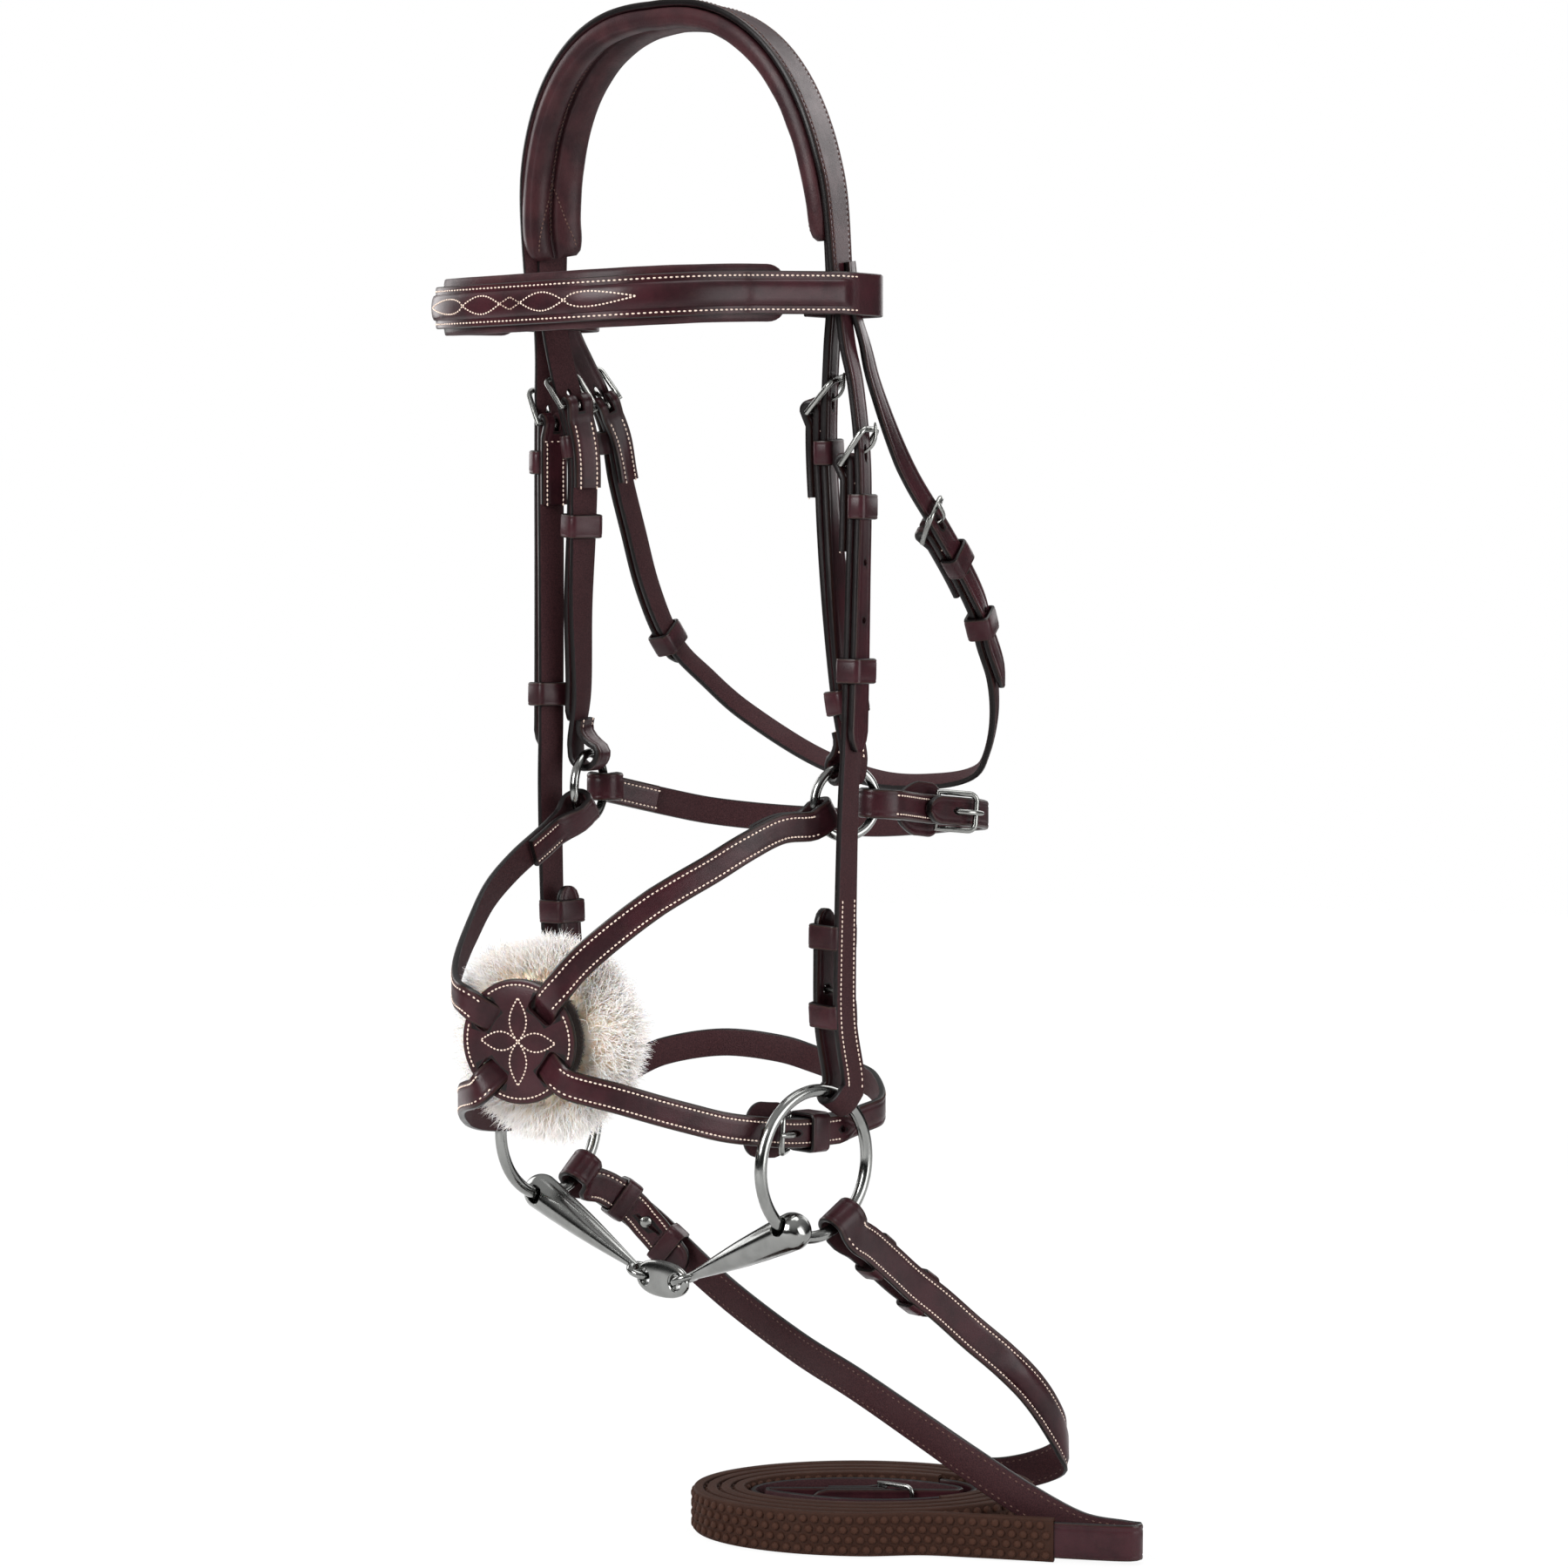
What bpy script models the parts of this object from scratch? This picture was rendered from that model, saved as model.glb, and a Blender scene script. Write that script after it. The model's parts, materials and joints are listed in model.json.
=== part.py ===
"""A snaffle bridle with a figure eight noseband, a double-jointed bit and coiled reins.

Metres, +Z up. +X is the horse's left side, which is its near side, and -Y is the front of its face.
The origin is the underside of the crown padding, where it rests on the poll.
"""

import math
from collections import namedtuple

import bmesh
import bpy
from mathutils import Matrix, Vector

# The head that the straps are fitted to. Every place on a route is a share of the first three.
HALF_FACE = 0.100
FACE_DEPTH = 0.100
BRIDLE_DROP = 0.500
POLL_RISE = 0.007

# Clearances and mesh fineness.
GAP = 0.0004
REST_GAP = 0.0012
MERGE = 0.000001
OVERRUN = 0.004
STRAP_STEP = 0.012
FOLD_STEPS = 6
ROUTE_SUBSTEPS = 12
WIRE_SIDES = 6
BALL_SIDES = 12
SHARP_ANGLE = math.radians(40)

# Leather.
STRAP_WIDTH = 0.013
STRAP_THICK = 0.0032
LAYER = STRAP_THICK + GAP
THROAT_WIDTH = 0.011
CROWN_WIDTH = 0.026
CROWN_LEG_WIDTH = 0.020
CROWN_THICK = 0.0030
THROAT_BILLET_THICK = 0.0026
THROAT_LIFT = 0.0040
BROW_WIDTH = 0.0185
BROW_THICK = 0.0036
BROW_PAD_WIDTH = 0.0235
BROW_PAD_THICK = 0.0055
PAD_WIDTH = 0.028
PAD_THICK = 0.0030
PAD_ROLL = 0.0022
PAD_CHANNEL = 0.0176
PAD_TOP_SHARE = 0.95
PAD_UNDER_SHARES = ((-0.92, 0.2), (-0.72, -1.0), (-0.50, -0.4), (-0.27, 0.3), (0.37, 0.3), (0.75, -0.2))
TIP_LENGTH = 0.009
TIP_SHARES = ((1.0, 1.0), (0.55, 0.86), (0.15, 0.52), (0.0, 0.30))

# Crown arch over the poll, seen from the front.
ARCH_HALF = 0.0835
ARCH_RISE = 0.1070
ARCH_SQUARENESS = 2.05
ARCH_SIDES = 18
ARCH_SETBACK = -0.0036
ARCH_LEAN_SHARE = 0.10
LEG_TURN = math.radians(18)
LEG_TURN_END_DROP = 0.200
PAD_END_DROP = 0.090
PAD_LEG_SHARE = 0.985
CROWN_TAPER_START_SHARE = 0.35
SPLIT_DROP = 0.112

# Keepers and runners.
KEEPER_WALL = 0.0016
KEEPER_HEIGHT = 0.011
RUNNER_HEIGHT = 0.011

# Strap buckles.
BUCKLE_WIRE = 0.0026
BUCKLE_REACH = 0.0145
BUCKLE_CORNER = 0.0032
BUCKLE_BEVEL_SHARE = 0.33
TONGUE_WIDTH = 0.0022
TONGUE_THICK = 0.0014
TONGUE_OVERHANG = 0.0015
TONGUE_EYE_ANGLES = [math.radians(angle) for angle in (-70, -110, -150, -190, -230, -270)]
TONGUE_CLIMB_SHARES = ((0.12, 0.04), (0.24, 0.28), (0.38, 0.62), (0.52, 0.85), (0.74, 0.98), (1.0, 1.0))
TONGUE_HOLE_MIDDLE_SHARE = 0.30
TONGUE_HOLE_REACH_SHARE = 0.27
HOLE_RADIUS = 0.0015
HOLE_SIDES = 8
HOLE_PITCH = 0.025
CHEEK_HOLE_START = 0.0425
CHIN_HOLE_BACK = 0.0225
CHIN_HOLE_START = 0.01375
CHIN_HOLE_PITCH = 0.0125
JOWL_HOLE_START = 0.030
CHAPE_BACK = 0.038
CHAPE_FLARE = 0.009

# Noseband rings.
NOSE_RING_OUTER = 0.035
NOSE_RING_WIRE = 0.0042
NOSE_RING_YAW = math.radians(19)
NOSE_RING_SIDES = 24
NOSE_RING_SHARES = (0.806, 0.13, 0.668)
NOSE_FOLD_RADIUS = 0.0069
HANGER_ANGLE = math.radians(90)
CROSS_ANGLES = (math.radians(205), math.radians(224))
JOWL_ANGLE = math.radians(-4)

# Bit.
BIT_RING_OUTER = 0.070
BIT_RING_WIRE = 0.0055
BIT_RING_YAW = math.radians(3)
BIT_RING_SIDES = 30
BIT_RING_SHARES = (0.837, -0.106, 0.982)
BIT_FOLD_RADIUS = 0.0060
REIN_FOLD_RADIUS = 0.0064
CHEEK_ANGLE = math.radians(63)
REIN_ANGLES = (math.radians(-58), math.radians(-50))
CANNON_ANGLES = (math.radians(-118), math.radians(-96))
CANNON_DROP = 0.030
CANNON_BORE = 0.0042
CANNON_HEAD = 0.0085
CANNON_HEAD_LENGTH = 0.0105
CANNON_NECK = 0.0018
CANNON_HEAD_SHARES = ((-0.92, 0.42), (-0.74, 0.74), (-0.40, 0.96))
CANNON_PROFILE_SHARES = ((0.0, 0.98), (0.20, 0.88), (0.45, 0.72), (0.70, 0.50), (0.90, 0.30))
EYE_WIRE = 0.0034
EYE_RADIUS = 0.0050
EYE_SIDES = 14
LOZENGE_LENGTH = 0.034
LOZENGE_HEIGHT = 0.0165
LOZENGE_THICK = 0.0046
LOZENGE_PITCH = 0.0210
LOZENGE_HOLE = 0.0037
LOZENGE_SIDES = 20
LOZENGE_SQUARENESS = 2.3
LOZENGE_EDGE_SHARES = ((-1.0, 0.86), (-0.55, 1.0), (0.55, 1.0), (1.0, 0.86))

# Nose disc and sheepskin.
DISC_SHARES = (0.147, -1.234, 0.866)
DISC_YAW = math.radians(19.5)
DISC_RADIUS = 0.0270
DISC_THICK = 0.0025
DISC_SIDES = 24
SLOT_CENTRE = 0.0190
SLOT_LENGTH = 0.0080
SLOT_SPARE = 0.0008
UPPER_CROSS_ANGLE = math.radians(50)
LOWER_CROSS_ANGLE = math.radians(-35)
BACKING_RADIUS = 0.0280
FLEECE_RADIUS = 0.0450
FLEECE_SHIFT = 0.004
FLEECE_THICK = 0.0150
FLEECE_PROFILE_SHARES = ((0.0, 0.0), (0.55, 0.02), (0.82, 0.10), (0.96, 0.32), (1.0, 0.56), (0.93, 0.80),
                         (0.72, 0.94), (0.40, 1.0), (0.0, 1.0))
DISC_FLAT_SHARES = (-1.15, -1.0, -0.5, 0.0, 0.5, 1.0, 1.15)

# Safes, the rounded leathers under the jowl and chin buckles.
SAFE_WIDTH = 0.0245
SAFE_LENGTH = 0.030
SAFE_THICK = 0.0020
SAFE_SHARES = ((0.0, 0.55), (0.12, 0.75), (0.35, 1.0), (0.72, 1.0), (0.88, 0.86), (0.97, 0.6), (1.0, 0.3))

# Hook studs.
STUD_SHANK = 0.0012
STUD_HOLE = 0.0024
STUD_DOME_SHARE = 0.8
STUD_SIDES = 8
STUD_HEAD = 0.0026
STUD_HEAD_THICK = 0.0014
RETURN_DROP = 0.0116
REIN_RETURN_DROP = 0.0080
CHEEK_RETURN = 0.084
CHEEK_KEEPER_SHARES = (0.45, 0.86)
REIN_RETURN = 0.082
REIN_KEEPER_SHARES = (0.38, 0.80)
REIN_KEEPER_HEIGHT = 0.009
REIN_CHAPE_BACK = 0.023
STUD_SPACING = 0.048

# Places of the buckles, keepers and tips, as drops below the poll: near side, then off side.
CHEEK_BUCKLE_DROPS = (0.186, 0.164)
CHEEK_RUNNER_DROPS = (0.276, 0.290)
CHEEK_TIP_DROPS = (0.311, 0.318)
HANGER_BUCKLE_DROPS = (0.163, 0.158)
HANGER_RUNNER_DROPS = (0.289, 0.214)
HANGER_RETURN = 0.017
HANGER_TIP_DROPS = (0.302, 0.304)
KEEPER_SETBACK = 0.0185
THROAT_BUCKLE_DROPS = (0.2150, 0.1560)
THROAT_TIP_DROPS = (0.2870, 0.2750)
THROAT_RUNNER_DROPS = (0.2580, 0.2660)
CHIN_BUCKLE_SHARES = (0.763, -0.12, 0.957)
CHIN_TIP = 0.034
CHIN_KEEPER_SETBACK = 0.0104
JOWL_BUCKLE_SETBACK = 0.060
JOWL_TIP_SETBACK = 0.030
JOWL_CHAPE_BACK = 0.016

# Browband.
BROW_HALF = 0.0880
BROW_REACH = 0.1080
BROW_SQUARENESS = 3.0
BROW_DROP = 0.1140
BROW_STEPS = 26
BROW_STEP = 0.0096
BROW_PAD_SHARES = ((-1.0, 0.3), (-0.8, -0.8), (0.0, -1.0), (0.8, -0.8), (1.0, 0.3), (0.92, 1.0), (-0.92, 1.0))
PINCH_SHARE = 0.6
PINCH_RATE = 8
BROW_LOOP_HALF = 0.0132
BROW_LOOP_REACH = 0.0187
BROW_LOOP_MIDDLE = 0.0878
BROW_LOOP_SETBACK = 0.0017
BROW_LOOP_SQUARENESS = 3.4
BROW_SIDE = 0.030
BROW_PAD_SIDE = 0.022
BROW_LOOP_STEPS = 11
BROW_CURVE_START = math.radians(-45)
BROW_CURVE_END = math.radians(200)

# Reins.
REIN_WIDTH = 0.0160
REIN_THICK = 0.0024
GRIP_HEIGHT = 0.0192
GRIP_THICK = 0.0050
COIL_STEP = 0.0112
FLOOR_DROP = 0.6651
COIL_SHARES = (0.638, 0.445)
COIL_TURN = math.radians(43)
COIL_HALF_LENGTH = 0.0780
COIL_HALF_DEPTH = 0.0510
COIL_PITCH = 0.0062
COIL_STEPS = 18
GAP_SAMPLES = 400
COIL_STARTS = (math.radians(-50), math.radians(72))
COIL_ENDS = (math.radians(1000), math.radians(1211))
COIL_FLATS = (math.radians(937), math.radians(1138))
COIL_FADE = math.radians(140)
GRIP_ENDS = (math.radians(690), math.radians(780))
REIN_BUCKLE_WIRE = 0.0022

# Routes: shares of HALF_FACE, FACE_DEPTH and BRIDLE_DROP.
CHEEK_ROUTE_SHARES = ((0.905, 0.02, 0.860), (0.920, 0.00, 0.800), (0.935, 0.00, 0.680), (0.943, 0.015, 0.600),
                      (0.950, 0.025, 0.480), (0.954, 0.029, 0.380), (0.930, 0.01, 0.310), (0.900, -0.015, 0.270),
                      (0.888, -0.036, 0.226))
HANGER_ROUTE_SHARES = ((0.825, 0.10, 0.580), (0.792, 0.065, 0.500), (0.757, 0.05, 0.420), (0.745, 0.04, 0.360),
                       (0.775, 0.01, 0.315), (0.815, -0.02, 0.270), (0.845, -0.036, 0.226))
NEAR_CROSS_SHARES = ((0.790, -0.263, 0.688), (0.764, -0.449, 0.701), (0.704, -0.609, 0.719),
                     (0.634, -0.758, 0.736), (0.551, -0.894, 0.755), (0.464, -0.990, 0.776),
                     (0.380, -1.090, 0.797))
OFF_CROSS_SHARES = ((-0.778, -0.196, 0.714), (-0.730, -0.423, 0.735), (-0.660, -0.640, 0.758),
                    (-0.550, -0.850, 0.786), (-0.385, -1.094, 0.812), (-0.215, -1.262, 0.829))
CHIN_NEAR_SHARES = ((0.500, -1.010, 0.910), (0.573, -0.860, 0.922), (0.647, -0.693, 0.933), (0.705, -0.530, 0.943),
                    (0.741, -0.343, 0.950), (0.757, -0.135, 0.956), (0.763, 0.096, 0.958), (0.765, 0.240, 0.957),
                    (0.690, 0.500, 0.950), (0.450, 0.720, 0.938), (0.245, 0.795, 0.932))
CHIN_OFF_SHARES = ((-0.038, 0.852, 0.925), (-0.227, 0.807, 0.917), (-0.493, 0.713, 0.914), (-0.653, 0.510, 0.920),
                   (-0.730, 0.360, 0.932), (-0.765, 0.080, 0.957), (-0.750, -0.270, 0.966),
                   (-0.640, -0.680, 0.958), (-0.470, -0.980, 0.940), (-0.240, -1.210, 0.920))
JOWL_ROUTE_SHARES = ((0.890, 0.550, 0.677), (0.883, 0.721, 0.681), (0.837, 0.943, 0.686), (0.700, 1.130, 0.692),
                     (0.430, 1.250, 0.698), (0.259, 1.290, 0.702), (-0.063, 1.318, 0.708), (-0.350, 1.263, 0.708),
                     (-0.579, 1.108, 0.705), (-0.742, 0.881, 0.698), (-0.830, 0.660, 0.688))
THROAT_NEAR_SHARES = ((0.884, 0.010, 0.200), (0.888, 0.040, 0.240), (0.885, 0.110, 0.272), (0.880, 0.180, 0.305),
                      (0.860, 0.328, 0.350), (0.845, 0.477, 0.387), (0.830, 0.680, 0.427), (0.805, 0.880, 0.466),
                      (0.785, 1.010, 0.496), (0.770, 1.087, 0.525), (0.745, 1.196, 0.560), (0.700, 1.269, 0.600),
                      (0.630, 1.300, 0.636), (0.550, 1.300, 0.655), (0.350, 1.260, 0.664), (0.050, 1.200, 0.664))
THROAT_OFF_SHARES = ((-0.300, 1.137, 0.644), (-0.620, 0.987, 0.602), (-0.740, 0.837, 0.568), (-0.790, 0.725, 0.545),
                     (-0.805, 0.630, 0.519), (-0.820, 0.536, 0.477), (-0.835, 0.470, 0.431), (-0.850, 0.402, 0.382),
                     (-0.860, 0.362, 0.340), (-0.873, 0.284, 0.306), (-0.881, 0.195, 0.280), (-0.885, 0.098, 0.249),
                     (-0.884, 0.010, 0.200))
THROAT_CENTRE_SHARES = (0.0, 0.40, 0.40)
THROAT_START_SHARES = (0.0, -0.26, 0.40)
THROAT_TURN_DROPS = (0.115, 0.185)
NEAR_REIN_SHARES = ((0.900, 0.200, 1.060), (0.886, 0.360, 1.082), (0.881, 0.510, 1.104), (0.900, 0.675, 1.128),
                    (0.936, 0.846, 1.157), (0.987, 1.002, 1.184), (1.030, 1.138, 1.211), (1.050, 1.253, 1.239),
                    (1.041, 1.354, 1.267), (0.988, 1.414, 1.289), (0.860, 1.404, 1.303), (0.720, 1.330, 1.311),
                    (0.620, 1.240, 1.311), (0.570, 1.140, 1.311), (0.610, 1.060, 1.311))
OFF_REIN_SHARES = ((-0.870, 0.270, 1.050), (-0.775, 0.456, 1.083), (-0.603, 0.559, 1.117), (-0.295, 0.573, 1.151),
                   (0.157, 0.530, 1.183), (0.556, 0.477, 1.203), (0.907, 0.463, 1.227), (1.207, 0.498, 1.254),
                   (1.460, 0.580, 1.282), (1.690, 0.686, 1.305), (1.864, 0.795, 1.311), (1.935, 0.808, 1.311),
                   (1.925, 0.735, 1.311), (1.740, 0.612, 1.311), (1.545, 0.498, 1.311), (1.343, 0.378, 1.311))

LEFT = 1
RIGHT = -1
SIDES = (("left", LEFT), ("right", RIGHT))
UP = Vector((0, 0, 1))
CORNERS = ((-1, -1), (1, -1), (1, 1), (-1, 1))

COLOURS = {
    "leather": ((0.045, 0.018, 0.014), 0.42, 0.0),
    "padding": ((0.060, 0.024, 0.018), 0.50, 0.0),
    "steel": ((0.56, 0.57, 0.55), 0.16, 1.0),
    "fleece": ((0.86, 0.78, 0.66), 0.95, 0.0),
    "rubber": ((0.050, 0.024, 0.013), 0.80, 0.0),
}

Station = namedtuple("Station", "along lift low high")
JOINT_NOTES = []


def clear_scene():
    """Removes whatever the file holds."""
    for item in list(bpy.data.objects):
        bpy.data.objects.remove(item, do_unlink=True)


def material(name):
    """The named finish, made once."""
    if name in bpy.data.materials:
        return bpy.data.materials[name]
    colour, roughness, metallic = COLOURS[name]
    made = bpy.data.materials.new(name)
    made.use_nodes = True
    shader = made.node_tree.nodes["Principled BSDF"]
    shader.inputs["Base Color"].default_value = (*colour, 1)
    shader.inputs["Roughness"].default_value = roughness
    shader.inputs["Metallic"].default_value = metallic
    made.diffuse_color = (*colour, 1)
    return made


def place(shares):
    """A point of the head from its shares of the face's half width, depth and the bridle's drop."""
    x, y, z = shares
    return Vector((x * HALF_FACE, y * FACE_DEPTH, -z * BRIDLE_DROP - POLL_RISE))


def mirrored(points, side):
    """The points on the given side of the head."""
    return [Vector((side * point.x, point.y, point.z)) for point in points]


def smooth_through(points):
    """A smooth curve through the points, each stretch led by its neighbours."""
    ends = [points[0] * 2 - points[1]] + list(points) + [points[-1] * 2 - points[-2]]
    curve = []
    for before, start, end, after in zip(ends, ends[1:], ends[2:], ends[3:]):
        for step in range(ROUTE_SUBSTEPS):
            t = step / ROUTE_SUBSTEPS
            curve.append(
                (
                    start * 2
                    + (end - before) * t
                    + (before * 2 - start * 5 + end * 4 - after) * t**2
                    + (start * 3 - before - end * 3 + after) * t**3
                )
                / 2
            )
    curve.append(points[-1].copy())
    return curve


class Route:
    """A strap's centre line, measured by its length, with the way that its grain side faces."""

    def __init__(self, points, facing, smooth=True):
        self.points = smooth_through(points) if smooth else list(points)
        self.facing = facing
        self.marks = [0.0]
        for first, second in zip(self.points, self.points[1:]):
            self.marks.append(self.marks[-1] + (second - first).length)
        self.length = self.marks[-1]

    def stretch(self, along):
        """Which stretch of the centre line holds this length, and how far into it."""
        index = 0
        while index < len(self.marks) - 2 and self.marks[index + 1] < along:
            index += 1
        span = self.marks[index + 1] - self.marks[index]
        return index, (along - self.marks[index]) / span

    def centre(self, along):
        index, share = self.stretch(along)
        return self.points[index].lerp(self.points[index + 1], share)

    def frame(self, along):
        """The point, the way along, the way that the grain faces and the way across."""
        reach = STRAP_STEP / 4
        ahead = (self.centre(along + reach) - self.centre(along - reach)).normalized()
        point = self.centre(along)
        out = self.facing(point, ahead)
        out = (out - ahead * out.dot(ahead)).normalized()
        return point, ahead, out, ahead.cross(out)

    def at(self, along, lift=0.0, across=0.0):
        point, _, out, side = self.frame(along)
        return point + out * lift + side * across

    def nearest(self, target):
        """The length at which the route passes closest to the target."""
        best = min(range(len(self.points)), key=lambda index: (self.points[index] - target).length)
        return self.marks[best]

    def at_drop(self, drop, first, last):
        """The length, between two others, at which the route has this drop below the poll."""
        return min(
            (mark for mark in self.marks if first <= mark <= last),
            key=lambda mark: abs(self.centre(mark).z + POLL_RISE + drop),
        )


def facing_sideways(end_turn, end_drop):
    """For straps that pass over the poll: their legs face a little back, and turn by the ring."""

    def facing(point, ahead):
        down = (-point.z - POLL_RISE - LEG_TURN_END_DROP) / (end_drop - LEG_TURN_END_DROP)
        turn = LEG_TURN + (end_turn - LEG_TURN) * min(max(down, 0), 1)
        return Vector((point.x, abs(point.x) * math.tan(turn), max(point.z + ARCH_RISE, 0)))

    return facing


def facing_level(turn):
    """For straps on edge round the head: level, to one side of the way along."""

    def facing(point, ahead):
        return ahead.cross(UP) * turn

    return facing


def facing_jaw(point, ahead):
    """For the throatlatch: like the crown's legs at its ends, and away from the jaw below."""
    first, last = THROAT_TURN_DROPS
    share = min(max((-point.z - POLL_RISE - first) / (last - first), 0), 1)
    return point - place(THROAT_START_SHARES).lerp(place(THROAT_CENTRE_SHARES), share)


def new_object(name, mesh, finish):
    """One named solid from the mesh, with its normals pointing out."""
    bmesh.ops.recalc_face_normals(mesh, faces=mesh.faces)
    data = bpy.data.meshes.new(name)
    mesh.to_mesh(data)
    mesh.free()
    data.materials.append(material(finish))
    data.shade_smooth()
    data.set_sharp_from_angle(angle=SHARP_ANGLE)
    made = bpy.data.objects.new(name, data)
    bpy.context.scene.collection.objects.link(made)
    return made


def loft(sections, closed=False):
    """A solid through outlines of equal count, each extruded from the one before."""
    mesh = bmesh.new()
    first = [mesh.verts.new(point) for point in sections[0]]
    face = mesh.faces.new(first)
    for section in sections[1:] + ([sections[0]] if closed else []):
        face = bmesh.ops.extrude_discrete_faces(mesh, faces=[face])["faces"][0]
        for corner, point in zip(face.verts, section):
            corner.co = point
    if closed:
        bmesh.ops.delete(mesh, geom=[face], context="FACES_ONLY")
        bmesh.ops.remove_doubles(mesh, verts=mesh.verts, dist=MERGE)
    else:
        mesh.faces.new(first)
    return mesh


def run(start, end, lift, width, step=STRAP_STEP):
    """Stations of a strap that lies at one height from start to end."""
    count = max(1, round(abs(end - start) / step))
    half = width / 2
    return [Station(start + (end - start) * index / count, lift, -half, half) for index in range(count + 1)]


def bend(middle, heading, lift, radius, width):
    """Stations of the fold round a bar: from under it, round its far side, to its top."""
    made = []
    for index in range(FOLD_STEPS + 1):
        turn = math.pi * (index / FOLD_STEPS - 1 / 2)
        made.append(
            Station(
                middle - heading * radius * math.cos(turn),
                lift - radius + radius * math.sin(turn),
                -width / 2,
                width / 2,
            )
        )
    return made


def fold_end(middle, heading, lift, radius, width, back, back_lift=None):
    """A strap's end from the tip that is turned under, round the bar, to where its main run starts."""
    under = lift - LAYER if back_lift is None else back_lift
    flare = radius * 2
    stations = run(middle + heading * back, middle + heading * flare, under, width)
    return stations + bend(middle, heading, lift, radius, width)


def tip(end, heading, lift, width):
    """The last stations of a pointed end."""
    return [
        Station(end - heading * TIP_LENGTH * back, lift, -width * wide / 2, width * wide / 2)
        for back, wide in TIP_SHARES
    ]


def band_sections(route, stations, thick):
    """The rectangular outlines of a strap along its stations."""
    frames = [route.frame(station.along) for station in stations]
    middles = [point + out * station.lift for (point, _, out, _), station in zip(frames, stations)]
    sections = []
    for index, (station, (_, _, out, side)) in enumerate(zip(stations, frames)):
        ahead = (middles[min(index + 1, len(middles) - 1)] - middles[max(index - 1, 0)]).normalized()
        rise = side.cross(ahead).normalized() * thick / 2
        low = middles[index] + side * station.low
        high = middles[index] + side * station.high
        sections.append([low - rise, high - rise, high + rise, low + rise])
    return sections


def strap(name, route, stations, thick=STRAP_THICK, finish="leather"):
    return new_object(name, loft(band_sections(route, stations, thick)), finish)


def joined(base, *others):
    """One solid of the base and the others, which are then gone."""
    for other in others:
        combine(base, other, "UNION")
    return base


def cut(base, *cutters):
    for cutter in cutters:
        combine(base, cutter, "DIFFERENCE")
    return base


def combine(base, other, operation):
    modifier = base.modifiers.new(operation.lower(), "BOOLEAN")
    modifier.operation = operation
    modifier.solver = "EXACT"
    modifier.object = other
    graph = bpy.context.evaluated_depsgraph_get()
    result = bpy.data.meshes.new_from_object(base.evaluated_get(graph))
    base.modifiers.clear()
    base.data = result
    bpy.data.objects.remove(other, do_unlink=True)


def prism(name, corners, start, end):
    """A solid of the outline's corners, from start to end, given as vectors added to each corner."""
    outlines = [[corner + start for corner in corners], [corner + end for corner in corners]]
    return new_object(name, loft(outlines), "leather")


def disc_points(centre, first, second, radius, sides):
    """Points of a circle in the plane of two unit vectors."""
    turns = [math.tau * index / sides for index in range(sides)]
    return [centre + first * radius * math.cos(turn) + second * radius * math.sin(turn) for turn in turns]


def wire_ring(path, wire, sides=WIRE_SIDES):
    """A closed wire through the points of a flat path."""
    count = len(path)
    middle = sum(path, Vector()) / count
    flat = (path[0] - middle).cross(path[1] - middle).normalized()
    sections = []
    for index, point in enumerate(path):
        ahead = (path[(index + 1) % count] - path[index - 1]).normalized()
        sections.append(disc_points(point, flat, ahead.cross(flat), wire / 2, sides))
    return loft(sections, closed=True)


def ring(name, centre, first, second, radius, wire, count, sides=8):
    return new_object(name, wire_ring(disc_points(centre, first, second, radius, count), wire, sides), "steel")


def turned(name, centre, axis, profile, sides, finish):
    """A solid of revolution from distances along the axis and radii, pointed or flat at its ends."""
    across = axis.orthogonal().normalized()
    other = axis.cross(across)
    sections = [disc_points(centre + axis * along, across, other, radius, sides) for along, radius in profile]
    return new_object(name, loft(sections), finish)


def hole_cutter(route, along, half_length, half_width, depth):
    """A cutter through a strap, longer along it than across it if asked."""
    point, ahead, out, side = route.frame(along)
    turns = [math.tau * index / HOLE_SIDES for index in range(HOLE_SIDES)]
    long = ahead * half_length
    wide = side * half_width
    corners = [point + long * math.cos(turn) + wide * math.sin(turn) for turn in turns]
    return prism("hole", corners, out * (depth - OVERRUN), out * (depth + OVERRUN))


def box_cutter(route, along, half_length, half_width, bottom, top):
    point, ahead, out, side = route.frame(along)
    corners = [
        point + ahead * half_length * first + side * half_width * second
        for first, second in CORNERS
    ]
    return prism("box", corners, out * bottom, out * top)


def loop_points(half_width, bottom, top, corner):
    """A rectangle with cut corners, across the strap and out from it."""
    return [
        (half_width - corner, bottom),
        (half_width, bottom + corner),
        (half_width, top - corner),
        (half_width - corner, top),
        (corner - half_width, top),
        (-half_width, top - corner),
        (-half_width, bottom + corner),
        (corner - half_width, bottom),
    ]


def keeper(name, route, along, width, bottom, top, height=KEEPER_HEIGHT):
    """A leather loop whose inside clears the strap's sides and reaches from bottom to top."""
    inner = loop_points(width / 2 + GAP, bottom, top, KEEPER_WALL / 2)
    outer = loop_points(width / 2 + GAP + KEEPER_WALL, bottom - KEEPER_WALL, top + KEEPER_WALL, KEEPER_WALL)
    point, ahead, out, side = route.frame(along)
    sections = []
    for (across_in, lift_in), (across_out, lift_out) in zip(inner, outer):
        near = point + side * across_in + out * lift_in
        far = point + side * across_out + out * lift_out
        half = ahead * height / 2
        sections.append([near - half, far - half, far + half, near + half])
    return new_object(name, loft(sections, closed=True), "leather")


def keeper_foot(thick=STRAP_THICK):
    """The height of a sewn keeper's inside above the middle of the strap that its wall is sunk into."""
    return KEEPER_WALL + GAP - thick / 2


def buckle_lift(wire=BUCKLE_WIRE, thick=STRAP_THICK):
    """How far below the strap's middle its buckle's bar lies."""
    return wire / 2 + GAP + thick / 2


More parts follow.
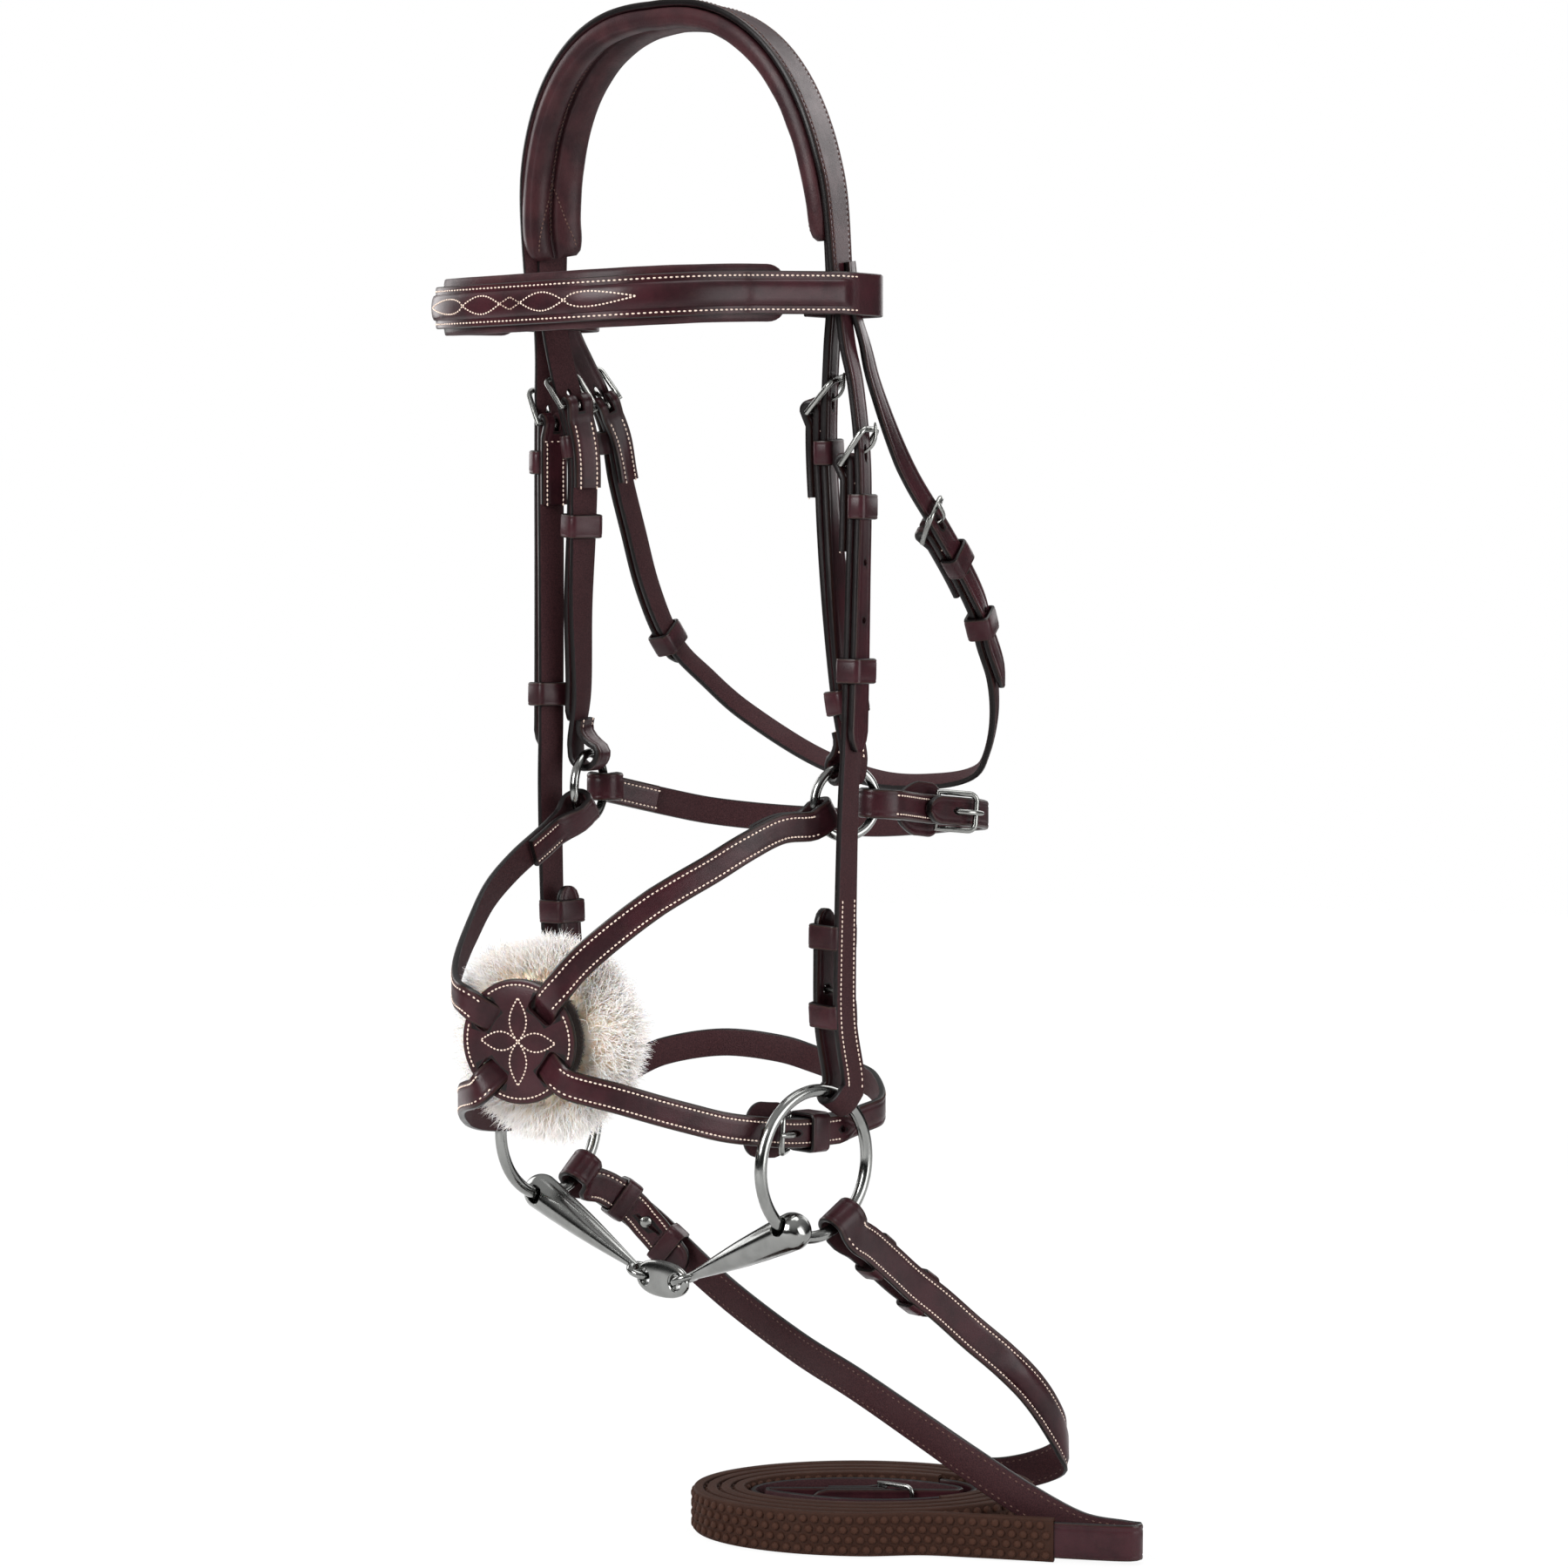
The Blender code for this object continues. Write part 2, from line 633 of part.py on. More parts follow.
def buckle_set(prefix, suffix, route, along, heading, width, lift=0.0, wire=BUCKLE_WIRE, thick=STRAP_THICK):
    """The frame and the tongue of a buckle whose bar is at this length of the route."""
    point, ahead, out, side = route.frame(along)
    layer = thick + GAP
    bar = point + out * (lift - buckle_lift(wire, thick))
    rest = layer + thick / 2 + REST_GAP + wire / 2 + buckle_lift(wire, thick)
    toward = -ahead * heading
    slope = toward * BUCKLE_REACH + out * rest
    frame_way = slope.normalized()
    half = width / 2 + GAP + wire / 2
    reach = slope.length
    corner = BUCKLE_CORNER
    bevel = corner * BUCKLE_BEVEL_SHARE
    outline = (
        (half, 0.0),
        (half, reach - corner),
        (half - bevel, reach - bevel),
        (half - corner, reach),
        (corner - half, reach),
        (bevel - half, reach - bevel),
        (-half, reach - corner),
        (-half, 0.0),
    )
    path = [bar + side * across + frame_way * forward for across, forward in outline]
    new_object(f"{prefix}_buckle{suffix}", wire_ring(path, wire), "steel")
    tongue(f"{prefix}_tongue{suffix}", bar, toward, out, side, rest, wire)
    JOINT_NOTES.append((f"{prefix}_tongue{suffix}", "hinge", bar, side * -heading))


def tongue(name, bar, toward, out, side, rest, wire):
    """The tongue from its open eye round the bar, through the strap's hole, to the frame's far side."""
    eye = wire / 2 + GAP + TONGUE_THICK / 2
    top = rest + wire / 2 + GAP + TONGUE_THICK / 2
    path = [(eye * math.cos(angle), eye * math.sin(angle)) for angle in TONGUE_EYE_ANGLES]
    path += [(BUCKLE_REACH * forward, eye + (top - eye) * climb) for forward, climb in TONGUE_CLIMB_SHARES]
    path.append((BUCKLE_REACH + wire / 2 + TONGUE_OVERHANG, top))
    points = [bar + toward * forward + out * height for forward, height in path]
    sections = []
    for index, point in enumerate(points):
        ahead = (points[min(index + 1, len(points) - 1)] - points[max(index - 1, 0)]).normalized()
        rise = side.cross(ahead) * TONGUE_THICK / 2
        wide = side * TONGUE_WIDTH / 2
        sections.append([point - wide - rise, point + wide - rise, point + wide + rise, point - wide + rise])
    new_object(name, loft(sections), "steel")


def tongue_slot(route, along, heading, lift=0.0, wire=BUCKLE_WIRE, thick=STRAP_THICK):
    """The slot in the folded end that the tongue's eye moves in."""
    eye = wire / 2 + GAP * 2 + TONGUE_THICK
    front = buckle_lift(wire, thick) + thick / 2 + OVERRUN
    middle = along + heading * (eye - front) / 2
    depth = buckle_lift(wire, thick) * 2 + thick / 2 + OVERRUN
    top = lift + thick / 2 + OVERRUN / 4
    return box_cutter(route, middle, (eye + front) / 2, TONGUE_WIDTH / 2 + GAP, lift - depth, top)


def tongue_hole(route, along, heading, lift):
    """The long hole in the strap that the tongue passes through."""
    middle = along - heading * BUCKLE_REACH * TONGUE_HOLE_MIDDLE_SHARE
    return hole_cutter(route, middle, BUCKLE_REACH * TONGUE_HOLE_REACH_SHARE, TONGUE_WIDTH / 2 + GAP, lift)


def holes(route, start, step, count, lift):
    """Cutters for a row of adjusting holes."""
    return [hole_cutter(route, start + step * index, HOLE_RADIUS, HOLE_RADIUS, lift) for index in range(count)]


def on_ring(centre, yaw, angle, radius, side, lift):
    """Where a strap leaves a ring: its middle line's point and the way out from the ring's centre."""
    plane = Vector((math.sin(yaw) * side, math.cos(yaw), 0))
    axis = Vector((math.cos(yaw) * side, -math.sin(yaw), 0))
    way = plane * math.cos(angle) + UP * math.sin(angle)
    return centre + way * radius + axis * lift, way


def ring_leave(centre_shares, yaw, angle, radius, side, lift):
    """The first two points of a route that starts on a ring."""
    centre = mirrored([place(centre_shares)], side)[0]
    start, way = on_ring(centre, yaw, angle, radius, side, lift)
    return [start, start + way * LAYER * 2]


def superellipse(angle, half, reach, squareness):
    """A point of a rounded rectangle about the origin."""
    cosine = math.cos(angle)
    sine = math.sin(angle)
    return (
        math.copysign(half * abs(cosine) ** (2 / squareness), cosine),
        math.copysign(reach * abs(sine) ** (2 / squareness), sine),
    )


def arch_points(grow):
    """The arch over the poll from its near foot to its off foot, grown outwards."""
    made = []
    for index in range(1, ARCH_SIDES):
        x, z = superellipse(math.pi * index / ARCH_SIDES, ARCH_HALF + grow, ARCH_RISE + grow, ARCH_SQUARENESS)
        made.append(Vector((x, ARCH_SETBACK - z * ARCH_LEAN_SHARE, z - ARCH_RISE)))
    return made


def crown_lift():
    """The middle of the crown strap above the padding's underside."""
    return PAD_THICK + GAP + STRAP_THICK + GAP + CROWN_THICK / 2


def hanging_route(ring_points, shares, grow, facing):
    """From a ring on the near side, up the cheek, over the poll and down to the ring on the off side."""
    near = ring_points(LEFT) + [place(item) for item in shares]
    off = ring_points(RIGHT) + mirrored([place(item) for item in shares], RIGHT)
    return Route(near + arch_points(grow) + list(reversed(off)), facing)


def cheek_route():
    def leave(side):
        rim = (BIT_RING_OUTER - BIT_RING_WIRE) / 2
        return ring_leave(BIT_RING_SHARES, BIT_RING_YAW, CHEEK_ANGLE, rim, side, BIT_FOLD_RADIUS)

    facing = facing_sideways(-BIT_RING_YAW, BIT_RING_SHARES[2] * BRIDLE_DROP - BIT_RING_OUTER / 2)
    return hanging_route(leave, CHEEK_ROUTE_SHARES, crown_lift() - LAYER, facing)


def hanger_route():
    def leave(side):
        return nose_leave(side, HANGER_ANGLE)

    facing = facing_sideways(-NOSE_RING_YAW, NOSE_RING_SHARES[2] * BRIDLE_DROP - NOSE_RING_OUTER / 2)
    return hanging_route(leave, HANGER_ROUTE_SHARES, PAD_THICK + GAP + STRAP_THICK / 2 - LAYER, facing)


def off_end(route, along, side):
    """The length for a distance from the near end, or the same from the off end."""
    return along if side == LEFT else route.length - along


def cheek_side(route, label, side, index):
    """One cheekpiece with its buckle, keeper, runner and hook stud."""
    heading = -side
    half = route.length / 2
    span = (0, half) if side == LEFT else (half, route.length)
    bar = route.at_drop(CHEEK_BUCKLE_DROPS[index], *span)
    ring_at = off_end(route, 0.0, side)
    upper = fold_end(bar, heading, 0.0, buckle_lift(), STRAP_WIDTH, CHAPE_BACK)
    lower = fold_end(ring_at, -heading, 0.0, BIT_FOLD_RADIUS, STRAP_WIDTH, CHEEK_RETURN, -RETURN_DROP)
    middle = run(bar + heading * STRAP_STEP / 2, ring_at - heading * STRAP_STEP / 2, 0.0, STRAP_WIDTH)
    piece = strap(f"cheekpiece_{label}", route, upper + middle + list(reversed(lower)))
    top = LAYER + STRAP_THICK / 2 + GAP * 2
    joined(piece, keeper("keeper", route, bar + heading * KEEPER_SETBACK, STRAP_WIDTH, keeper_foot(), top))
    low = -RETURN_DROP - STRAP_THICK / 2 - GAP
    for share in CHEEK_KEEPER_SHARES:
        along = ring_at - heading * CHEEK_RETURN * share
        joined(piece, keeper("keeper", route, along, STRAP_WIDTH, low, -keeper_foot(), RUNNER_HEIGHT))
    stud_at = ring_at - heading * STUD_SPACING
    cut(piece, tongue_slot(route, bar, heading))
    cut(piece, hole_cutter(route, stud_at, STUD_HOLE, STUD_HOLE, -RETURN_DROP))
    buckle_set("cheek", f"_{label}", route, bar, heading, STRAP_WIDTH)
    runner = route.at_drop(CHEEK_RUNNER_DROPS[index], *span)
    slider("cheek_runner", label, route, runner, STRAP_WIDTH, heading)
    hook_stud(f"cheek_hook_stud_{label}", route, stud_at, -STRAP_THICK / 2 - GAP, -RETURN_DROP)
    return bar, span


def slider(prefix, label, route, along, width, heading):
    """A loose runner round the two layers of a strap."""
    slack = GAP * 3
    low = -STRAP_THICK / 2 - slack
    high = LAYER + STRAP_THICK / 2 + slack
    keeper(f"{prefix}_{label}", route, along, width + GAP * 2, low, high, RUNNER_HEIGHT)
    point, ahead, _, _ = route.frame(along)
    JOINT_NOTES.append((f"{prefix}_{label}", "slide", point, ahead * heading))


def hook_stud(name, route, along, start, under, thick=STRAP_THICK):
    """A stud that stands on the strap, passes the turned-back end and holds it by its head."""
    point, _, out, _ = route.frame(along)
    head = under - thick / 2 - GAP - start
    profile = [
        (0.0, STUD_HEAD),
        (-STUD_HEAD_THICK / 2, STUD_HEAD),
        (-STUD_HEAD_THICK, STUD_SHANK),
        (head, STUD_SHANK),
        (head - STUD_HEAD_THICK / 4, STUD_HEAD),
        (head - STUD_HEAD_THICK, STUD_HEAD * STUD_DOME_SHARE),
    ]
    turned(name, point + out * start, out, profile, STUD_SIDES, "steel")


def crown(route, throat):
    """The poll strap, which splits into a cheek billet and a throat billet on each side."""
    half = route.length / 2
    near_tip = route.at_drop(CHEEK_TIP_DROPS[0], 0, half)
    off_tip = route.at_drop(CHEEK_TIP_DROPS[1], half, route.length)
    near_split = route.at_drop(SPLIT_DROP, 0, half)
    off_split = route.at_drop(SPLIT_DROP, half, route.length)
    stations = list(reversed(tip(near_tip, LEFT * -1, LAYER, STRAP_WIDTH)))
    stations += run(near_tip + TIP_LENGTH * 2, near_split - GAP, LAYER, STRAP_WIDTH)
    stations += crown_wide(route, near_split, off_split)
    stations += run(off_split + GAP, off_tip - TIP_LENGTH * 2, LAYER, STRAP_WIDTH)
    stations += tip(off_tip, 1, LAYER, STRAP_WIDTH)
    piece = strap("crown_strap", route, stations, CROWN_THICK)
    for index, heading in ((0, 1), (1, -1)):
        first, last = (0, throat.length / 2) if heading == 1 else (throat.length / 2, throat.length)
        end = throat.at_drop(THROAT_TIP_DROPS[index], first, last)
        start = first if heading == 1 else last
        tail = run(start, end - heading * TIP_LENGTH * 2, THROAT_LIFT, THROAT_WIDTH)
        tail += tip(end, heading, THROAT_LIFT, THROAT_WIDTH)
        billet = strap("billet", throat, tail, THROAT_BILLET_THICK)
        bar = throat.at_drop(THROAT_BUCKLE_DROPS[index], first, last)
        cut(billet, tongue_hole(throat, bar, heading, THROAT_LIFT))
        cut(billet, *holes(throat, bar + heading * HOLE_PITCH, heading * HOLE_PITCH, 2, THROAT_LIFT))
        joined(piece, billet)
    for index, (_, side) in enumerate(SIDES):
        heading = -side
        span = (0, half) if side == LEFT else (half, route.length)
        bar = route.at_drop(CHEEK_BUCKLE_DROPS[index], *span)
        cut(piece, tongue_hole(route, bar, heading, LAYER))
        cut(piece, *holes(route, bar + heading * CHEEK_HOLE_START, heading * HOLE_PITCH, 3, LAYER))
    return piece


def crown_wide(route, near_split, off_split):
    """The broad part over the poll, narrower at its legs, with its back edge kept in line."""
    made = []
    count = ARCH_SIDES * 2
    for index in range(count + 1):
        share = index / count
        along = near_split + (off_split - near_split) * share
        reach = 1 - abs(2 * share - 1)
        wide = min(reach / CROWN_TAPER_START_SHARE, 1)
        width = CROWN_LEG_WIDTH + (CROWN_WIDTH - CROWN_LEG_WIDTH) * wide
        made.append(Station(along, LAYER, -width / 2, width / 2))
    return made


def padding():
    """The crown's padding: a soft roll along each edge, and a channel that the headstrap runs in."""
    foot = ARCH_HALF * PAD_LEG_SHARE
    legs = [Vector((side * foot, ARCH_SETBACK, -POLL_RISE - PAD_END_DROP)) for side in (LEFT, RIGHT)]
    over = [point for point in arch_points(0.0) if point.z > legs[0].z + STRAP_STEP]
    route = Route([legs[0]] + over + [legs[1]], facing_sideways(LEG_TURN, BRIDLE_DROP))
    half = PAD_WIDTH / 2
    channel = PAD_CHANNEL / 2
    top = PAD_THICK + STRAP_THICK
    under = [(half * across, PAD_ROLL * lift) for across, lift in PAD_UNDER_SHARES]
    wall = [(half * PAD_TOP_SHARE, top), (channel, top), (channel, PAD_THICK)]
    facing_wall = [(-across, lift) for across, lift in reversed(wall)]
    outline = [(-half, PAD_THICK)] + under + [(half, PAD_THICK)] + wall + facing_wall
    count = ARCH_SIDES * 3 // 2
    sections = []
    for index in range(count + 1):
        share = index / count
        point, _, out, side = route.frame(route.length * share)
        sections.append([point + side * across + out * lift for across, lift in outline])
    return new_object("crown_padding", loft(sections), "padding")


def headstrap(route):
    """The strap that carries the noseband, under the crown strap, with a billet at each end."""
    half = route.length / 2
    near_tip = route.at_drop(HANGER_TIP_DROPS[0], 0, half)
    off_tip = route.at_drop(HANGER_TIP_DROPS[1], half, route.length)
    stations = list(reversed(tip(near_tip, -1, LAYER, STRAP_WIDTH)))
    stations += run(near_tip + TIP_LENGTH * 2, off_tip - TIP_LENGTH * 2, LAYER, STRAP_WIDTH)
    stations += tip(off_tip, 1, LAYER, STRAP_WIDTH)
    piece = strap("noseband_headstrap", route, stations, STRAP_THICK)
    for index, (_, side) in enumerate(SIDES):
        span = (0, half) if side == LEFT else (half, route.length)
        bar = route.at_drop(HANGER_BUCKLE_DROPS[index], *span)
        cut(piece, tongue_hole(route, bar, -side, LAYER))
    return piece


def hanger_side(route, label, side, index):
    """One hanger from its buckle down to the noseband ring."""
    heading = -side
    half = route.length / 2
    span = (0, half) if side == LEFT else (half, route.length)
    bar = route.at_drop(HANGER_BUCKLE_DROPS[index], *span)
    ring_at = off_end(route, 0.0, side)
    upper = fold_end(bar, heading, 0.0, buckle_lift(), STRAP_WIDTH, CHAPE_BACK)
    lower = fold_end(ring_at, -heading, 0.0, NOSE_FOLD_RADIUS, STRAP_WIDTH, HANGER_RETURN)
    middle = run(bar + heading * STRAP_STEP / 2, ring_at - heading * STRAP_STEP / 2, 0.0, STRAP_WIDTH)
    piece = strap(f"noseband_hanger_{label}", route, upper + middle + list(reversed(lower)))
    top = LAYER + STRAP_THICK / 2 + GAP * 3
    joined(piece, keeper("keeper", route, bar + heading * KEEPER_SETBACK, STRAP_WIDTH, keeper_foot(), top))
    cut(piece, tongue_slot(route, bar, heading))
    buckle_set("hanger", f"_{label}", route, bar, heading, STRAP_WIDTH)
    runner = route.at_drop(HANGER_RUNNER_DROPS[index], *span)
    slider("hanger_runner", label, route, runner, STRAP_WIDTH, heading)


def ring_set(prefix, shares, yaw, outer, wire, count):
    for label, side in SIDES:
        centre = mirrored([place(shares)], side)[0]
        first = Vector((math.sin(yaw) * side, math.cos(yaw), 0))
        ring(f"{prefix}_{label}", centre, first, UP, (outer - wire) / 2, wire, count)
        axis = Vector((math.cos(yaw) * side, -math.sin(yaw), 0))
        JOINT_NOTES.append((f"{prefix}_{label}", "hinge", centre, axis))


def disc_frame():
    """The nose disc's middle, the ways across and up it, and the way that it faces."""
    across = Vector((math.cos(DISC_YAW), math.sin(DISC_YAW), 0))
    return place(DISC_SHARES), across, UP.copy(), across.cross(UP)


def disc_line(angle):
    """Points of a strap's straight run over the disc, from above to below it."""
    middle, across, up, _ = disc_frame()
    way = across * math.cos(angle) + up * math.sin(angle)
    return [middle + way * DISC_RADIUS * share for share in reversed(DISC_FLAT_SHARES)]


def nose_leave(side, angle):
    """The first points of a noseband strap, which starts on its ring."""
    rim = (NOSE_RING_OUTER - NOSE_RING_WIRE) / 2
    return ring_leave(NOSE_RING_SHARES, NOSE_RING_YAW, angle, rim, side, NOSE_FOLD_RADIUS)


def near_cross_route():
    """From the near ring over the disc, round the off side and the chin, to the near side."""
    points = nose_leave(LEFT, CROSS_ANGLES[0]) + [place(item) for item in NEAR_CROSS_SHARES]
    points += disc_line(UPPER_CROSS_ANGLE)
    points += [place(item) for item in reversed(CHIN_OFF_SHARES)]
    points += [place(item) for item in reversed(CHIN_NEAR_SHARES)]
    return Route(points, facing_level(-1))


def off_cross_route():
    """From the off ring over the disc to the near side of the chin."""
    points = nose_leave(RIGHT, CROSS_ANGLES[1]) + [place(item) for item in OFF_CROSS_SHARES]
    points += disc_line(LOWER_CROSS_ANGLE + math.pi)
    points += [place(item) for item in CHIN_NEAR_SHARES]
    return Route(points, facing_level(1))


def dipped(stations, middle, depth):
    """Stations that pass under the disc, through its slots on both sides."""
    inner = SLOT_CENTRE - SLOT_LENGTH / 2
    outer = SLOT_CENTRE + SLOT_LENGTH / 2
    made = [item for item in stations if abs(item.along - middle) > outer]
    wide = STRAP_WIDTH / 2
    for offset, share in ((outer, 0.0), (SLOT_CENTRE, 0.5), (inner, 1.0), (inner / 2, 1.0)):
        for way in (-1, 1):
            made.append(Station(middle + way * offset, -depth * share, -wide, wide))
    made.append(Station(middle, -depth, -wide, wide))
    return sorted(made, key=lambda item: item.along)


def disc_stack():
    """Depths below the straps' outer run: the disc, the two straps' middles, the backing and the fleece."""
    top = STRAP_THICK / 2 + GAP
    upper = top + DISC_THICK + GAP + STRAP_THICK / 2
    lower = upper + LAYER
    backing = lower + STRAP_THICK / 2 + GAP * 2
    return top, upper, lower, backing, backing + DISC_THICK + GAP


def cross_straps():
    """The two straps of the figure eight."""
    _, upper, lower, _, _ = disc_stack()
    middle = place(DISC_SHARES)
    near = near_cross_route()
    off = off_cross_route()
    bar = off.nearest(place(CHIN_BUCKLE_SHARES))
    buckle_bar = near.nearest(off.centre(bar))
    start = fold_end(0.0, 1, 0.0, NOSE_FOLD_RADIUS, STRAP_WIDTH, CHAPE_BACK)
    body = run(STRAP_STEP / 2, buckle_bar - STRAP_STEP * 5, 0.0, STRAP_WIDTH)
    body = dipped(body, near.nearest(middle), lower)
    end = fold_end(buckle_bar, -1, -LAYER, buckle_lift(), STRAP_WIDTH, CHAPE_BACK, -LAYER * 2)
    lead = run(buckle_bar - STRAP_STEP * 4, buckle_bar - STRAP_STEP / 2, -LAYER, STRAP_WIDTH)
    piece = strap("cross_strap_left", near, start + body + lead + list(reversed(end)))
    cut(piece, tongue_slot(near, buckle_bar, -1, -LAYER))
    start = fold_end(0.0, 1, 0.0, NOSE_FOLD_RADIUS, STRAP_WIDTH, CHAPE_BACK)
    billet_end = bar + CHIN_TIP
    body = run(STRAP_STEP / 2, billet_end - TIP_LENGTH * 2, 0.0, STRAP_WIDTH)
    body = dipped(body, off.nearest(middle), upper)
    piece = strap("cross_strap_right", off, start + body + tip(billet_end, 1, 0.0, STRAP_WIDTH))
    cut(piece, tongue_hole(off, bar, 1, 0.0), *holes(off, bar - CHIN_HOLE_BACK, 0.0, 1, 0.0))
    cut(piece, *holes(off, bar + CHIN_HOLE_START, CHIN_HOLE_PITCH, 2, 0.0))
    buckle_set("chin", "", off, bar, 1, STRAP_WIDTH, -LAYER)
    low = -LAYER * 2 - STRAP_THICK / 2 - GAP * 4
    keeper("chin_keeper", off, bar + CHIN_KEEPER_SETBACK, STRAP_WIDTH + GAP * 2, low, STRAP_THICK / 2 + GAP * 2)
    safe("chin_safe", off, bar, 1, -LAYER * 2 - buckle_lift() - BUCKLE_WIRE / 2)


def safe(name, route, bar, heading, lift):
    """A rounded leather under a buckle, which keeps its metal off the skin."""
    half = SAFE_WIDTH / 2
    start = bar + heading * CHAPE_FLARE
    middle = lift - SAFE_THICK / 2 - GAP
    stations = [
        Station(start - heading * SAFE_LENGTH * along, middle, -half * wide, half * wide)
        for along, wide in SAFE_SHARES
    ]
    strap(name, route, stations, SAFE_THICK)


def flat_disc(name, depth, radius, thick):
    """A round leather on the front of the nose."""
    middle, across, up, face = disc_frame()
    rim = disc_points(middle - face * depth, across, up, radius, DISC_SIDES)
    inner = disc_points(middle - face * (depth + thick), across, up, radius, DISC_SIDES)
    return new_object(name, loft([rim, inner]), "leather")


def nose_front():
    """The disc with its four slots, the backing behind the straps and the sheepskin."""
    top, _, _, backing, fleece = disc_stack()
    middle, across, up, face = disc_frame()
    disc = flat_disc("nose_disc", top, DISC_RADIUS, DISC_THICK)
    for angle in (UPPER_CROSS_ANGLE, LOWER_CROSS_ANGLE):
        way = across * math.cos(angle) + up * math.sin(angle)
        over = face.cross(way)
        for end in (-1, 1):
            centre = middle + way * SLOT_CENTRE * end
            corners = [
                centre + way * first * (SLOT_LENGTH / 2 + SLOT_SPARE) + over * second * (STRAP_WIDTH / 2 + GAP)
                for first, second in CORNERS
            ]
            cut(disc, prism("slot", corners, face * OVERRUN, -face * (OVERRUN + DISC_THICK)))
    flat_disc("disc_backing", backing, BACKING_RADIUS, DISC_THICK)
    profile = [
        (-fleece - FLEECE_THICK * along, max(FLEECE_RADIUS * wide, MERGE * 100))
        for wide, along in FLEECE_PROFILE_SHARES
    ]
    turned("sheepskin_pad", middle + across * FLEECE_SHIFT, face, profile, DISC_SIDES, "fleece")


def jowl():
    """The strap round the back of the jaw, with the chape on the near ring."""
    points = nose_leave(LEFT, JOWL_ANGLE) + [place(item) for item in JOWL_ROUTE_SHARES]
    points += list(reversed(nose_leave(RIGHT, JOWL_ANGLE)))
    route = Route(points, facing_level(1))
    bar = JOWL_BUCKLE_SETBACK - BUCKLE_REACH
    start = fold_end(0.0, 1, 0.0, NOSE_FOLD_RADIUS, STRAP_WIDTH, JOWL_CHAPE_BACK)
    end = fold_end(bar, -1, 0.0, buckle_lift(), STRAP_WIDTH, JOWL_CHAPE_BACK)
    body = run(STRAP_STEP / 2, bar - STRAP_STEP / 2, 0.0, STRAP_WIDTH)
    piece = strap("jowl_chape", route, start + body + list(reversed(end)))
    cut(piece, tongue_slot(route, bar, -1))
    far = fold_end(route.length, -1, 0.0, NOSE_FOLD_RADIUS, STRAP_WIDTH, CHAPE_BACK)
    over = LAYER + GAP
    stations = list(reversed(tip(JOWL_TIP_SETBACK, -1, over, STRAP_WIDTH)))
    stations += run(JOWL_TIP_SETBACK + TIP_LENGTH * 2, bar + STRAP_STEP * 4, over, STRAP_WIDTH)
    stations += run(bar + STRAP_STEP * 6, route.length - STRAP_STEP / 2, 0.0, STRAP_WIDTH)
    piece = strap("jowl_strap", route, stations + list(reversed(far)))
    cut(piece, tongue_hole(route, bar, -1, LAYER))
    cut(piece, *holes(route, bar + JOWL_HOLE_START, HOLE_PITCH, 2, LAYER / 2))
    buckle_set("jowl", "", route, bar, -1, STRAP_WIDTH)
    safe("jowl_safe", route, bar - CHAPE_FLARE, -1, -LAYER - buckle_lift() - BUCKLE_WIRE / 2)


def throat_route():
    points = [place(item) for item in THROAT_NEAR_SHARES] + [place(item) for item in THROAT_OFF_SHARES]
    return Route(points, facing_jaw)


def throatlatch(route):
    """The strap under the throat, buckled to the crown's throat billets on both sides."""
    half = route.length / 2
    near = route.at_drop(THROAT_BUCKLE_DROPS[0], 0, half)
    off = route.at_drop(THROAT_BUCKLE_DROPS[1], half, route.length)
    start = fold_end(near, 1, 0.0, buckle_lift(), THROAT_WIDTH, CHAPE_BACK)
    end = fold_end(off, -1, 0.0, buckle_lift(), THROAT_WIDTH, CHAPE_BACK)
    stations = start + run(near + STRAP_STEP / 2, off - STRAP_STEP / 2, 0.0, THROAT_WIDTH) + list(reversed(end))
    piece = strap("throatlatch", route, stations)
    wide = THROAT_WIDTH + GAP * 2
    top = LAYER + STRAP_THICK / 2 + GAP * 3
    for bar, heading, label in ((near, 1, "left"), (off, -1, "right")):
        joined(piece, keeper("keeper", route, bar + heading * KEEPER_SETBACK, wide, keeper_foot(), top))
        cut(piece, tongue_slot(route, bar, heading))
        buckle_set("throat", f"_{label}", route, bar, heading, THROAT_WIDTH)
    low, high = THROAT_RUNNER_DROPS
    slider("throat_runner", "left", route, route.at_drop(low, 0, half), THROAT_WIDTH, 1)
    slider("throat_runner", "right", route, route.at_drop(high, half, route.length), THROAT_WIDTH, -1)


def brow_route(inset):
    """The browband's middle line: level round the forehead, with a loop round each crown leg."""
    loop = []
    for index in range(BROW_LOOP_STEPS + 1):
        turn = BROW_CURVE_START + (BROW_CURVE_END - BROW_CURVE_START) * index / BROW_LOOP_STEPS
        x, y = superellipse(turn, BROW_LOOP_HALF, BROW_LOOP_REACH, BROW_LOOP_SQUARENESS)
        loop.append(Vector((BROW_LOOP_MIDDLE + x, BROW_LOOP_SETBACK + y, -BROW_DROP - POLL_RISE)))
    side = BROW_PAD_SIDE if inset else BROW_SIDE
    front = []
    for index in range(BROW_STEPS + 1):
        turn = -math.pi * index / BROW_STEPS
        x, y = superellipse(turn, BROW_HALF - inset, BROW_REACH - inset, BROW_SQUARENESS)
        if y < -side:
            front.append(Vector((x, y + ARCH_SETBACK, -BROW_DROP - POLL_RISE)))
    if inset:
        return Route(front, facing_level(-1))
    points = list(reversed(loop)) + front + mirrored(loop, RIGHT)
    return Route(points, facing_level(-1))


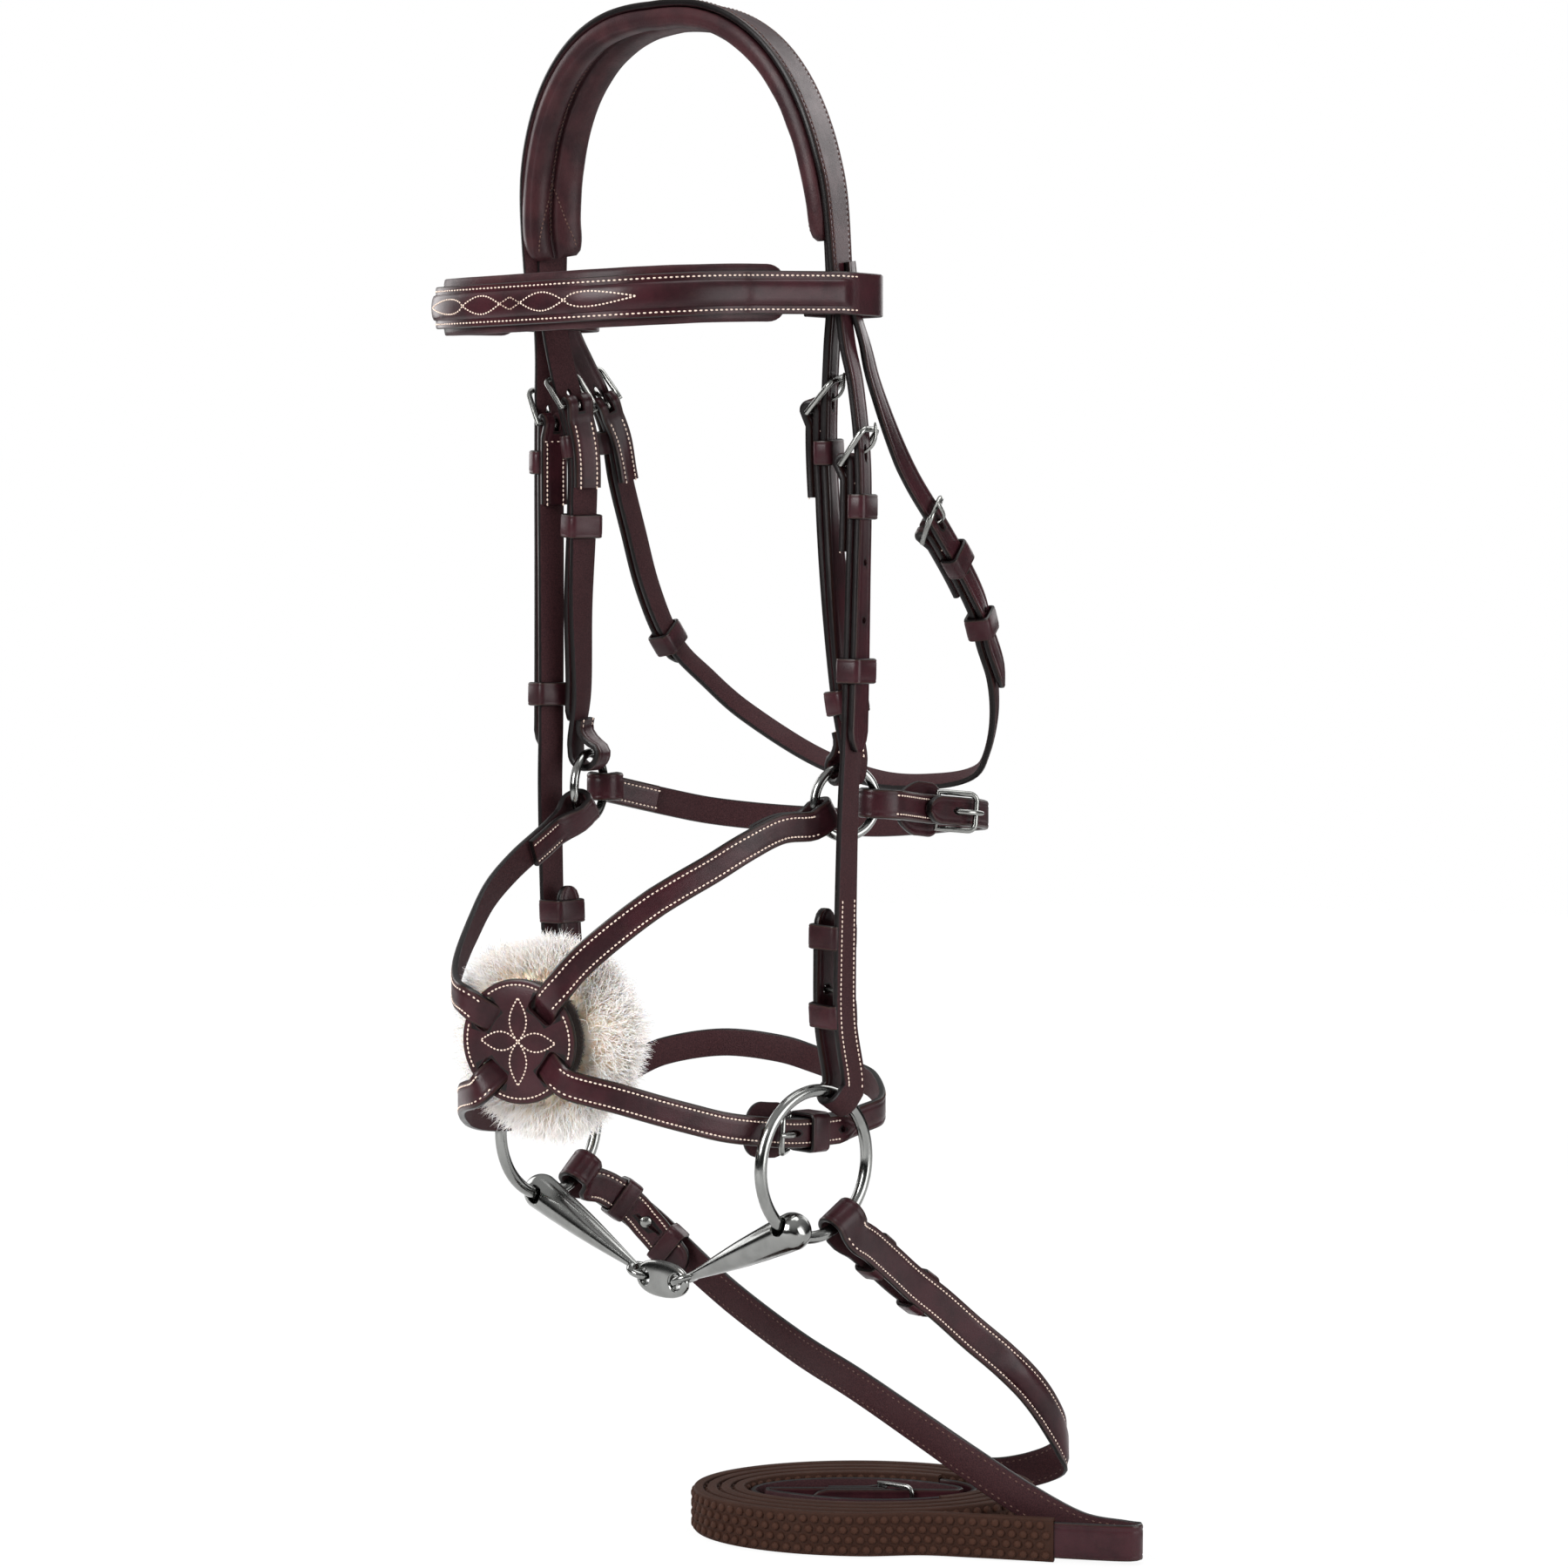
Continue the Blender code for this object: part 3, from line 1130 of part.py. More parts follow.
def browband():
    route = brow_route(0.0)
    stations = run(0.0, route.length, 0.0, BROW_WIDTH, BROW_STEP)
    strap("browband_strap", route, stations, BROW_THICK)
    inner = brow_route(BROW_THICK / 2 + GAP + BROW_PAD_THICK / 2)
    wide = BROW_PAD_WIDTH / 2
    deep = BROW_PAD_THICK / 2
    outline = [(wide * across, deep * lift) for across, lift in BROW_PAD_SHARES]
    count = BROW_STEPS
    sections = []
    for index in range(count + 1):
        share = index / count
        point, _, out, side = inner.frame(inner.length * share)
        pinch = min(1, PINCH_SHARE + (1 - abs(2 * share - 1)) * PINCH_RATE)
        sections.append([point + side * across * pinch + out * lift for across, lift in outline])
    new_object("browband_padding", loft(sections), "padding")


def bit_ring_point(side, angle):
    centre = mirrored([place(BIT_RING_SHARES)], side)[0]
    return on_ring(centre, BIT_RING_YAW, angle, (BIT_RING_OUTER - BIT_RING_WIRE) / 2, side, 0.0)


def mouthpiece():
    """Two cannons that turn on the rings and are hooked through the lozenge between them."""
    bores = [bit_ring_point(side, angle)[0] for (_, side), angle in zip(SIDES, CANNON_ANGLES)]
    level = Vector((bores[0].x - bores[1].x, bores[0].y - bores[1].y, 0)).normalized()
    swing = UP.cross(level)
    middle = (bores[0] + bores[1]) / 2 - UP * CANNON_DROP
    lozenge(middle, level, swing)
    for (label, side), bore, angle in zip(SIDES, bores, CANNON_ANGLES):
        joint = middle + level * side * LOZENGE_PITCH / 2
        cannon(label, side, bore, joint, angle, swing)
    JOINT_NOTES.append(("bit_cannon_left", "hinge", bores[0], swing))
    JOINT_NOTES.append(("bit_lozenge", "hinge", middle + level * LOZENGE_PITCH / 2, swing))
    JOINT_NOTES.append(("bit_cannon_right", "hinge", middle - level * LOZENGE_PITCH / 2, swing))
    JOINT_NOTES.append(("bit_bore_right", "point", bores[1], swing))


def cannon(label, side, bore, joint, angle, swing):
    """One arm: a round head drilled for the ring, a long taper, and an eye in the lozenge."""
    axis = (joint - bore).normalized()
    reach = (joint - bore).length
    neck_end = reach - EYE_RADIUS * 2 + EYE_WIRE / 2
    profile = [(CANNON_HEAD_LENGTH * along, CANNON_HEAD * wide) for along, wide in CANNON_HEAD_SHARES]
    profile += [(neck_end * along, CANNON_HEAD * wide) for along, wide in CANNON_PROFILE_SHARES]
    profile.append((neck_end, CANNON_NECK))
    body = turned(f"bit_cannon_{label}", bore, axis, profile, BALL_SIDES, "steel")
    level = Vector((math.sin(BIT_RING_YAW) * side, math.cos(BIT_RING_YAW), 0))
    tangent = UP * math.cos(angle) - level * math.sin(angle)
    depths = [(-CANNON_HEAD * 2, CANNON_BORE), (CANNON_HEAD * 2, CANNON_BORE)]
    cut(body, turned("drill", bore, tangent, depths, BALL_SIDES, "steel"))
    eye = ring("eye", joint - axis * EYE_RADIUS, axis, swing, EYE_RADIUS, EYE_WIRE, EYE_SIDES, WIRE_SIDES)
    joined(body, eye)


def lozenge(middle, level, swing):
    """The flat link in the middle, rounded at its ends, with a hole near each end."""
    outline = []
    for index in range(LOZENGE_SIDES):
        turn = math.tau * (index + 0.5) / LOZENGE_SIDES
        outline.append(superellipse(turn, LOZENGE_LENGTH / 2, LOZENGE_HEIGHT / 2, LOZENGE_SQUARENESS))
    sections = []
    for depth, scale in LOZENGE_EDGE_SHARES:
        sections.append(
            [middle + (level * x + UP * z) * scale + swing * depth * LOZENGE_THICK / 2 for x, z in outline]
        )
    body = new_object("bit_lozenge", loft(sections), "steel")
    for end in (-1, 1):
        centre = middle + level * LOZENGE_PITCH / 2 * end
        depths = [(-OVERRUN, LOZENGE_HOLE), (OVERRUN, LOZENGE_HOLE)]
        cut(body, turned("drill", centre, swing, depths, BALL_SIDES, "steel"))


def coil_point(angle, arm):
    """A point of one arm of the flat coil, which both reins share and wind clockwise into."""
    inset = COIL_PITCH * (2 * angle / math.tau + (0.5 if arm == 0 else -0.5))
    share = min(max((COIL_FLATS[arm] - angle) / COIL_FADE, 0), 1)
    share = share * share * (3 - 2 * share)
    long = (COIL_HALF_LENGTH - inset) * math.cos(angle)
    wide = (COIL_HALF_DEPTH - inset) * math.sin(angle)
    beside = math.copysign((REIN_THICK + GAP * 2) / 2, wide)
    deep = beside + (wide - beside) * share
    along = Vector((math.cos(COIL_TURN), math.sin(COIL_TURN), 0))
    front = Vector((math.sin(COIL_TURN), -math.cos(COIL_TURN), 0))
    x, y = COIL_SHARES
    centre = Vector((x * HALF_FACE, y * FACE_DEPTH, GRIP_HEIGHT / 2 - FLOOR_DROP - POLL_RISE))
    return centre + along * long + front * deep


def coil_points(arm, first, last):
    count = round((last - first) / math.tau * COIL_STEPS)
    return [coil_point(first + (last - first) * index / count, arm) for index in range(count + 1)]


def sleeve(name, route, stations):
    """The rubber grip round the leather, open at its ends."""
    inner = (REIN_WIDTH / 2 + GAP, REIN_THICK / 2 + GAP)
    outer = (GRIP_HEIGHT / 2, GRIP_THICK / 2)
    rings = []
    for station in stations:
        point, _, out, side = route.frame(station.along)
        rings.append([
            [point + side * half[0] * first + out * half[1] * second for first, second in CORNERS]
            for half in (outer, inner)
        ])
    mesh = bmesh.new()
    grid = [[[mesh.verts.new(corner) for corner in loop] for loop in pair] for pair in rings]
    rows = [(before[loop], after[loop]) for before, after in zip(grid, grid[1:]) for loop in (0, 1)]
    for first, second in rows + [grid[0], grid[-1]]:
        for corner in range(4):
            ahead = (corner + 1) % 4
            mesh.faces.new((first[corner], first[ahead], second[ahead], second[corner]))
    return new_object(name, mesh, "rubber")


def least_gap(route, start, thick, spacing):
    """The least distance between two turns of a coiled strap, less its thickness."""
    marks = [start + (route.length - start) * index / GAP_SAMPLES for index in range(GAP_SAMPLES + 1)]
    points = [route.centre(mark) for mark in marks]
    least = min(
        (points[first] - points[second]).length
        for first in range(0, GAP_SAMPLES, 2)
        for second in range(GAP_SAMPLES)
        if abs(marks[first] - marks[second]) > spacing
    )
    return least - thick


def rein_route(side, arm, shares):
    rim = (BIT_RING_OUTER - BIT_RING_WIRE) / 2
    leave = ring_leave(BIT_RING_SHARES, BIT_RING_YAW, REIN_ANGLES[arm], rim, side, REIN_FOLD_RADIUS)
    free = leave + [place(item) for item in shares]
    return Route(free + coil_points(arm, COIL_STARTS[arm], COIL_ENDS[arm]), facing_level(side))


def rein(label, route, arm):
    """One rein from its hooked end on the bit ring into the coil, with its rubber grip."""
    back = fold_end(0.0, 1, 0.0, REIN_FOLD_RADIUS, REIN_WIDTH, REIN_RETURN, -REIN_RETURN_DROP)
    if arm == 0:
        radius = buckle_lift(REIN_BUCKLE_WIRE, REIN_THICK)
        under = -REIN_THICK - GAP
        end = list(reversed(fold_end(route.length, -1, 0.0, radius, REIN_WIDTH, REIN_CHAPE_BACK, under)))
        last = route.length - STRAP_STEP / 2
    else:
        end = tip(route.length, 1, 0.0, REIN_WIDTH)
        last = route.length - TIP_LENGTH * 2
    body = run(STRAP_STEP / 2, last, 0.0, REIN_WIDTH, COIL_STEP)
    piece = strap(f"rein_{label}", route, back + body + end, REIN_THICK)
    low = -REIN_RETURN_DROP - REIN_THICK / 2 - GAP
    high = -keeper_foot(REIN_THICK)
    for share in REIN_KEEPER_SHARES:
        joined(piece, keeper("keeper", route, REIN_RETURN * share, REIN_WIDTH, low, high, REIN_KEEPER_HEIGHT))
    cut(piece, hole_cutter(route, STUD_SPACING, STUD_HOLE, STUD_HOLE, -REIN_RETURN_DROP))
    base = -REIN_THICK / 2 - GAP * 3
    hook_stud(f"rein_hook_stud_{label}", route, STUD_SPACING, base, -REIN_RETURN_DROP, REIN_THICK)
    coiled = route.nearest(coil_point(COIL_STARTS[arm], arm))
    first = coiled + COIL_STEP
    last = route.nearest(coil_point(GRIP_ENDS[arm], arm))
    sleeve(f"rein_grip_{label}", route, [station for station in body if first <= station.along <= last])
    gap = least_gap(route, coiled, GRIP_THICK, STRAP_STEP * 8)
    print(f"rein {label}: length {route.length:.3f} m, least gap in its coil {gap:.5f} m")
    return piece


def rein_buckle(near, near_route, off, off_route):
    """The buckle that joins the two reins at the middle of the coil."""
    wire = REIN_BUCKLE_WIRE
    cut(near, tongue_slot(near_route, near_route.length, -1, 0.0, wire, REIN_THICK))
    over = off_route.nearest(near_route.points[-1])
    cut(off, tongue_hole(off_route, over, 1, 0.0))
    buckle_set("rein_centre", "", near_route, near_route.length, -1, REIN_WIDTH, 0.0, wire, REIN_THICK)


def set_joints():
    """Puts each moving piece's origin on its joint, and says where it turns or slides in the world."""
    for name, kind, point, axis in JOINT_NOTES:
        if name in bpy.data.objects:
            piece = bpy.data.objects[name]
            piece.data.transform(Matrix.Translation(-point))
            piece.location = point
        where = ", ".join(f"{value:.6f}" for value in point)
        way = ", ".join(f"{value:.6f}" for value in axis)
        print(f"joint {name} {kind} at {where} along {way}")


def build():
    clear_scene()
    cheeks = cheek_route()
    hangers = hanger_route()
    throat = throat_route()
    for index, (label, side) in enumerate(SIDES):
        cheek_side(cheeks, label, side, index)
        hanger_side(hangers, label, side, index)
    crown(cheeks, throat)
    padding()
    headstrap(hangers)
    ring_set("noseband_ring", NOSE_RING_SHARES, NOSE_RING_YAW, NOSE_RING_OUTER, NOSE_RING_WIRE, NOSE_RING_SIDES)
    ring_set("bit_ring", BIT_RING_SHARES, BIT_RING_YAW, BIT_RING_OUTER, BIT_RING_WIRE, BIT_RING_SIDES)
    cross_straps()
    nose_front()
    jowl()
    throatlatch(throat)
    browband()
    mouthpiece()
    near_route = rein_route(LEFT, 0, NEAR_REIN_SHARES)
    off_route = rein_route(RIGHT, 1, OFF_REIN_SHARES)
    rein_buckle(rein("left", near_route, 0), near_route, rein("right", off_route, 1), off_route)
    set_joints()


build()
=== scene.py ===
import json
import math
import random
from bisect import bisect_left
from collections import namedtuple

import bmesh
import bpy
from mathutils import Matrix, Vector, noise

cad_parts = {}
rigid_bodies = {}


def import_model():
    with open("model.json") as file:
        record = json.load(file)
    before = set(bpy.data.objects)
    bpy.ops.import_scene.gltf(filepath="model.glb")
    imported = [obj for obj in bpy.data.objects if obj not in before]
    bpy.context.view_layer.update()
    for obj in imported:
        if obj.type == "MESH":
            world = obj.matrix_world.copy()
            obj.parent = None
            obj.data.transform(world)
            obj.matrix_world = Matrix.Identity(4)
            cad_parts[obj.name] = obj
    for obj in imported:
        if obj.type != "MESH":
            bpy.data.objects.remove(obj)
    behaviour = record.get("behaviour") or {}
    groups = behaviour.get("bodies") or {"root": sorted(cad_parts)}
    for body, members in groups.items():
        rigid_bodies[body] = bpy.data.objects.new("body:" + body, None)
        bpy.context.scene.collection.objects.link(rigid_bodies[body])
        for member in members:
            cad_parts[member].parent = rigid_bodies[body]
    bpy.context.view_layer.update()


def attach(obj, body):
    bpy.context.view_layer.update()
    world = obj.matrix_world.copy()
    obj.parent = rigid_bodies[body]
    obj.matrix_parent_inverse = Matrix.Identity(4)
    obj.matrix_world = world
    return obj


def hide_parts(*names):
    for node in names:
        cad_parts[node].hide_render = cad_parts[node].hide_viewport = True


for item in list(bpy.data.objects):
    bpy.data.objects.remove(item, do_unlink=True)
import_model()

HALF_FACE = 0.100
FACE_DEPTH = 0.100
BRIDLE_DROP = 0.500
POLL_RISE = 0.007
GAP = 0.0004
REST_GAP = 0.0012
STRAP_STEP = 0.012
FOLD_STEPS = 14
ROUTE_SUBSTEPS = 12
STRAP_WIDTH = 0.013
STRAP_THICK = 0.0032
LAYER = STRAP_THICK + GAP
THROAT_WIDTH = 0.011
CROWN_WIDTH = 0.026
CROWN_LEG_WIDTH = 0.020
CROWN_THICK = 0.0030
THROAT_BILLET_THICK = 0.0026
THROAT_LIFT = 0.0040
BROW_WIDTH = 0.0185
BROW_THICK = 0.0036
BROW_PAD_WIDTH = 0.0235
BROW_PAD_THICK = 0.0055
PAD_WIDTH = 0.028
PAD_THICK = 0.0030
PAD_ROLL = 0.0022
PAD_CHANNEL = 0.0176
PAD_TOP_SHARE = 0.95
TIP_LENGTH = 0.009
TIP_SHARES = ((1.0, 1.0), (0.55, 0.86), (0.15, 0.52), (0.0, 0.30))
ARCH_HALF = 0.0835
ARCH_RISE = 0.1070
ARCH_SQUARENESS = 2.40
ARCH_SIDES = 18
ARCH_SETBACK = -0.0036
ARCH_LEAN_SHARE = 0.10
LEG_TURN = math.radians(18)
LEG_TURN_END_DROP = 0.200
PAD_END_DROP = 0.090
PAD_LEG_SHARE = 0.985
CROWN_TAPER_START_SHARE = 0.35
SPLIT_DROPS = (0.112, 0.112)
KEEPER_WALL = 0.0016
KEEPER_HEIGHT = 0.011
RUNNER_HEIGHT = 0.011
BUCKLE_WIRE = 0.0026
BUCKLE_REACH = 0.0145
BUCKLE_CORNER = 0.0032
TONGUE_WIDTH = 0.0022
TONGUE_THICK = 0.0014
TONGUE_OVERHANG = 0.0015
TONGUE_EYE_ANGLES = [math.radians(angle) for angle in (-70, -110, -150, -190, -230, -270)]
TONGUE_CLIMB_SHARES = ((0.12, 0.04), (0.24, 0.28), (0.38, 0.62), (0.52, 0.85), (0.74, 0.98), (1.0, 1.0))
TONGUE_HOLE_MIDDLE_SHARE = 0.30
TONGUE_HOLE_REACH_SHARE = 0.27
HOLE_RADIUS = 0.0015
HOLE_PITCH = 0.025
CHEEK_HOLE_START = 0.0425
CHIN_HOLE_BACK = 0.0225
CHIN_HOLE_START = 0.01375
CHIN_HOLE_PITCH = 0.0125
JOWL_HOLE_START = 0.030
CHAPE_BACK = 0.038
CHAPE_FLARE = 0.009
NOSE_RING_OUTER = 0.035
NOSE_RING_WIRE = 0.0042
NOSE_RING_YAW = math.radians(19)
NOSE_RING_SHARES = (0.806, 0.13, 0.668)
NOSE_FOLD_RADIUS = 0.0069
HANGER_ANGLE = math.radians(90)
CROSS_ANGLES = (math.radians(205), math.radians(224))
JOWL_ANGLE = math.radians(-4)
BIT_RING_OUTER = 0.070
BIT_RING_WIRE = 0.0055
BIT_RING_YAW = math.radians(3)
BIT_RING_SHARES = (0.837, -0.106, 0.982)
BIT_FOLD_RADIUS = 0.0060
REIN_FOLD_RADIUS = 0.0064
CHEEK_ANGLE = math.radians(63)
REIN_ANGLES = (math.radians(-58), math.radians(-50))
CANNON_ANGLES = (math.radians(-118), math.radians(-96))
CANNON_DROP = 0.030
CANNON_BORE = 0.0042
CANNON_HEAD = 0.0085
CANNON_HEAD_LENGTH = 0.0105
CANNON_NECK = 0.0018
CANNON_HEAD_SHARES = ((-0.92, 0.42), (-0.74, 0.74), (-0.40, 0.96))
CANNON_PROFILE_SHARES = ((0.0, 0.98), (0.20, 0.88), (0.45, 0.72), (0.70, 0.50), (0.90, 0.30))
EYE_WIRE = 0.0034
EYE_RADIUS = 0.0050
LOZENGE_LENGTH = 0.034
LOZENGE_HEIGHT = 0.0165
LOZENGE_THICK = 0.0046
LOZENGE_PITCH = 0.0210
LOZENGE_HOLE = 0.0037
LOZENGE_SQUARENESS = 2.3
DISC_SHARES = (0.147, -1.234, 0.866)
DISC_YAW = math.radians(19.5)
DISC_RADIUS = 0.0270
DISC_THICK = 0.0025
SLOT_CENTRE = 0.0190
SLOT_LENGTH = 0.0080
SLOT_SPARE = 0.0008
UPPER_CROSS_ANGLE = math.radians(50)
LOWER_CROSS_ANGLE = math.radians(-35)
BACKING_RADIUS = 0.0280
FLEECE_RADIUS = 0.0450
FLEECE_SHIFT = 0.004
FLEECE_THICK = 0.0150
FLEECE_PROFILE_SHARES = ((0.0, 0.0), (0.55, 0.02), (0.82, 0.10), (0.96, 0.32), (1.0, 0.56), (0.93, 0.80),
                         (0.72, 0.94), (0.40, 1.0), (0.0, 1.0))
DISC_FLAT_SHARES = (-1.15, -1.0, -0.5, 0.0, 0.5, 1.0, 1.15)
SAFE_WIDTH = 0.0245
SAFE_LENGTH = 0.030
SAFE_THICK = 0.0020
SAFE_SHARES = ((0.0, 0.55), (0.12, 0.75), (0.35, 1.0), (0.72, 1.0), (0.88, 0.86), (0.97, 0.6), (1.0, 0.3))
STUD_SHANK = 0.0012
STUD_HOLE = 0.0024
STUD_HEAD = 0.0026
STUD_HEAD_THICK = 0.0014
RETURN_DROP = 0.0116
REIN_RETURN_DROP = 0.0080
CHEEK_RETURN = 0.084
CHEEK_KEEPER_SHARES = (0.45, 0.86)
REIN_RETURN = 0.082
REIN_KEEPER_SHARES = (0.38, 0.80)
REIN_KEEPER_HEIGHT = 0.009
REIN_CHAPE_BACK = 0.023
STUD_SPACING = 0.048
CHEEK_BUCKLE_DROPS = (0.186, 0.164)
CHEEK_RUNNER_DROPS = (0.276, 0.290)
CHEEK_TIP_DROPS = (0.311, 0.318)
HANGER_BUCKLE_DROPS = (0.163, 0.158)
HANGER_RUNNER_DROPS = (0.289, 0.214)
HANGER_RETURN = 0.017
HANGER_TIP_DROPS = (0.302, 0.304)
KEEPER_SETBACK = 0.0185
THROAT_BUCKLE_DROPS = (0.2150, 0.1560)
THROAT_TIP_DROPS = (0.2870, 0.2750)
THROAT_RUNNER_DROPS = (0.2580, 0.2660)
CHIN_BUCKLE_SHARES = (0.763, -0.12, 0.957)
CHIN_TIP = 0.034
CHIN_KEEPER_SETBACK = 0.0104
JOWL_BUCKLE_SETBACK = 0.060
JOWL_TIP_SETBACK = 0.030
JOWL_CHAPE_BACK = 0.016
BROW_HALF = 0.0880
BROW_SAG = 0.0050
BROW_REACH = 0.1080
BROW_SQUARENESS = 3.0
BROW_DROP = 0.1140
BROW_STEPS = 26
BROW_STEP = 0.0096
BROW_PAD_SHARES = ((-1.0, 0.3), (-0.8, -0.8), (0.0, -1.0), (0.8, -0.8), (1.0, 0.3), (0.92, 1.0), (-0.92, 1.0))
BROW_LOOP_HALF = 0.0132
BROW_LOOP_REACH = 0.0187
BROW_LOOP_MIDDLE = 0.0878
BROW_LOOP_SETBACK = 0.0017
BROW_LOOP_SQUARENESS = 3.4
BROW_SIDE = 0.030
BROW_PAD_SIDE = 0.022
BROW_LOOP_STEPS = 11
BROW_CURVE_START = math.radians(-45)
BROW_CURVE_END = math.radians(200)
REIN_WIDTH = 0.0160
REIN_THICK = 0.0024
GRIP_HEIGHT = 0.0192
GRIP_THICK = 0.0050
COIL_STEP = 0.0112
FLOOR_DROP = 0.6651
COIL_SHARES = (0.638, 0.445)
COIL_TURN = math.radians(43)
COIL_HALF_LENGTH = 0.0780
COIL_HALF_DEPTH = 0.0510
COIL_PITCH = 0.0062
COIL_STEPS = 18
COIL_STARTS = (math.radians(-50), math.radians(72))
COIL_ENDS = (math.radians(1000), math.radians(1211))
COIL_FLATS = (math.radians(937), math.radians(1138))
COIL_FADE = math.radians(140)
GRIP_ENDS = (math.radians(690), math.radians(780))
REIN_BUCKLE_WIRE = 0.0022
CHEEK_PATH = (
    (905, 20, 860), (920, 0, 800), (935, 0, 680), (943, 15, 600), (950, 25, 480), (954, 29, 380),
    (930, 10, 310), (900, -15, 270), (888, -36, 226),
)
HANGER_PATH = (
    (825, 100, 580), (792, 65, 500), (757, 50, 420), (745, 40, 360), (775, 10, 315), (815, -20, 270),
    (845, -36, 226),
)
NEAR_CROSS_PATH = (
    (790, -263, 688), (764, -449, 701), (704, -609, 719), (634, -758, 736), (551, -894, 755), (464, -990, 776),
    (380, -1090, 797),
)
OFF_CROSS_PATH = (
    (-778, -196, 714), (-730, -423, 735), (-660, -640, 758), (-550, -850, 786), (-385, -1094, 812),
    (-215, -1262, 829),
)
CHIN_NEAR_PATH = (
    (500, -1010, 910), (573, -860, 922), (647, -693, 933), (705, -530, 943), (741, -343, 950), (757, -135, 956),
    (763, 96, 958), (765, 240, 957), (690, 500, 950), (450, 720, 938), (245, 795, 932),
)
CHIN_OFF_PATH = (
    (-38, 852, 925), (-227, 807, 917), (-493, 713, 914), (-653, 510, 920), (-730, 360, 932), (-765, 80, 957),
    (-750, -270, 966), (-640, -680, 958), (-470, -980, 940), (-240, -1210, 920),
)
JOWL_PATH = (
    (890, 550, 677), (883, 721, 681), (837, 943, 686), (700, 1130, 692), (430, 1250, 698), (259, 1290, 702),
    (-63, 1318, 708), (-350, 1263, 708), (-579, 1108, 705), (-742, 881, 698), (-830, 660, 688),
)
THROAT_NEAR_PATH = (
    (884, 10, 200), (888, 40, 240), (885, 110, 272), (880, 180, 305), (860, 328, 350), (845, 477, 387),
    (830, 680, 427), (805, 880, 466), (785, 1010, 496), (770, 1087, 525), (745, 1196, 560), (700, 1269, 600),
    (630, 1300, 636), (550, 1300, 655), (350, 1260, 664), (50, 1200, 664),
)
THROAT_OFF_PATH = (
    (-300, 1137, 644), (-620, 987, 602), (-740, 837, 568), (-790, 725, 545), (-805, 630, 519), (-820, 536, 477),
    (-835, 470, 431), (-850, 402, 382), (-860, 362, 340), (-873, 284, 306), (-881, 195, 280), (-885, 98, 249),
    (-884, 10, 200),
)
THROAT_CENTRE_SHARES = (0.0, 0.40, 0.40)
THROAT_START_SHARES = (0.0, -0.26, 0.40)
THROAT_TURN_DROPS = (0.115, 0.185)
NEAR_REIN_PATH = (
    (900, 200, 1060), (886, 360, 1082), (881, 510, 1104), (900, 675, 1128), (936, 846, 1157), (987, 1002, 1184),
    (1030, 1138, 1211), (1050, 1253, 1239), (1041, 1354, 1267), (988, 1414, 1289), (860, 1404, 1303),
    (720, 1330, 1311), (620, 1240, 1311), (570, 1140, 1311), (610, 1060, 1311),
)
OFF_REIN_PATH = (
    (-870, 270, 1050), (-775, 456, 1083), (-603, 559, 1117), (-295, 573, 1151), (157, 530, 1183),
    (556, 477, 1203), (907, 463, 1227), (1207, 498, 1254), (1460, 580, 1282), (1690, 686, 1305),
    (1864, 795, 1311), (1935, 808, 1311), (1925, 735, 1311), (1740, 612, 1311), (1545, 498, 1311),
    (1343, 378, 1311),
)
FINE = 0.003
ROUND_ENDS = 0.62
CREASE_INSET = 0.0024
CREASE_WIDTH = 0.0006
CREASE_DEPTH = 0.00018
STITCH_PITCH = 0.0021
STITCH_LENGTH = 0.00165
STITCH_WIDE = 0.00082
STITCH_HIGH = 0.00066
STITCH_INSET = 0.0024
STITCH_SUNK = 0.00002
CHAPE_ROWS_BACK = 0.010
CROSS_ROW_BACK = 0.0085
SHARP = math.radians(42)
BROW_BASE = 0.0017
BROW_STEP_UP = 0.0006
BROW_RIM = 0.0036
ROLL_SHARES = (
    (-0.97, 0.35), (-0.90, -0.50), (-0.68, -1.0), (-0.42, -0.85), (-0.24, -0.20), (-0.15, 0.80),
    (-0.05, 0.80), (0.05, -0.10), (0.30, -0.70), (0.62, -0.75), (0.88, -0.30), (0.97, 0.35),
)
RAISED_START = 0.120
REIN_DOME = 0.0021
OFF_GRIP_LEAD = 0.060
PIMPLE_PITCH = 0.0050
PIMPLE_RADIUS = 0.00195
PIMPLE_HEIGHT = 0.0013
PIMPLE_ROWS = (-0.0066, -0.0022, 0.0022, 0.0066)
VIEW_AZIMUTH = math.radians(43)
VIEW_ELEVATION = math.radians(3.6)
VIEW_DISTANCE = 1.750
VIEW_TARGET = Vector((0.02984, 0.02783, -0.336))
FLOOR_LEVEL = -0.6726
HAVANA = (0.0365, 0.0097, 0.0132)
HAVANA_DEEP = (0.0185, 0.0051, 0.0070)
FLESH = (0.042, 0.0138, 0.0156)
EDGE_INK = (0.0050, 0.0036, 0.0038)
CREAM = (0.92, 0.75, 0.64)
BROWN_THREAD = (0.105, 0.046, 0.034)
STEEL = (0.245, 0.248, 0.240)
RUBBER = (0.033, 0.0118, 0.0064)
LEFT = 1
RIGHT = -1
SIDES = (("left", LEFT), ("right", RIGHT))
UP = Vector((0, 0, 1))
Station = namedtuple("Station", "along lift low high")


def place(shares):
    """A point of the head from its shares of the face's half width, depth and the bridle's drop."""
    x, y, z = shares
    return Vector((x * HALF_FACE, y * FACE_DEPTH, -z * BRIDLE_DROP - POLL_RISE))


def through(path):
    """The points of a path, which is given in thousandths of the same three lengths."""
    return [place([share / 1000 for share in point]) for point in path]


def polar(first, second, turn):
    """The way at this turn from the first way towards the second."""
    return first * math.cos(turn) + second * math.sin(turn)


def turns(count):
    """Equal turns round a circle."""
    return [math.tau * step / count for step in range(count)]


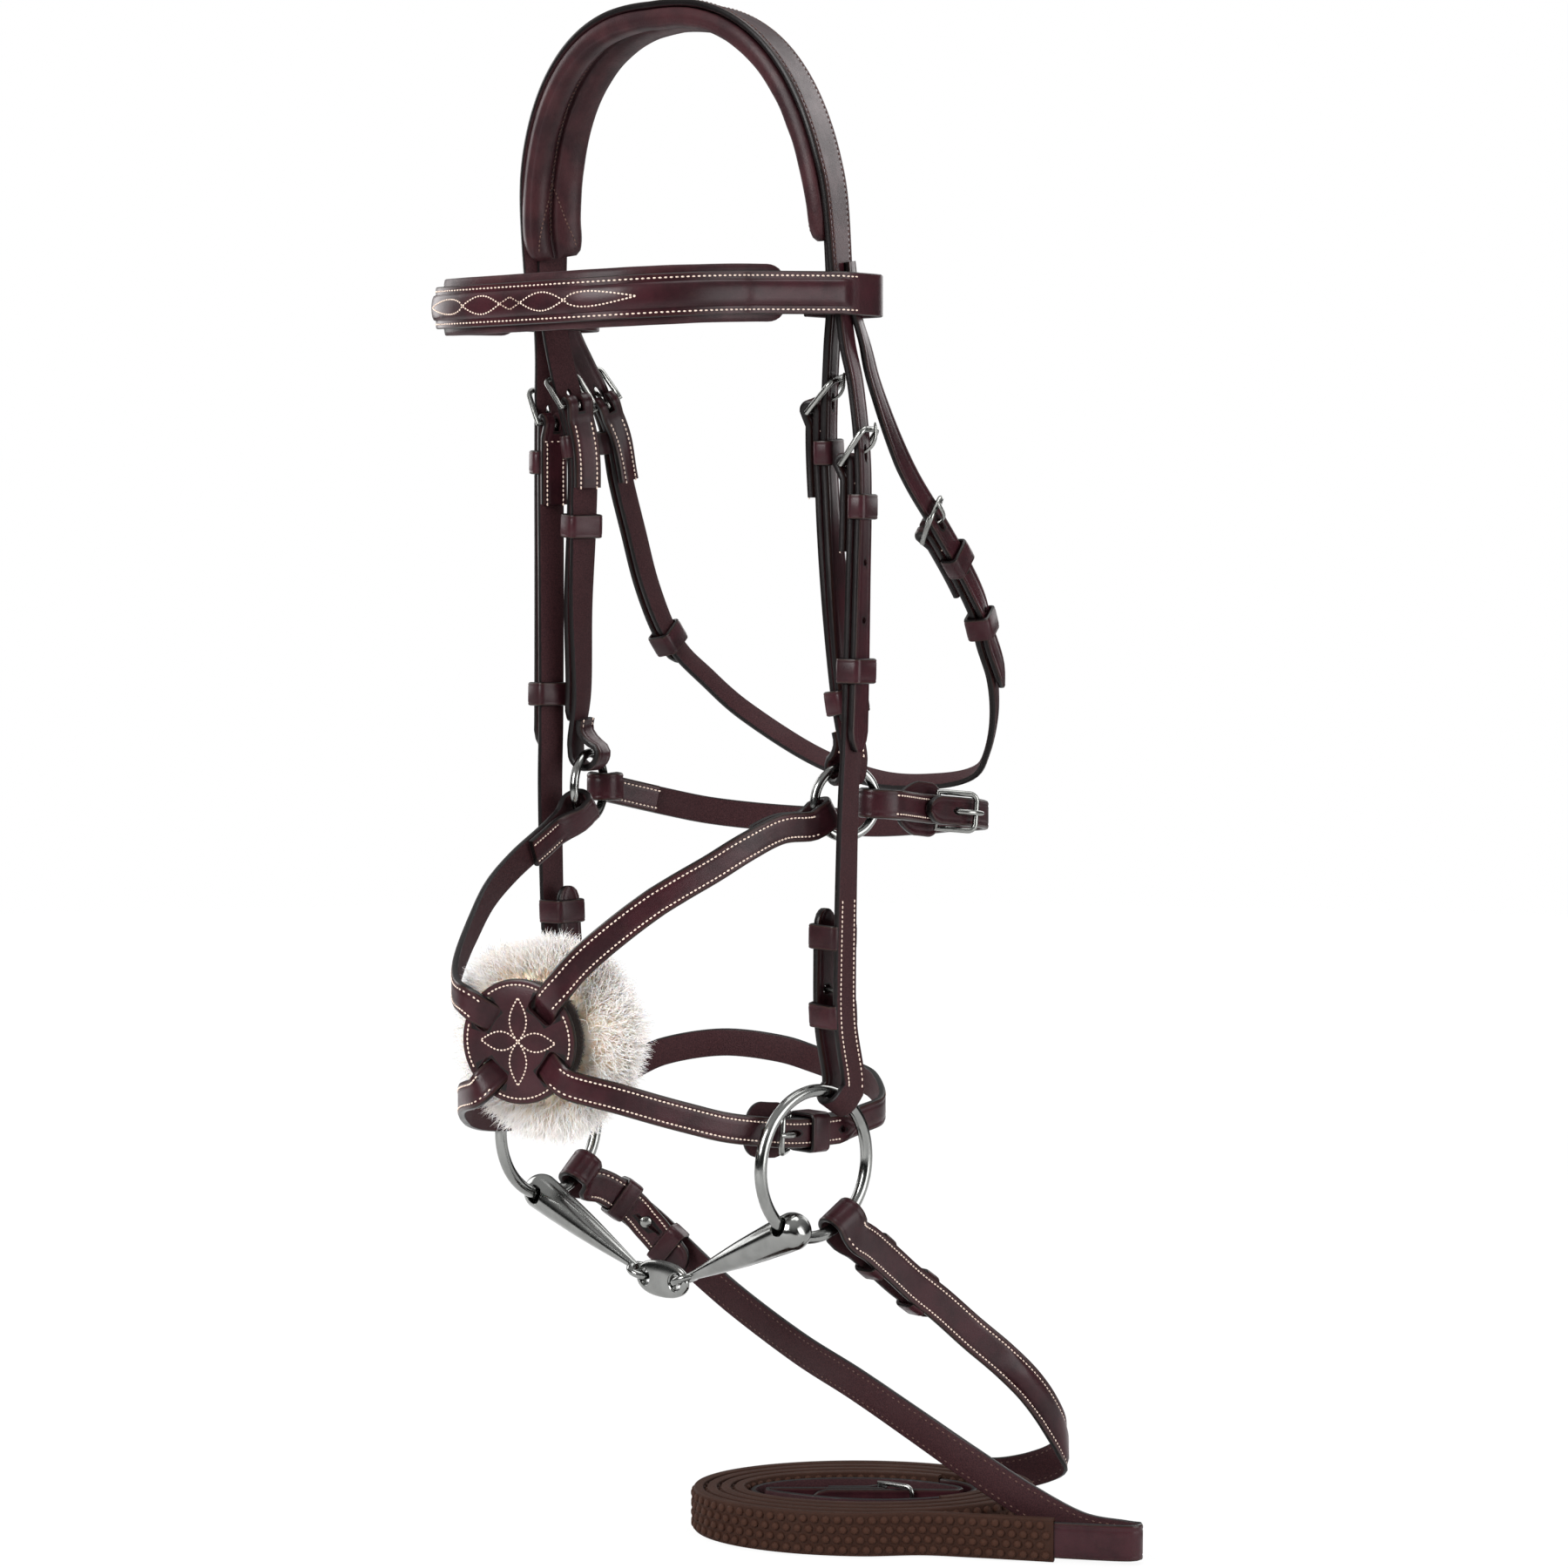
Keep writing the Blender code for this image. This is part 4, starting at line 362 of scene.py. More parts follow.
def mirrored(points, side):
    """The points on the given side of the head."""
    return [Vector((side * point.x, point.y, point.z)) for point in points]


def smooth_through(points):
    """A smooth curve through the points, each stretch led by its neighbours."""
    ends = [points[0] * 2 - points[1]] + list(points) + [points[-1] * 2 - points[-2]]
    curve = []
    for before, start, end, after in zip(ends, ends[1:], ends[2:], ends[3:]):
        for step in range(ROUTE_SUBSTEPS):
            t = step / ROUTE_SUBSTEPS
            curve.append(
                (
                    start * 2
                    + (end - before) * t
                    + (before * 2 - start * 5 + end * 4 - after) * t**2
                    + (start * 3 - before - end * 3 + after) * t**3
                )
                / 2
            )
    curve.append(points[-1].copy())
    return curve


class Route:
    """A strap's centre line, measured by its length, with the way that its grain side faces."""

    def __init__(self, points, facing, smooth=True):
        self.points = smooth_through(points) if smooth else list(points)
        self.facing = facing
        self.marks = [0.0]
        for first, second in zip(self.points, self.points[1:]):
            self.marks.append(self.marks[-1] + (second - first).length)
        self.length = self.marks[-1]

    def stretch(self, along):
        """Which stretch of the centre line holds this length, and how far into it."""
        index = 0
        while index < len(self.marks) - 2 and self.marks[index + 1] < along:
            index += 1
        span = self.marks[index + 1] - self.marks[index]
        return index, (along - self.marks[index]) / span

    def centre(self, along):
        index, share = self.stretch(along)
        return self.points[index].lerp(self.points[index + 1], share)

    def frame(self, along):
        """The point, the way along, the way that the grain faces and the way across."""
        reach = STRAP_STEP / 4
        ahead = (self.centre(along + reach) - self.centre(along - reach)).normalized()
        point = self.centre(along)
        out = self.facing(point, ahead)
        out = (out - ahead * out.dot(ahead)).normalized()
        return point, ahead, out, ahead.cross(out)

    def at(self, along, lift=0.0, across=0.0):
        point, _, out, side = self.frame(along)
        return point + out * lift + side * across

    def nearest(self, target):
        """The length at which the route passes closest to the target."""
        best = min(range(len(self.points)), key=lambda index: (self.points[index] - target).length)
        return self.marks[best]

    def at_drop(self, drops, side):
        """The length at which the route has this side's drop below the poll."""
        half = self.length / 2
        first, last, drop = (0, half, drops[0]) if side == LEFT else (half, self.length, drops[1])
        return min(
            (mark for mark in self.marks if first <= mark <= last),
            key=lambda mark: abs(self.centre(mark).z + POLL_RISE + drop),
        )


def facing_sideways(end_turn, end_drop):
    """For straps that pass over the poll: their legs face a little back, and turn by the ring."""

    def facing(point, ahead):
        down = (-point.z - POLL_RISE - LEG_TURN_END_DROP) / (end_drop - LEG_TURN_END_DROP)
        turn = LEG_TURN + (end_turn - LEG_TURN) * min(max(down, 0), 1)
        return Vector((point.x, abs(point.x) * math.tan(turn), max(point.z + ARCH_RISE, 0)))

    return facing


def facing_level(turn):
    """For straps on edge round the head: level, to one side of the way along."""

    def facing(point, ahead):
        return ahead.cross(UP) * turn

    return facing


def facing_jaw(point, ahead):
    """For the throatlatch: like the crown's legs at its ends, and away from the jaw below."""
    first, last = THROAT_TURN_DROPS
    share = min(max((-point.z - POLL_RISE - first) / (last - first), 0), 1)
    return point - place(THROAT_START_SHARES).lerp(place(THROAT_CENTRE_SHARES), share)


def run(start, end, lift=0.0, width=STRAP_WIDTH, step=STRAP_STEP):
    """Stations of a strap that lies at one height from start to end."""
    count = max(1, round(abs(end - start) / step))
    half = width / 2
    return [Station(start + (end - start) * index / count, lift, -half, half) for index in range(count + 1)]


def bend(middle, heading, lift, radius, width):
    """Stations of the fold round a bar: from under it, round its far side, to its top."""
    made = []
    for index in range(FOLD_STEPS + 1):
        turn = math.pi * (index / FOLD_STEPS - 1 / 2)
        along = middle - heading * radius * math.cos(turn)
        made.append(Station(along, lift - radius + radius * math.sin(turn), -width / 2, width / 2))
    return made


def fold_end(middle, heading, radius, back, lift=0.0, width=STRAP_WIDTH, under=None):
    """A strap's end from the tip that is turned under, round the bar, to where its main run starts."""
    under = lift - LAYER if under is None else under
    stations = run(middle + heading * back, middle + heading * radius * 2, under, width)
    return stations + bend(middle, heading, lift, radius, width)


def rounded_return(stations, reach=0.011):
    """A turned-back end whose free end is cut to a rounded point."""
    first = stations[0]
    way = math.copysign(1, stations[1].along - first.along)
    made = []
    for share, wide in ((0.0, 0.20), (0.06, 0.48), (0.2, 0.74), (0.45, 0.92), (1.0, 1.0)):
        made.append(Station(first.along + way * reach * share, first.lift, first.low * wide, first.high * wide))
    return made + [item for item in stations[1:] if (item.along - made[-1].along) * way > 0.0005]


def tip(end, heading, lift, width=STRAP_WIDTH):
    """The last stations of a pointed end."""
    return [
        Station(end - heading * TIP_LENGTH * back, lift, -width * wide / 2, width * wide / 2)
        for back, wide in TIP_SHARES
    ]


def keeper_foot(thick=STRAP_THICK):
    """The height of a sewn keeper's inside above the middle of the strap that its wall is sunk into."""
    return KEEPER_WALL + GAP - thick / 2


def buckle_lift(wire=BUCKLE_WIRE, thick=STRAP_THICK):
    """How far below the strap's middle its buckle's bar lies."""
    return wire / 2 + GAP + thick / 2


def on_ring(centre, yaw, angle, radius, side, lift):
    """Where a strap leaves a ring: its middle line's point and the way out from the ring's centre."""
    plane = Vector((math.sin(yaw) * side, math.cos(yaw), 0))
    axis = Vector((math.cos(yaw) * side, -math.sin(yaw), 0))
    way = plane * math.cos(angle) + UP * math.sin(angle)
    return centre + way * radius + axis * lift, way


def ring_leave(centre_shares, yaw, angle, radius, side, lift):
    """The first two points of a route that starts on a ring."""
    start, way = on_ring(mirrored([place(centre_shares)], side)[0], yaw, angle, radius, side, lift)
    return [start, start + way * LAYER * 2]


def nose_leave(side, angle):
    """The first points of a noseband strap, which starts on its ring."""
    rim = (NOSE_RING_OUTER - NOSE_RING_WIRE) / 2
    return ring_leave(NOSE_RING_SHARES, NOSE_RING_YAW, angle, rim, side, NOSE_FOLD_RADIUS)


def bit_leave(side, angle, lift):
    """The first points of a cheekpiece or rein, which starts on the ring of the bit."""
    rim = (BIT_RING_OUTER - BIT_RING_WIRE) / 2
    return ring_leave(BIT_RING_SHARES, BIT_RING_YAW, angle, rim, side, lift)


def superellipse(angle, half, reach, squareness):
    """A point of a rounded rectangle about the origin."""
    cosine = math.cos(angle)
    sine = math.sin(angle)
    return (
        math.copysign(half * abs(cosine) ** (2 / squareness), cosine),
        math.copysign(reach * abs(sine) ** (2 / squareness), sine),
    )


def arch_points(grow):
    """The arch over the poll from its near foot to its off foot, grown outwards."""
    made = []
    for index in range(1, ARCH_SIDES):
        x, z = superellipse(math.pi * index / ARCH_SIDES, ARCH_HALF + grow, ARCH_RISE + grow, ARCH_SQUARENESS)
        made.append(Vector((x, ARCH_SETBACK - z * ARCH_LEAN_SHARE, z - ARCH_RISE)))
    return made


def crown_lift():
    """The middle of the crown strap above the padding's underside."""
    return PAD_THICK + GAP + STRAP_THICK + GAP + CROWN_THICK / 2


def hanging_route(ends, path, grow, facing):
    """From a ring on the near side, up the cheek, over the poll and down to the ring on the off side."""
    near = ends[0] + through(path)
    off = ends[1] + mirrored(through(path), RIGHT)
    return Route(near + arch_points(grow) + off[::-1], facing)


def cheek_route():
    facing = facing_sideways(-BIT_RING_YAW, BIT_RING_SHARES[2] * BRIDLE_DROP - BIT_RING_OUTER / 2)
    ends = [bit_leave(side, CHEEK_ANGLE, BIT_FOLD_RADIUS) for side in (LEFT, RIGHT)]
    return hanging_route(ends, CHEEK_PATH, crown_lift() - LAYER, facing)


def hanger_route():
    facing = facing_sideways(-NOSE_RING_YAW, NOSE_RING_SHARES[2] * BRIDLE_DROP - NOSE_RING_OUTER / 2)
    ends = [nose_leave(side, HANGER_ANGLE) for side in (LEFT, RIGHT)]
    return hanging_route(ends, HANGER_PATH, PAD_THICK + GAP + STRAP_THICK / 2 - LAYER, facing)


def disc_frame():
    """The nose disc's middle, the ways across and up it, and the way that it faces."""
    across = Vector((math.cos(DISC_YAW), math.sin(DISC_YAW), 0))
    return place(DISC_SHARES), across, UP.copy(), across.cross(UP)


def disc_line(angle):
    """Points of a strap's straight run over the disc, from above to below it."""
    middle, across, up, _ = disc_frame()
    way = across * math.cos(angle) + up * math.sin(angle)
    return [middle + way * DISC_RADIUS * share for share in reversed(DISC_FLAT_SHARES)]


def near_cross_route():
    """From the near ring over the disc, round the off side and the chin, to the near side."""
    points = nose_leave(LEFT, CROSS_ANGLES[0]) + through(NEAR_CROSS_PATH) + disc_line(UPPER_CROSS_ANGLE)
    points += through(reversed(CHIN_OFF_PATH)) + through(reversed(CHIN_NEAR_PATH))
    return softened(Route(points, facing_level(-1)))


def off_cross_route():
    """From the off ring over the disc to the near side of the chin."""
    points = nose_leave(RIGHT, CROSS_ANGLES[1]) + through(OFF_CROSS_PATH)
    points += disc_line(LOWER_CROSS_ANGLE + math.pi) + through(CHIN_NEAR_PATH)
    return softened(Route(points, facing_level(1)))


def softened(route, near=0.021, far=0.085, passes=90):
    """A cross strap's route with its corners beyond the disc eased, as a strap's stiffness eases them."""
    middle = place(DISC_SHARES)
    points = route.points
    for _ in range(passes):
        inner = []
        for one, two, three in zip(points, points[1:], points[2:]):
            bends = near < (two - middle).length < far
            inner.append((one + two * 2 + three) / 4 if bends else two)
        points = [points[0]] + inner + [points[-1]]
    return Route(points, route.facing, smooth=False)


def dipped(stations, middle, depth):
    """Stations that pass under the disc, through its slots on both sides."""
    inner = SLOT_CENTRE - SLOT_LENGTH / 2
    outer = SLOT_CENTRE + SLOT_LENGTH / 2
    made = [item for item in stations if abs(item.along - middle) > outer]
    wide = STRAP_WIDTH / 2
    for offset, share in ((outer, 0.0), (SLOT_CENTRE, 0.5), (inner, 1.0), (inner / 2, 1.0)):
        for way in (-1, 1):
            made.append(Station(middle + way * offset, -depth * share, -wide, wide))
    made.append(Station(middle, -depth, -wide, wide))
    return sorted(made, key=lambda item: item.along)


def disc_stack():
    """Depths below the straps' outer run: the disc, the two straps' middles, the backing and the fleece."""
    top = STRAP_THICK / 2 + GAP
    upper = top + DISC_THICK + GAP + STRAP_THICK / 2
    lower = upper + LAYER
    backing = lower + STRAP_THICK / 2 + GAP * 2
    return top, upper, lower, backing, backing + DISC_THICK + GAP


def crown_width(share):
    """The poll strap's width: broad over the poll, narrower at its legs."""
    wide = min((1 - abs(2 * share - 1)) / CROWN_TAPER_START_SHARE, 1)
    return CROWN_LEG_WIDTH + (CROWN_WIDTH - CROWN_LEG_WIDTH) * wide


def crown_wide(near_split, off_split):
    """Stations of the part over the poll."""
    made = []
    for index in range(ARCH_SIDES * 2 + 1):
        share = index / (ARCH_SIDES * 2)
        half = crown_width(share) / 2
        made.append(Station(near_split + (off_split - near_split) * share, LAYER, -half, half))
    return made


def throat_route():
    return Route(through(THROAT_NEAR_PATH) + through(THROAT_OFF_PATH), facing_jaw)


def brow_route(inset):
    """The browband's middle line: level round the forehead, with a loop round each crown leg."""
    loop = []
    for index in range(BROW_LOOP_STEPS + 1):
        turn = BROW_CURVE_START + (BROW_CURVE_END - BROW_CURVE_START) * index / BROW_LOOP_STEPS
        x, y = superellipse(turn, BROW_LOOP_HALF, BROW_LOOP_REACH, BROW_LOOP_SQUARENESS)
        loop.append(Vector((BROW_LOOP_MIDDLE + x, BROW_LOOP_SETBACK + y, -BROW_DROP - POLL_RISE)))
    side = BROW_PAD_SIDE if inset else BROW_SIDE
    front = []
    for index in range(BROW_STEPS + 1):
        turn = -math.pi * index / BROW_STEPS
        x, y = superellipse(turn, BROW_HALF - inset, BROW_REACH - inset, BROW_SQUARENESS)
        if y < -side:
            sag = BROW_SAG * (y / BROW_REACH) ** 2
            front.append(Vector((x, y + ARCH_SETBACK, -BROW_DROP - POLL_RISE - sag)))
    if inset:
        return Route(front, facing_level(-1))
    points = list(reversed(loop)) + front + mirrored(loop, RIGHT)
    return Route(points, facing_level(-1))


def bit_ring_point(side, angle):
    centre = mirrored([place(BIT_RING_SHARES)], side)[0]
    return on_ring(centre, BIT_RING_YAW, angle, (BIT_RING_OUTER - BIT_RING_WIRE) / 2, side, 0.0)


def coil_point(angle, arm):
    """A point of one arm of the flat coil, which both reins share and wind clockwise into."""
    inset = COIL_PITCH * (2 * angle / math.tau + (0.5 if arm == 0 else -0.5))
    share = min(max((COIL_FLATS[arm] - angle) / COIL_FADE, 0), 1)
    share = share * share * (3 - 2 * share)
    long = (COIL_HALF_LENGTH - inset) * math.cos(angle)
    wide = (COIL_HALF_DEPTH - inset) * math.sin(angle)
    beside = math.copysign((REIN_THICK + GAP * 2) / 2, wide)
    deep = beside + (wide - beside) * share
    along = Vector((math.cos(COIL_TURN), math.sin(COIL_TURN), 0))
    front = Vector((math.sin(COIL_TURN), -math.cos(COIL_TURN), 0))
    x, y = COIL_SHARES
    centre = Vector((x * HALF_FACE, y * FACE_DEPTH, GRIP_HEIGHT / 2 - FLOOR_DROP - POLL_RISE))
    return centre + along * long + front * deep


def coil_points(arm, first, last):
    count = round((last - first) / math.tau * COIL_STEPS)
    return [coil_point(first + (last - first) * index / count, arm) for index in range(count + 1)]


def rein_route(arm):
    """From the ring of the bit down to the coil and into it: the near rein is arm 0, the off rein arm 1."""
    side, path = ((LEFT, NEAR_REIN_PATH), (RIGHT, OFF_REIN_PATH))[arm]
    free = bit_leave(side, REIN_ANGLES[arm], REIN_FOLD_RADIUS) + through(path)
    return Route(free + coil_points(arm, COIL_STARTS[arm], COIL_ENDS[arm]), facing_level(side))


def disc_points(centre, first, second, radius, sides):
    """Points of a circle in the plane of two unit vectors."""
    return [
        centre + first * radius * math.cos(turn) + second * radius * math.sin(turn) for turn in turns(sides)
    ]


def rounded_rectangle(half, high, soft, steps):
    """The outline of a rectangle about the origin with rounded corners."""
    made = []
    for x, y, start in ((half, -high, -90), (half, high, 0), (-half, high, 90), (-half, -high, 180)):
        for step in range(steps):
            turn = math.radians(start + 90 * step / (steps - 1))
            across = x - math.copysign(soft, x) + soft * math.cos(turn)
            made.append((across, y - math.copysign(soft, y) + soft * math.sin(turn)))
    return made


def add(tree, kind, **values):
    """A node of this kind, with its settings or unlinked inputs."""
    made = tree.nodes.new(kind)
    for name, value in values.items():
        setattr(made, name, value)
    return made


def put(tree, node, socket, source):
    """Links a source socket into a node's input, or sets it to a plain value."""
    if isinstance(source, bpy.types.NodeSocket):
        tree.links.new(source, node.inputs[socket])
    else:
        node.inputs[socket].default_value = source


def group(name, inputs, outputs):
    """A new shader node group with its inputs and outputs."""
    tree = bpy.data.node_groups.new(name, "ShaderNodeTree")
    for label, kind, value in inputs:
        socket = tree.interface.new_socket(label, in_out="INPUT", socket_type=kind)
        if value is not None:
            socket.default_value = value
    for label, kind in outputs:
        tree.interface.new_socket(label, in_out="OUTPUT", socket_type=kind)
    return tree, add(tree, "NodeGroupInput"), add(tree, "NodeGroupOutput")


def math_node(tree, operation, first, second=0.0, clamp=False):
    made = add(tree, "ShaderNodeMath", operation=operation, use_clamp=clamp)
    put(tree, made, 0, first)
    put(tree, made, 1, second)
    return made.outputs[0]


def mix_node(tree, share, first, second, blend="MIX"):
    made = add(tree, "ShaderNodeMix", data_type="RGBA", blend_type=blend)
    put(tree, made, "Factor", share)
    put(tree, made, "A", first)
    put(tree, made, "B", second)
    return made.outputs["Result"]


def ramp_node(tree, value, low, high, start=0.0, end=1.0):
    made = add(tree, "ShaderNodeMapRange", interpolation_type="SMOOTHSTEP")
    sockets = {"Value": value, "From Min": low, "From Max": high, "To Min": start, "To Max": end}
    for socket, item in sockets.items():
        put(tree, made, socket, item)
    return made.outputs["Result"]


def noise_node(tree, vector, scale, detail=3.0, roughness=0.55):
    made = add(tree, "ShaderNodeTexNoise")
    for socket, item in (("Vector", vector), ("Scale", scale), ("Detail", detail), ("Roughness", roughness)):
        put(tree, made, socket, item)
    return made.outputs["Fac"]


def cells_node(tree, vector, scale, feature="F1"):
    made = add(tree, "ShaderNodeTexVoronoi", feature=feature)
    put(tree, made, "Vector", vector)
    put(tree, made, "Scale", scale)
    return made.outputs["Distance"]


def grain_group():
    """Leather grain: fine pebbles with creases between them, slow mottling and pores."""
    tree, given, result = group(
        "leather grain",
        [("Vector", "NodeSocketVector", None), ("Pebble", "NodeSocketFloat", 1400.0)],
        [("Height", "NodeSocketFloat"), ("Mottle", "NodeSocketFloat"), ("Pores", "NodeSocketFloat")],
    )
    place_of = given.outputs["Vector"]
    pebbles = cells_node(tree, place_of, given.outputs["Pebble"])
    fine = noise_node(tree, place_of, 2600.0, 2.0)
    wrinkles = noise_node(tree, place_of, 420.0, 4.0, 0.6)
    height = math_node(tree, "MULTIPLY", pebbles, -0.55)
    height = math_node(tree, "ADD", height, math_node(tree, "MULTIPLY", fine, 0.25))
    height = math_node(tree, "ADD", height, math_node(tree, "MULTIPLY", wrinkles, 0.6))
    tree.links.new(height, result.inputs["Height"])
    slow = noise_node(tree, place_of, 46.0, 4.0, 0.6)
    tree.links.new(ramp_node(tree, slow, 0.36, 0.66), result.inputs["Mottle"])
    spots = cells_node(tree, place_of, 900.0)
    tree.links.new(ramp_node(tree, spots, 0.10, 0.26, 1.0, 0.0), result.inputs["Pores"])
    return tree


def edge_group():
    """Where a strap's cut edge, its shoulder (rubbed, with a painted highlight) and its grain side are, from its grain
    attribute.
    """
    tree, given, result = group(
        "strap edges",
        [("Grain", "NodeSocketFloat", 1.0), ("Wander", "NodeSocketFloat", 0.5)],
        [("Ink", "NodeSocketFloat"), ("RubAndHighlight", "NodeSocketFloat"), ("Flesh", "NodeSocketFloat")],
    )
    grain = given.outputs["Grain"]
    wander = math_node(tree, "MULTIPLY", math_node(tree, "SUBTRACT", given.outputs["Wander"], 0.5), 0.16)
    shifted = math_node(tree, "ADD", grain, wander)
    above = ramp_node(tree, shifted, 0.86, 0.99, 1.0, 0.0)
    below = ramp_node(tree, shifted, 0.04, 0.20)
    tree.links.new(math_node(tree, "MULTIPLY", above, below), result.inputs["Ink"])
    # The shoulder's band is lightened: partly rubbed wear, partly a painted highlight along the edge.
    first = ramp_node(tree, shifted, 0.70, 0.90)
    second = ramp_node(tree, shifted, 0.90, 1.0, 1.0, 0.0)
    tree.links.new(math_node(tree, "MULTIPLY", first, second), result.inputs["RubAndHighlight"])
    tree.links.new(ramp_node(tree, shifted, 0.04, 0.22, 1.0, 0.0), result.inputs["Flesh"])
    return tree


def wear_group():
    """Handling marks on metal: hairlines in all ways and slow clouding of the polish."""
    tree, given, result = group(
        "polish wear",
        [("Vector", "NodeSocketVector", None)],
        [("Hairlines", "NodeSocketFloat"), ("Clouds", "NodeSocketFloat")],
    )
    place_of = given.outputs["Vector"]
    stretched = add(tree, "ShaderNodeMapping")
    put(tree, stretched, "Vector", place_of)
    stretched.inputs["Scale"].default_value = (1.0, 1.0, 0.06)
    stretched.inputs["Rotation"].default_value = (0.6, 0.4, 0.2)
    lines = noise_node(tree, stretched.outputs["Vector"], 5200.0, 2.0)
    tree.links.new(ramp_node(tree, lines, 0.58, 0.74), result.inputs["Hairlines"])
    tree.links.new(ramp_node(tree, noise_node(tree, place_of, 120.0, 4.0), 0.35, 0.7), result.inputs["Clouds"])
    return tree


GROUPS = {}


def effect(tree, maker, **sockets):
    """Places a shared node group in a material, built the first time that it is asked for."""
    if maker.__name__ not in GROUPS:
        GROUPS[maker.__name__] = maker()
    made = add(tree, "ShaderNodeGroup", node_tree=GROUPS[maker.__name__])
    for name, value in sockets.items():
        put(tree, made, name, value)
    return made.outputs


def new_material(name, roughness, metallic=0.0):
    """An empty material with its shader and the piece's own coordinates."""
    made = bpy.data.materials.new(name)
    made.use_nodes = True
    tree = made.node_tree
    shader = tree.nodes["Principled BSDF"]
    shader.inputs["Roughness"].default_value = roughness
    shader.inputs["Metallic"].default_value = metallic
    where = add(tree, "ShaderNodeTexCoord").outputs["Object"]
    return made, tree, shader, where


def bump(tree, shader, height, distance, strength=1.0):
    made = add(tree, "ShaderNodeBump")
    made.inputs["Strength"].default_value = strength
    made.inputs["Distance"].default_value = distance
    tree.links.new(height, made.inputs["Height"])
    tree.links.new(made.outputs["Normal"], shader.inputs["Normal"])


def attribute(tree, name):
    return add(tree, "ShaderNodeAttribute", attribute_name=name).outputs["Fac"]


def strap_leather(name, pebble=1500.0, gloss=0.31, grain_depth=0.00005, tint=HAVANA):
    """Bridle leather: smooth waxed grain, felted flesh side, black inked edges with a rubbed shoulder that also
    carries a painted highlight.
    """
    made, tree, shader, where = new_material(name, gloss)
    marks = effect(tree, grain_group, Vector=where, Pebble=pebble)
    wander = noise_node(tree, where, 300.0, 2.0)
    edges = effect(tree, edge_group, Grain=attribute(tree, "grain"), Wander=wander)
    colour = mix_node(tree, marks["Mottle"], (*HAVANA_DEEP, 1), (*tint, 1))
    colour = mix_node(tree, math_node(tree, "MULTIPLY", marks["Pores"], 0.35), colour, (*EDGE_INK, 1))
    fibres = noise_node(tree, where, 1800.0, 4.0, 0.7)
    flesh = mix_node(tree, ramp_node(tree, fibres, 0.35, 0.65), (*HAVANA_DEEP, 1), (*FLESH, 1))
    colour = mix_node(tree, edges["Flesh"], colour, flesh)
    colour = mix_node(tree, edges["Ink"], colour, (*EDGE_INK, 1))
    # Lighter colour on the shoulder: partly rubbed wear, partly a painted highlight.
    colour = mix_node(tree, math_node(tree, "MULTIPLY", edges["RubAndHighlight"], 0.30), colour, (0.075, 0.032, 0.025, 1))
    put(tree, shader, "Base Color", colour)
    rough = math_node(tree, "ADD", math_node(tree, "MULTIPLY", marks["Mottle"], -0.08), gloss + 0.06)
    rough = math_node(tree, "ADD", rough, math_node(tree, "MULTIPLY", edges["Flesh"], 0.34))
    rough = math_node(tree, "ADD", rough, math_node(tree, "MULTIPLY", marks["Pores"], 0.10))
    put(tree, shader, "Roughness", rough)
    shader.inputs["Specular IOR Level"].default_value = 0.16
    shader.inputs["Coat Roughness"].default_value = 0.24
    coat = math_node(tree, "SUBTRACT", 0.07, math_node(tree, "MULTIPLY", edges["Flesh"], 0.07), clamp=True)
    put(tree, shader, "Coat Weight", coat)
    flesh = math_node(tree, "MULTIPLY", edges["Flesh"], fibres)
    height = math_node(tree, "ADD", marks["Height"], math_node(tree, "MULTIPLY", flesh, 1.6))
    bump(tree, shader, height, grain_depth)
    return made


def thread_finish(name, tint, dark):
    """Waxed linen thread: a twist of fine strands, dirtier in its hollows."""
    made, tree, shader, where = new_material(name, 0.62)
    fibres = noise_node(tree, where, 2400.0, 3.0, 0.6)
    dirt = noise_node(tree, where, 150.0, 3.0)
    colour = mix_node(tree, ramp_node(tree, fibres, 0.3, 0.62), (*dark, 1), (*tint, 1))
    colour = mix_node(tree, ramp_node(tree, dirt, 0.56, 0.80, 0.0, 0.4), colour, (*dark, 1))
    put(tree, shader, "Base Color", colour)
    put(tree, shader, "Roughness", ramp_node(tree, fibres, 0.3, 0.7, 0.72, 0.52))
    bump(tree, shader, fibres, 0.00008)
    return made


def steel_finish(name, gloss, tint=STEEL):
    """Polished stainless steel with hairlines and clouding."""
    made, tree, shader, where = new_material(name, gloss, 1.0)
    wear = effect(tree, wear_group, Vector=where)
    dull = tuple(value * 0.62 for value in tint)
    colour = mix_node(tree, math_node(tree, "MULTIPLY", wear["Clouds"], 0.45), (*tint, 1), (*dull, 1))
    put(tree, shader, "Base Color", colour)
    rough = math_node(tree, "ADD", math_node(tree, "MULTIPLY", wear["Clouds"], 0.07), gloss)
    hairlines = math_node(tree, "MULTIPLY", wear["Hairlines"], 0.08)
    put(tree, shader, "Roughness", math_node(tree, "ADD", rough, hairlines))
    bump(tree, shader, wear["Hairlines"], 0.000006, 0.6)
    return made


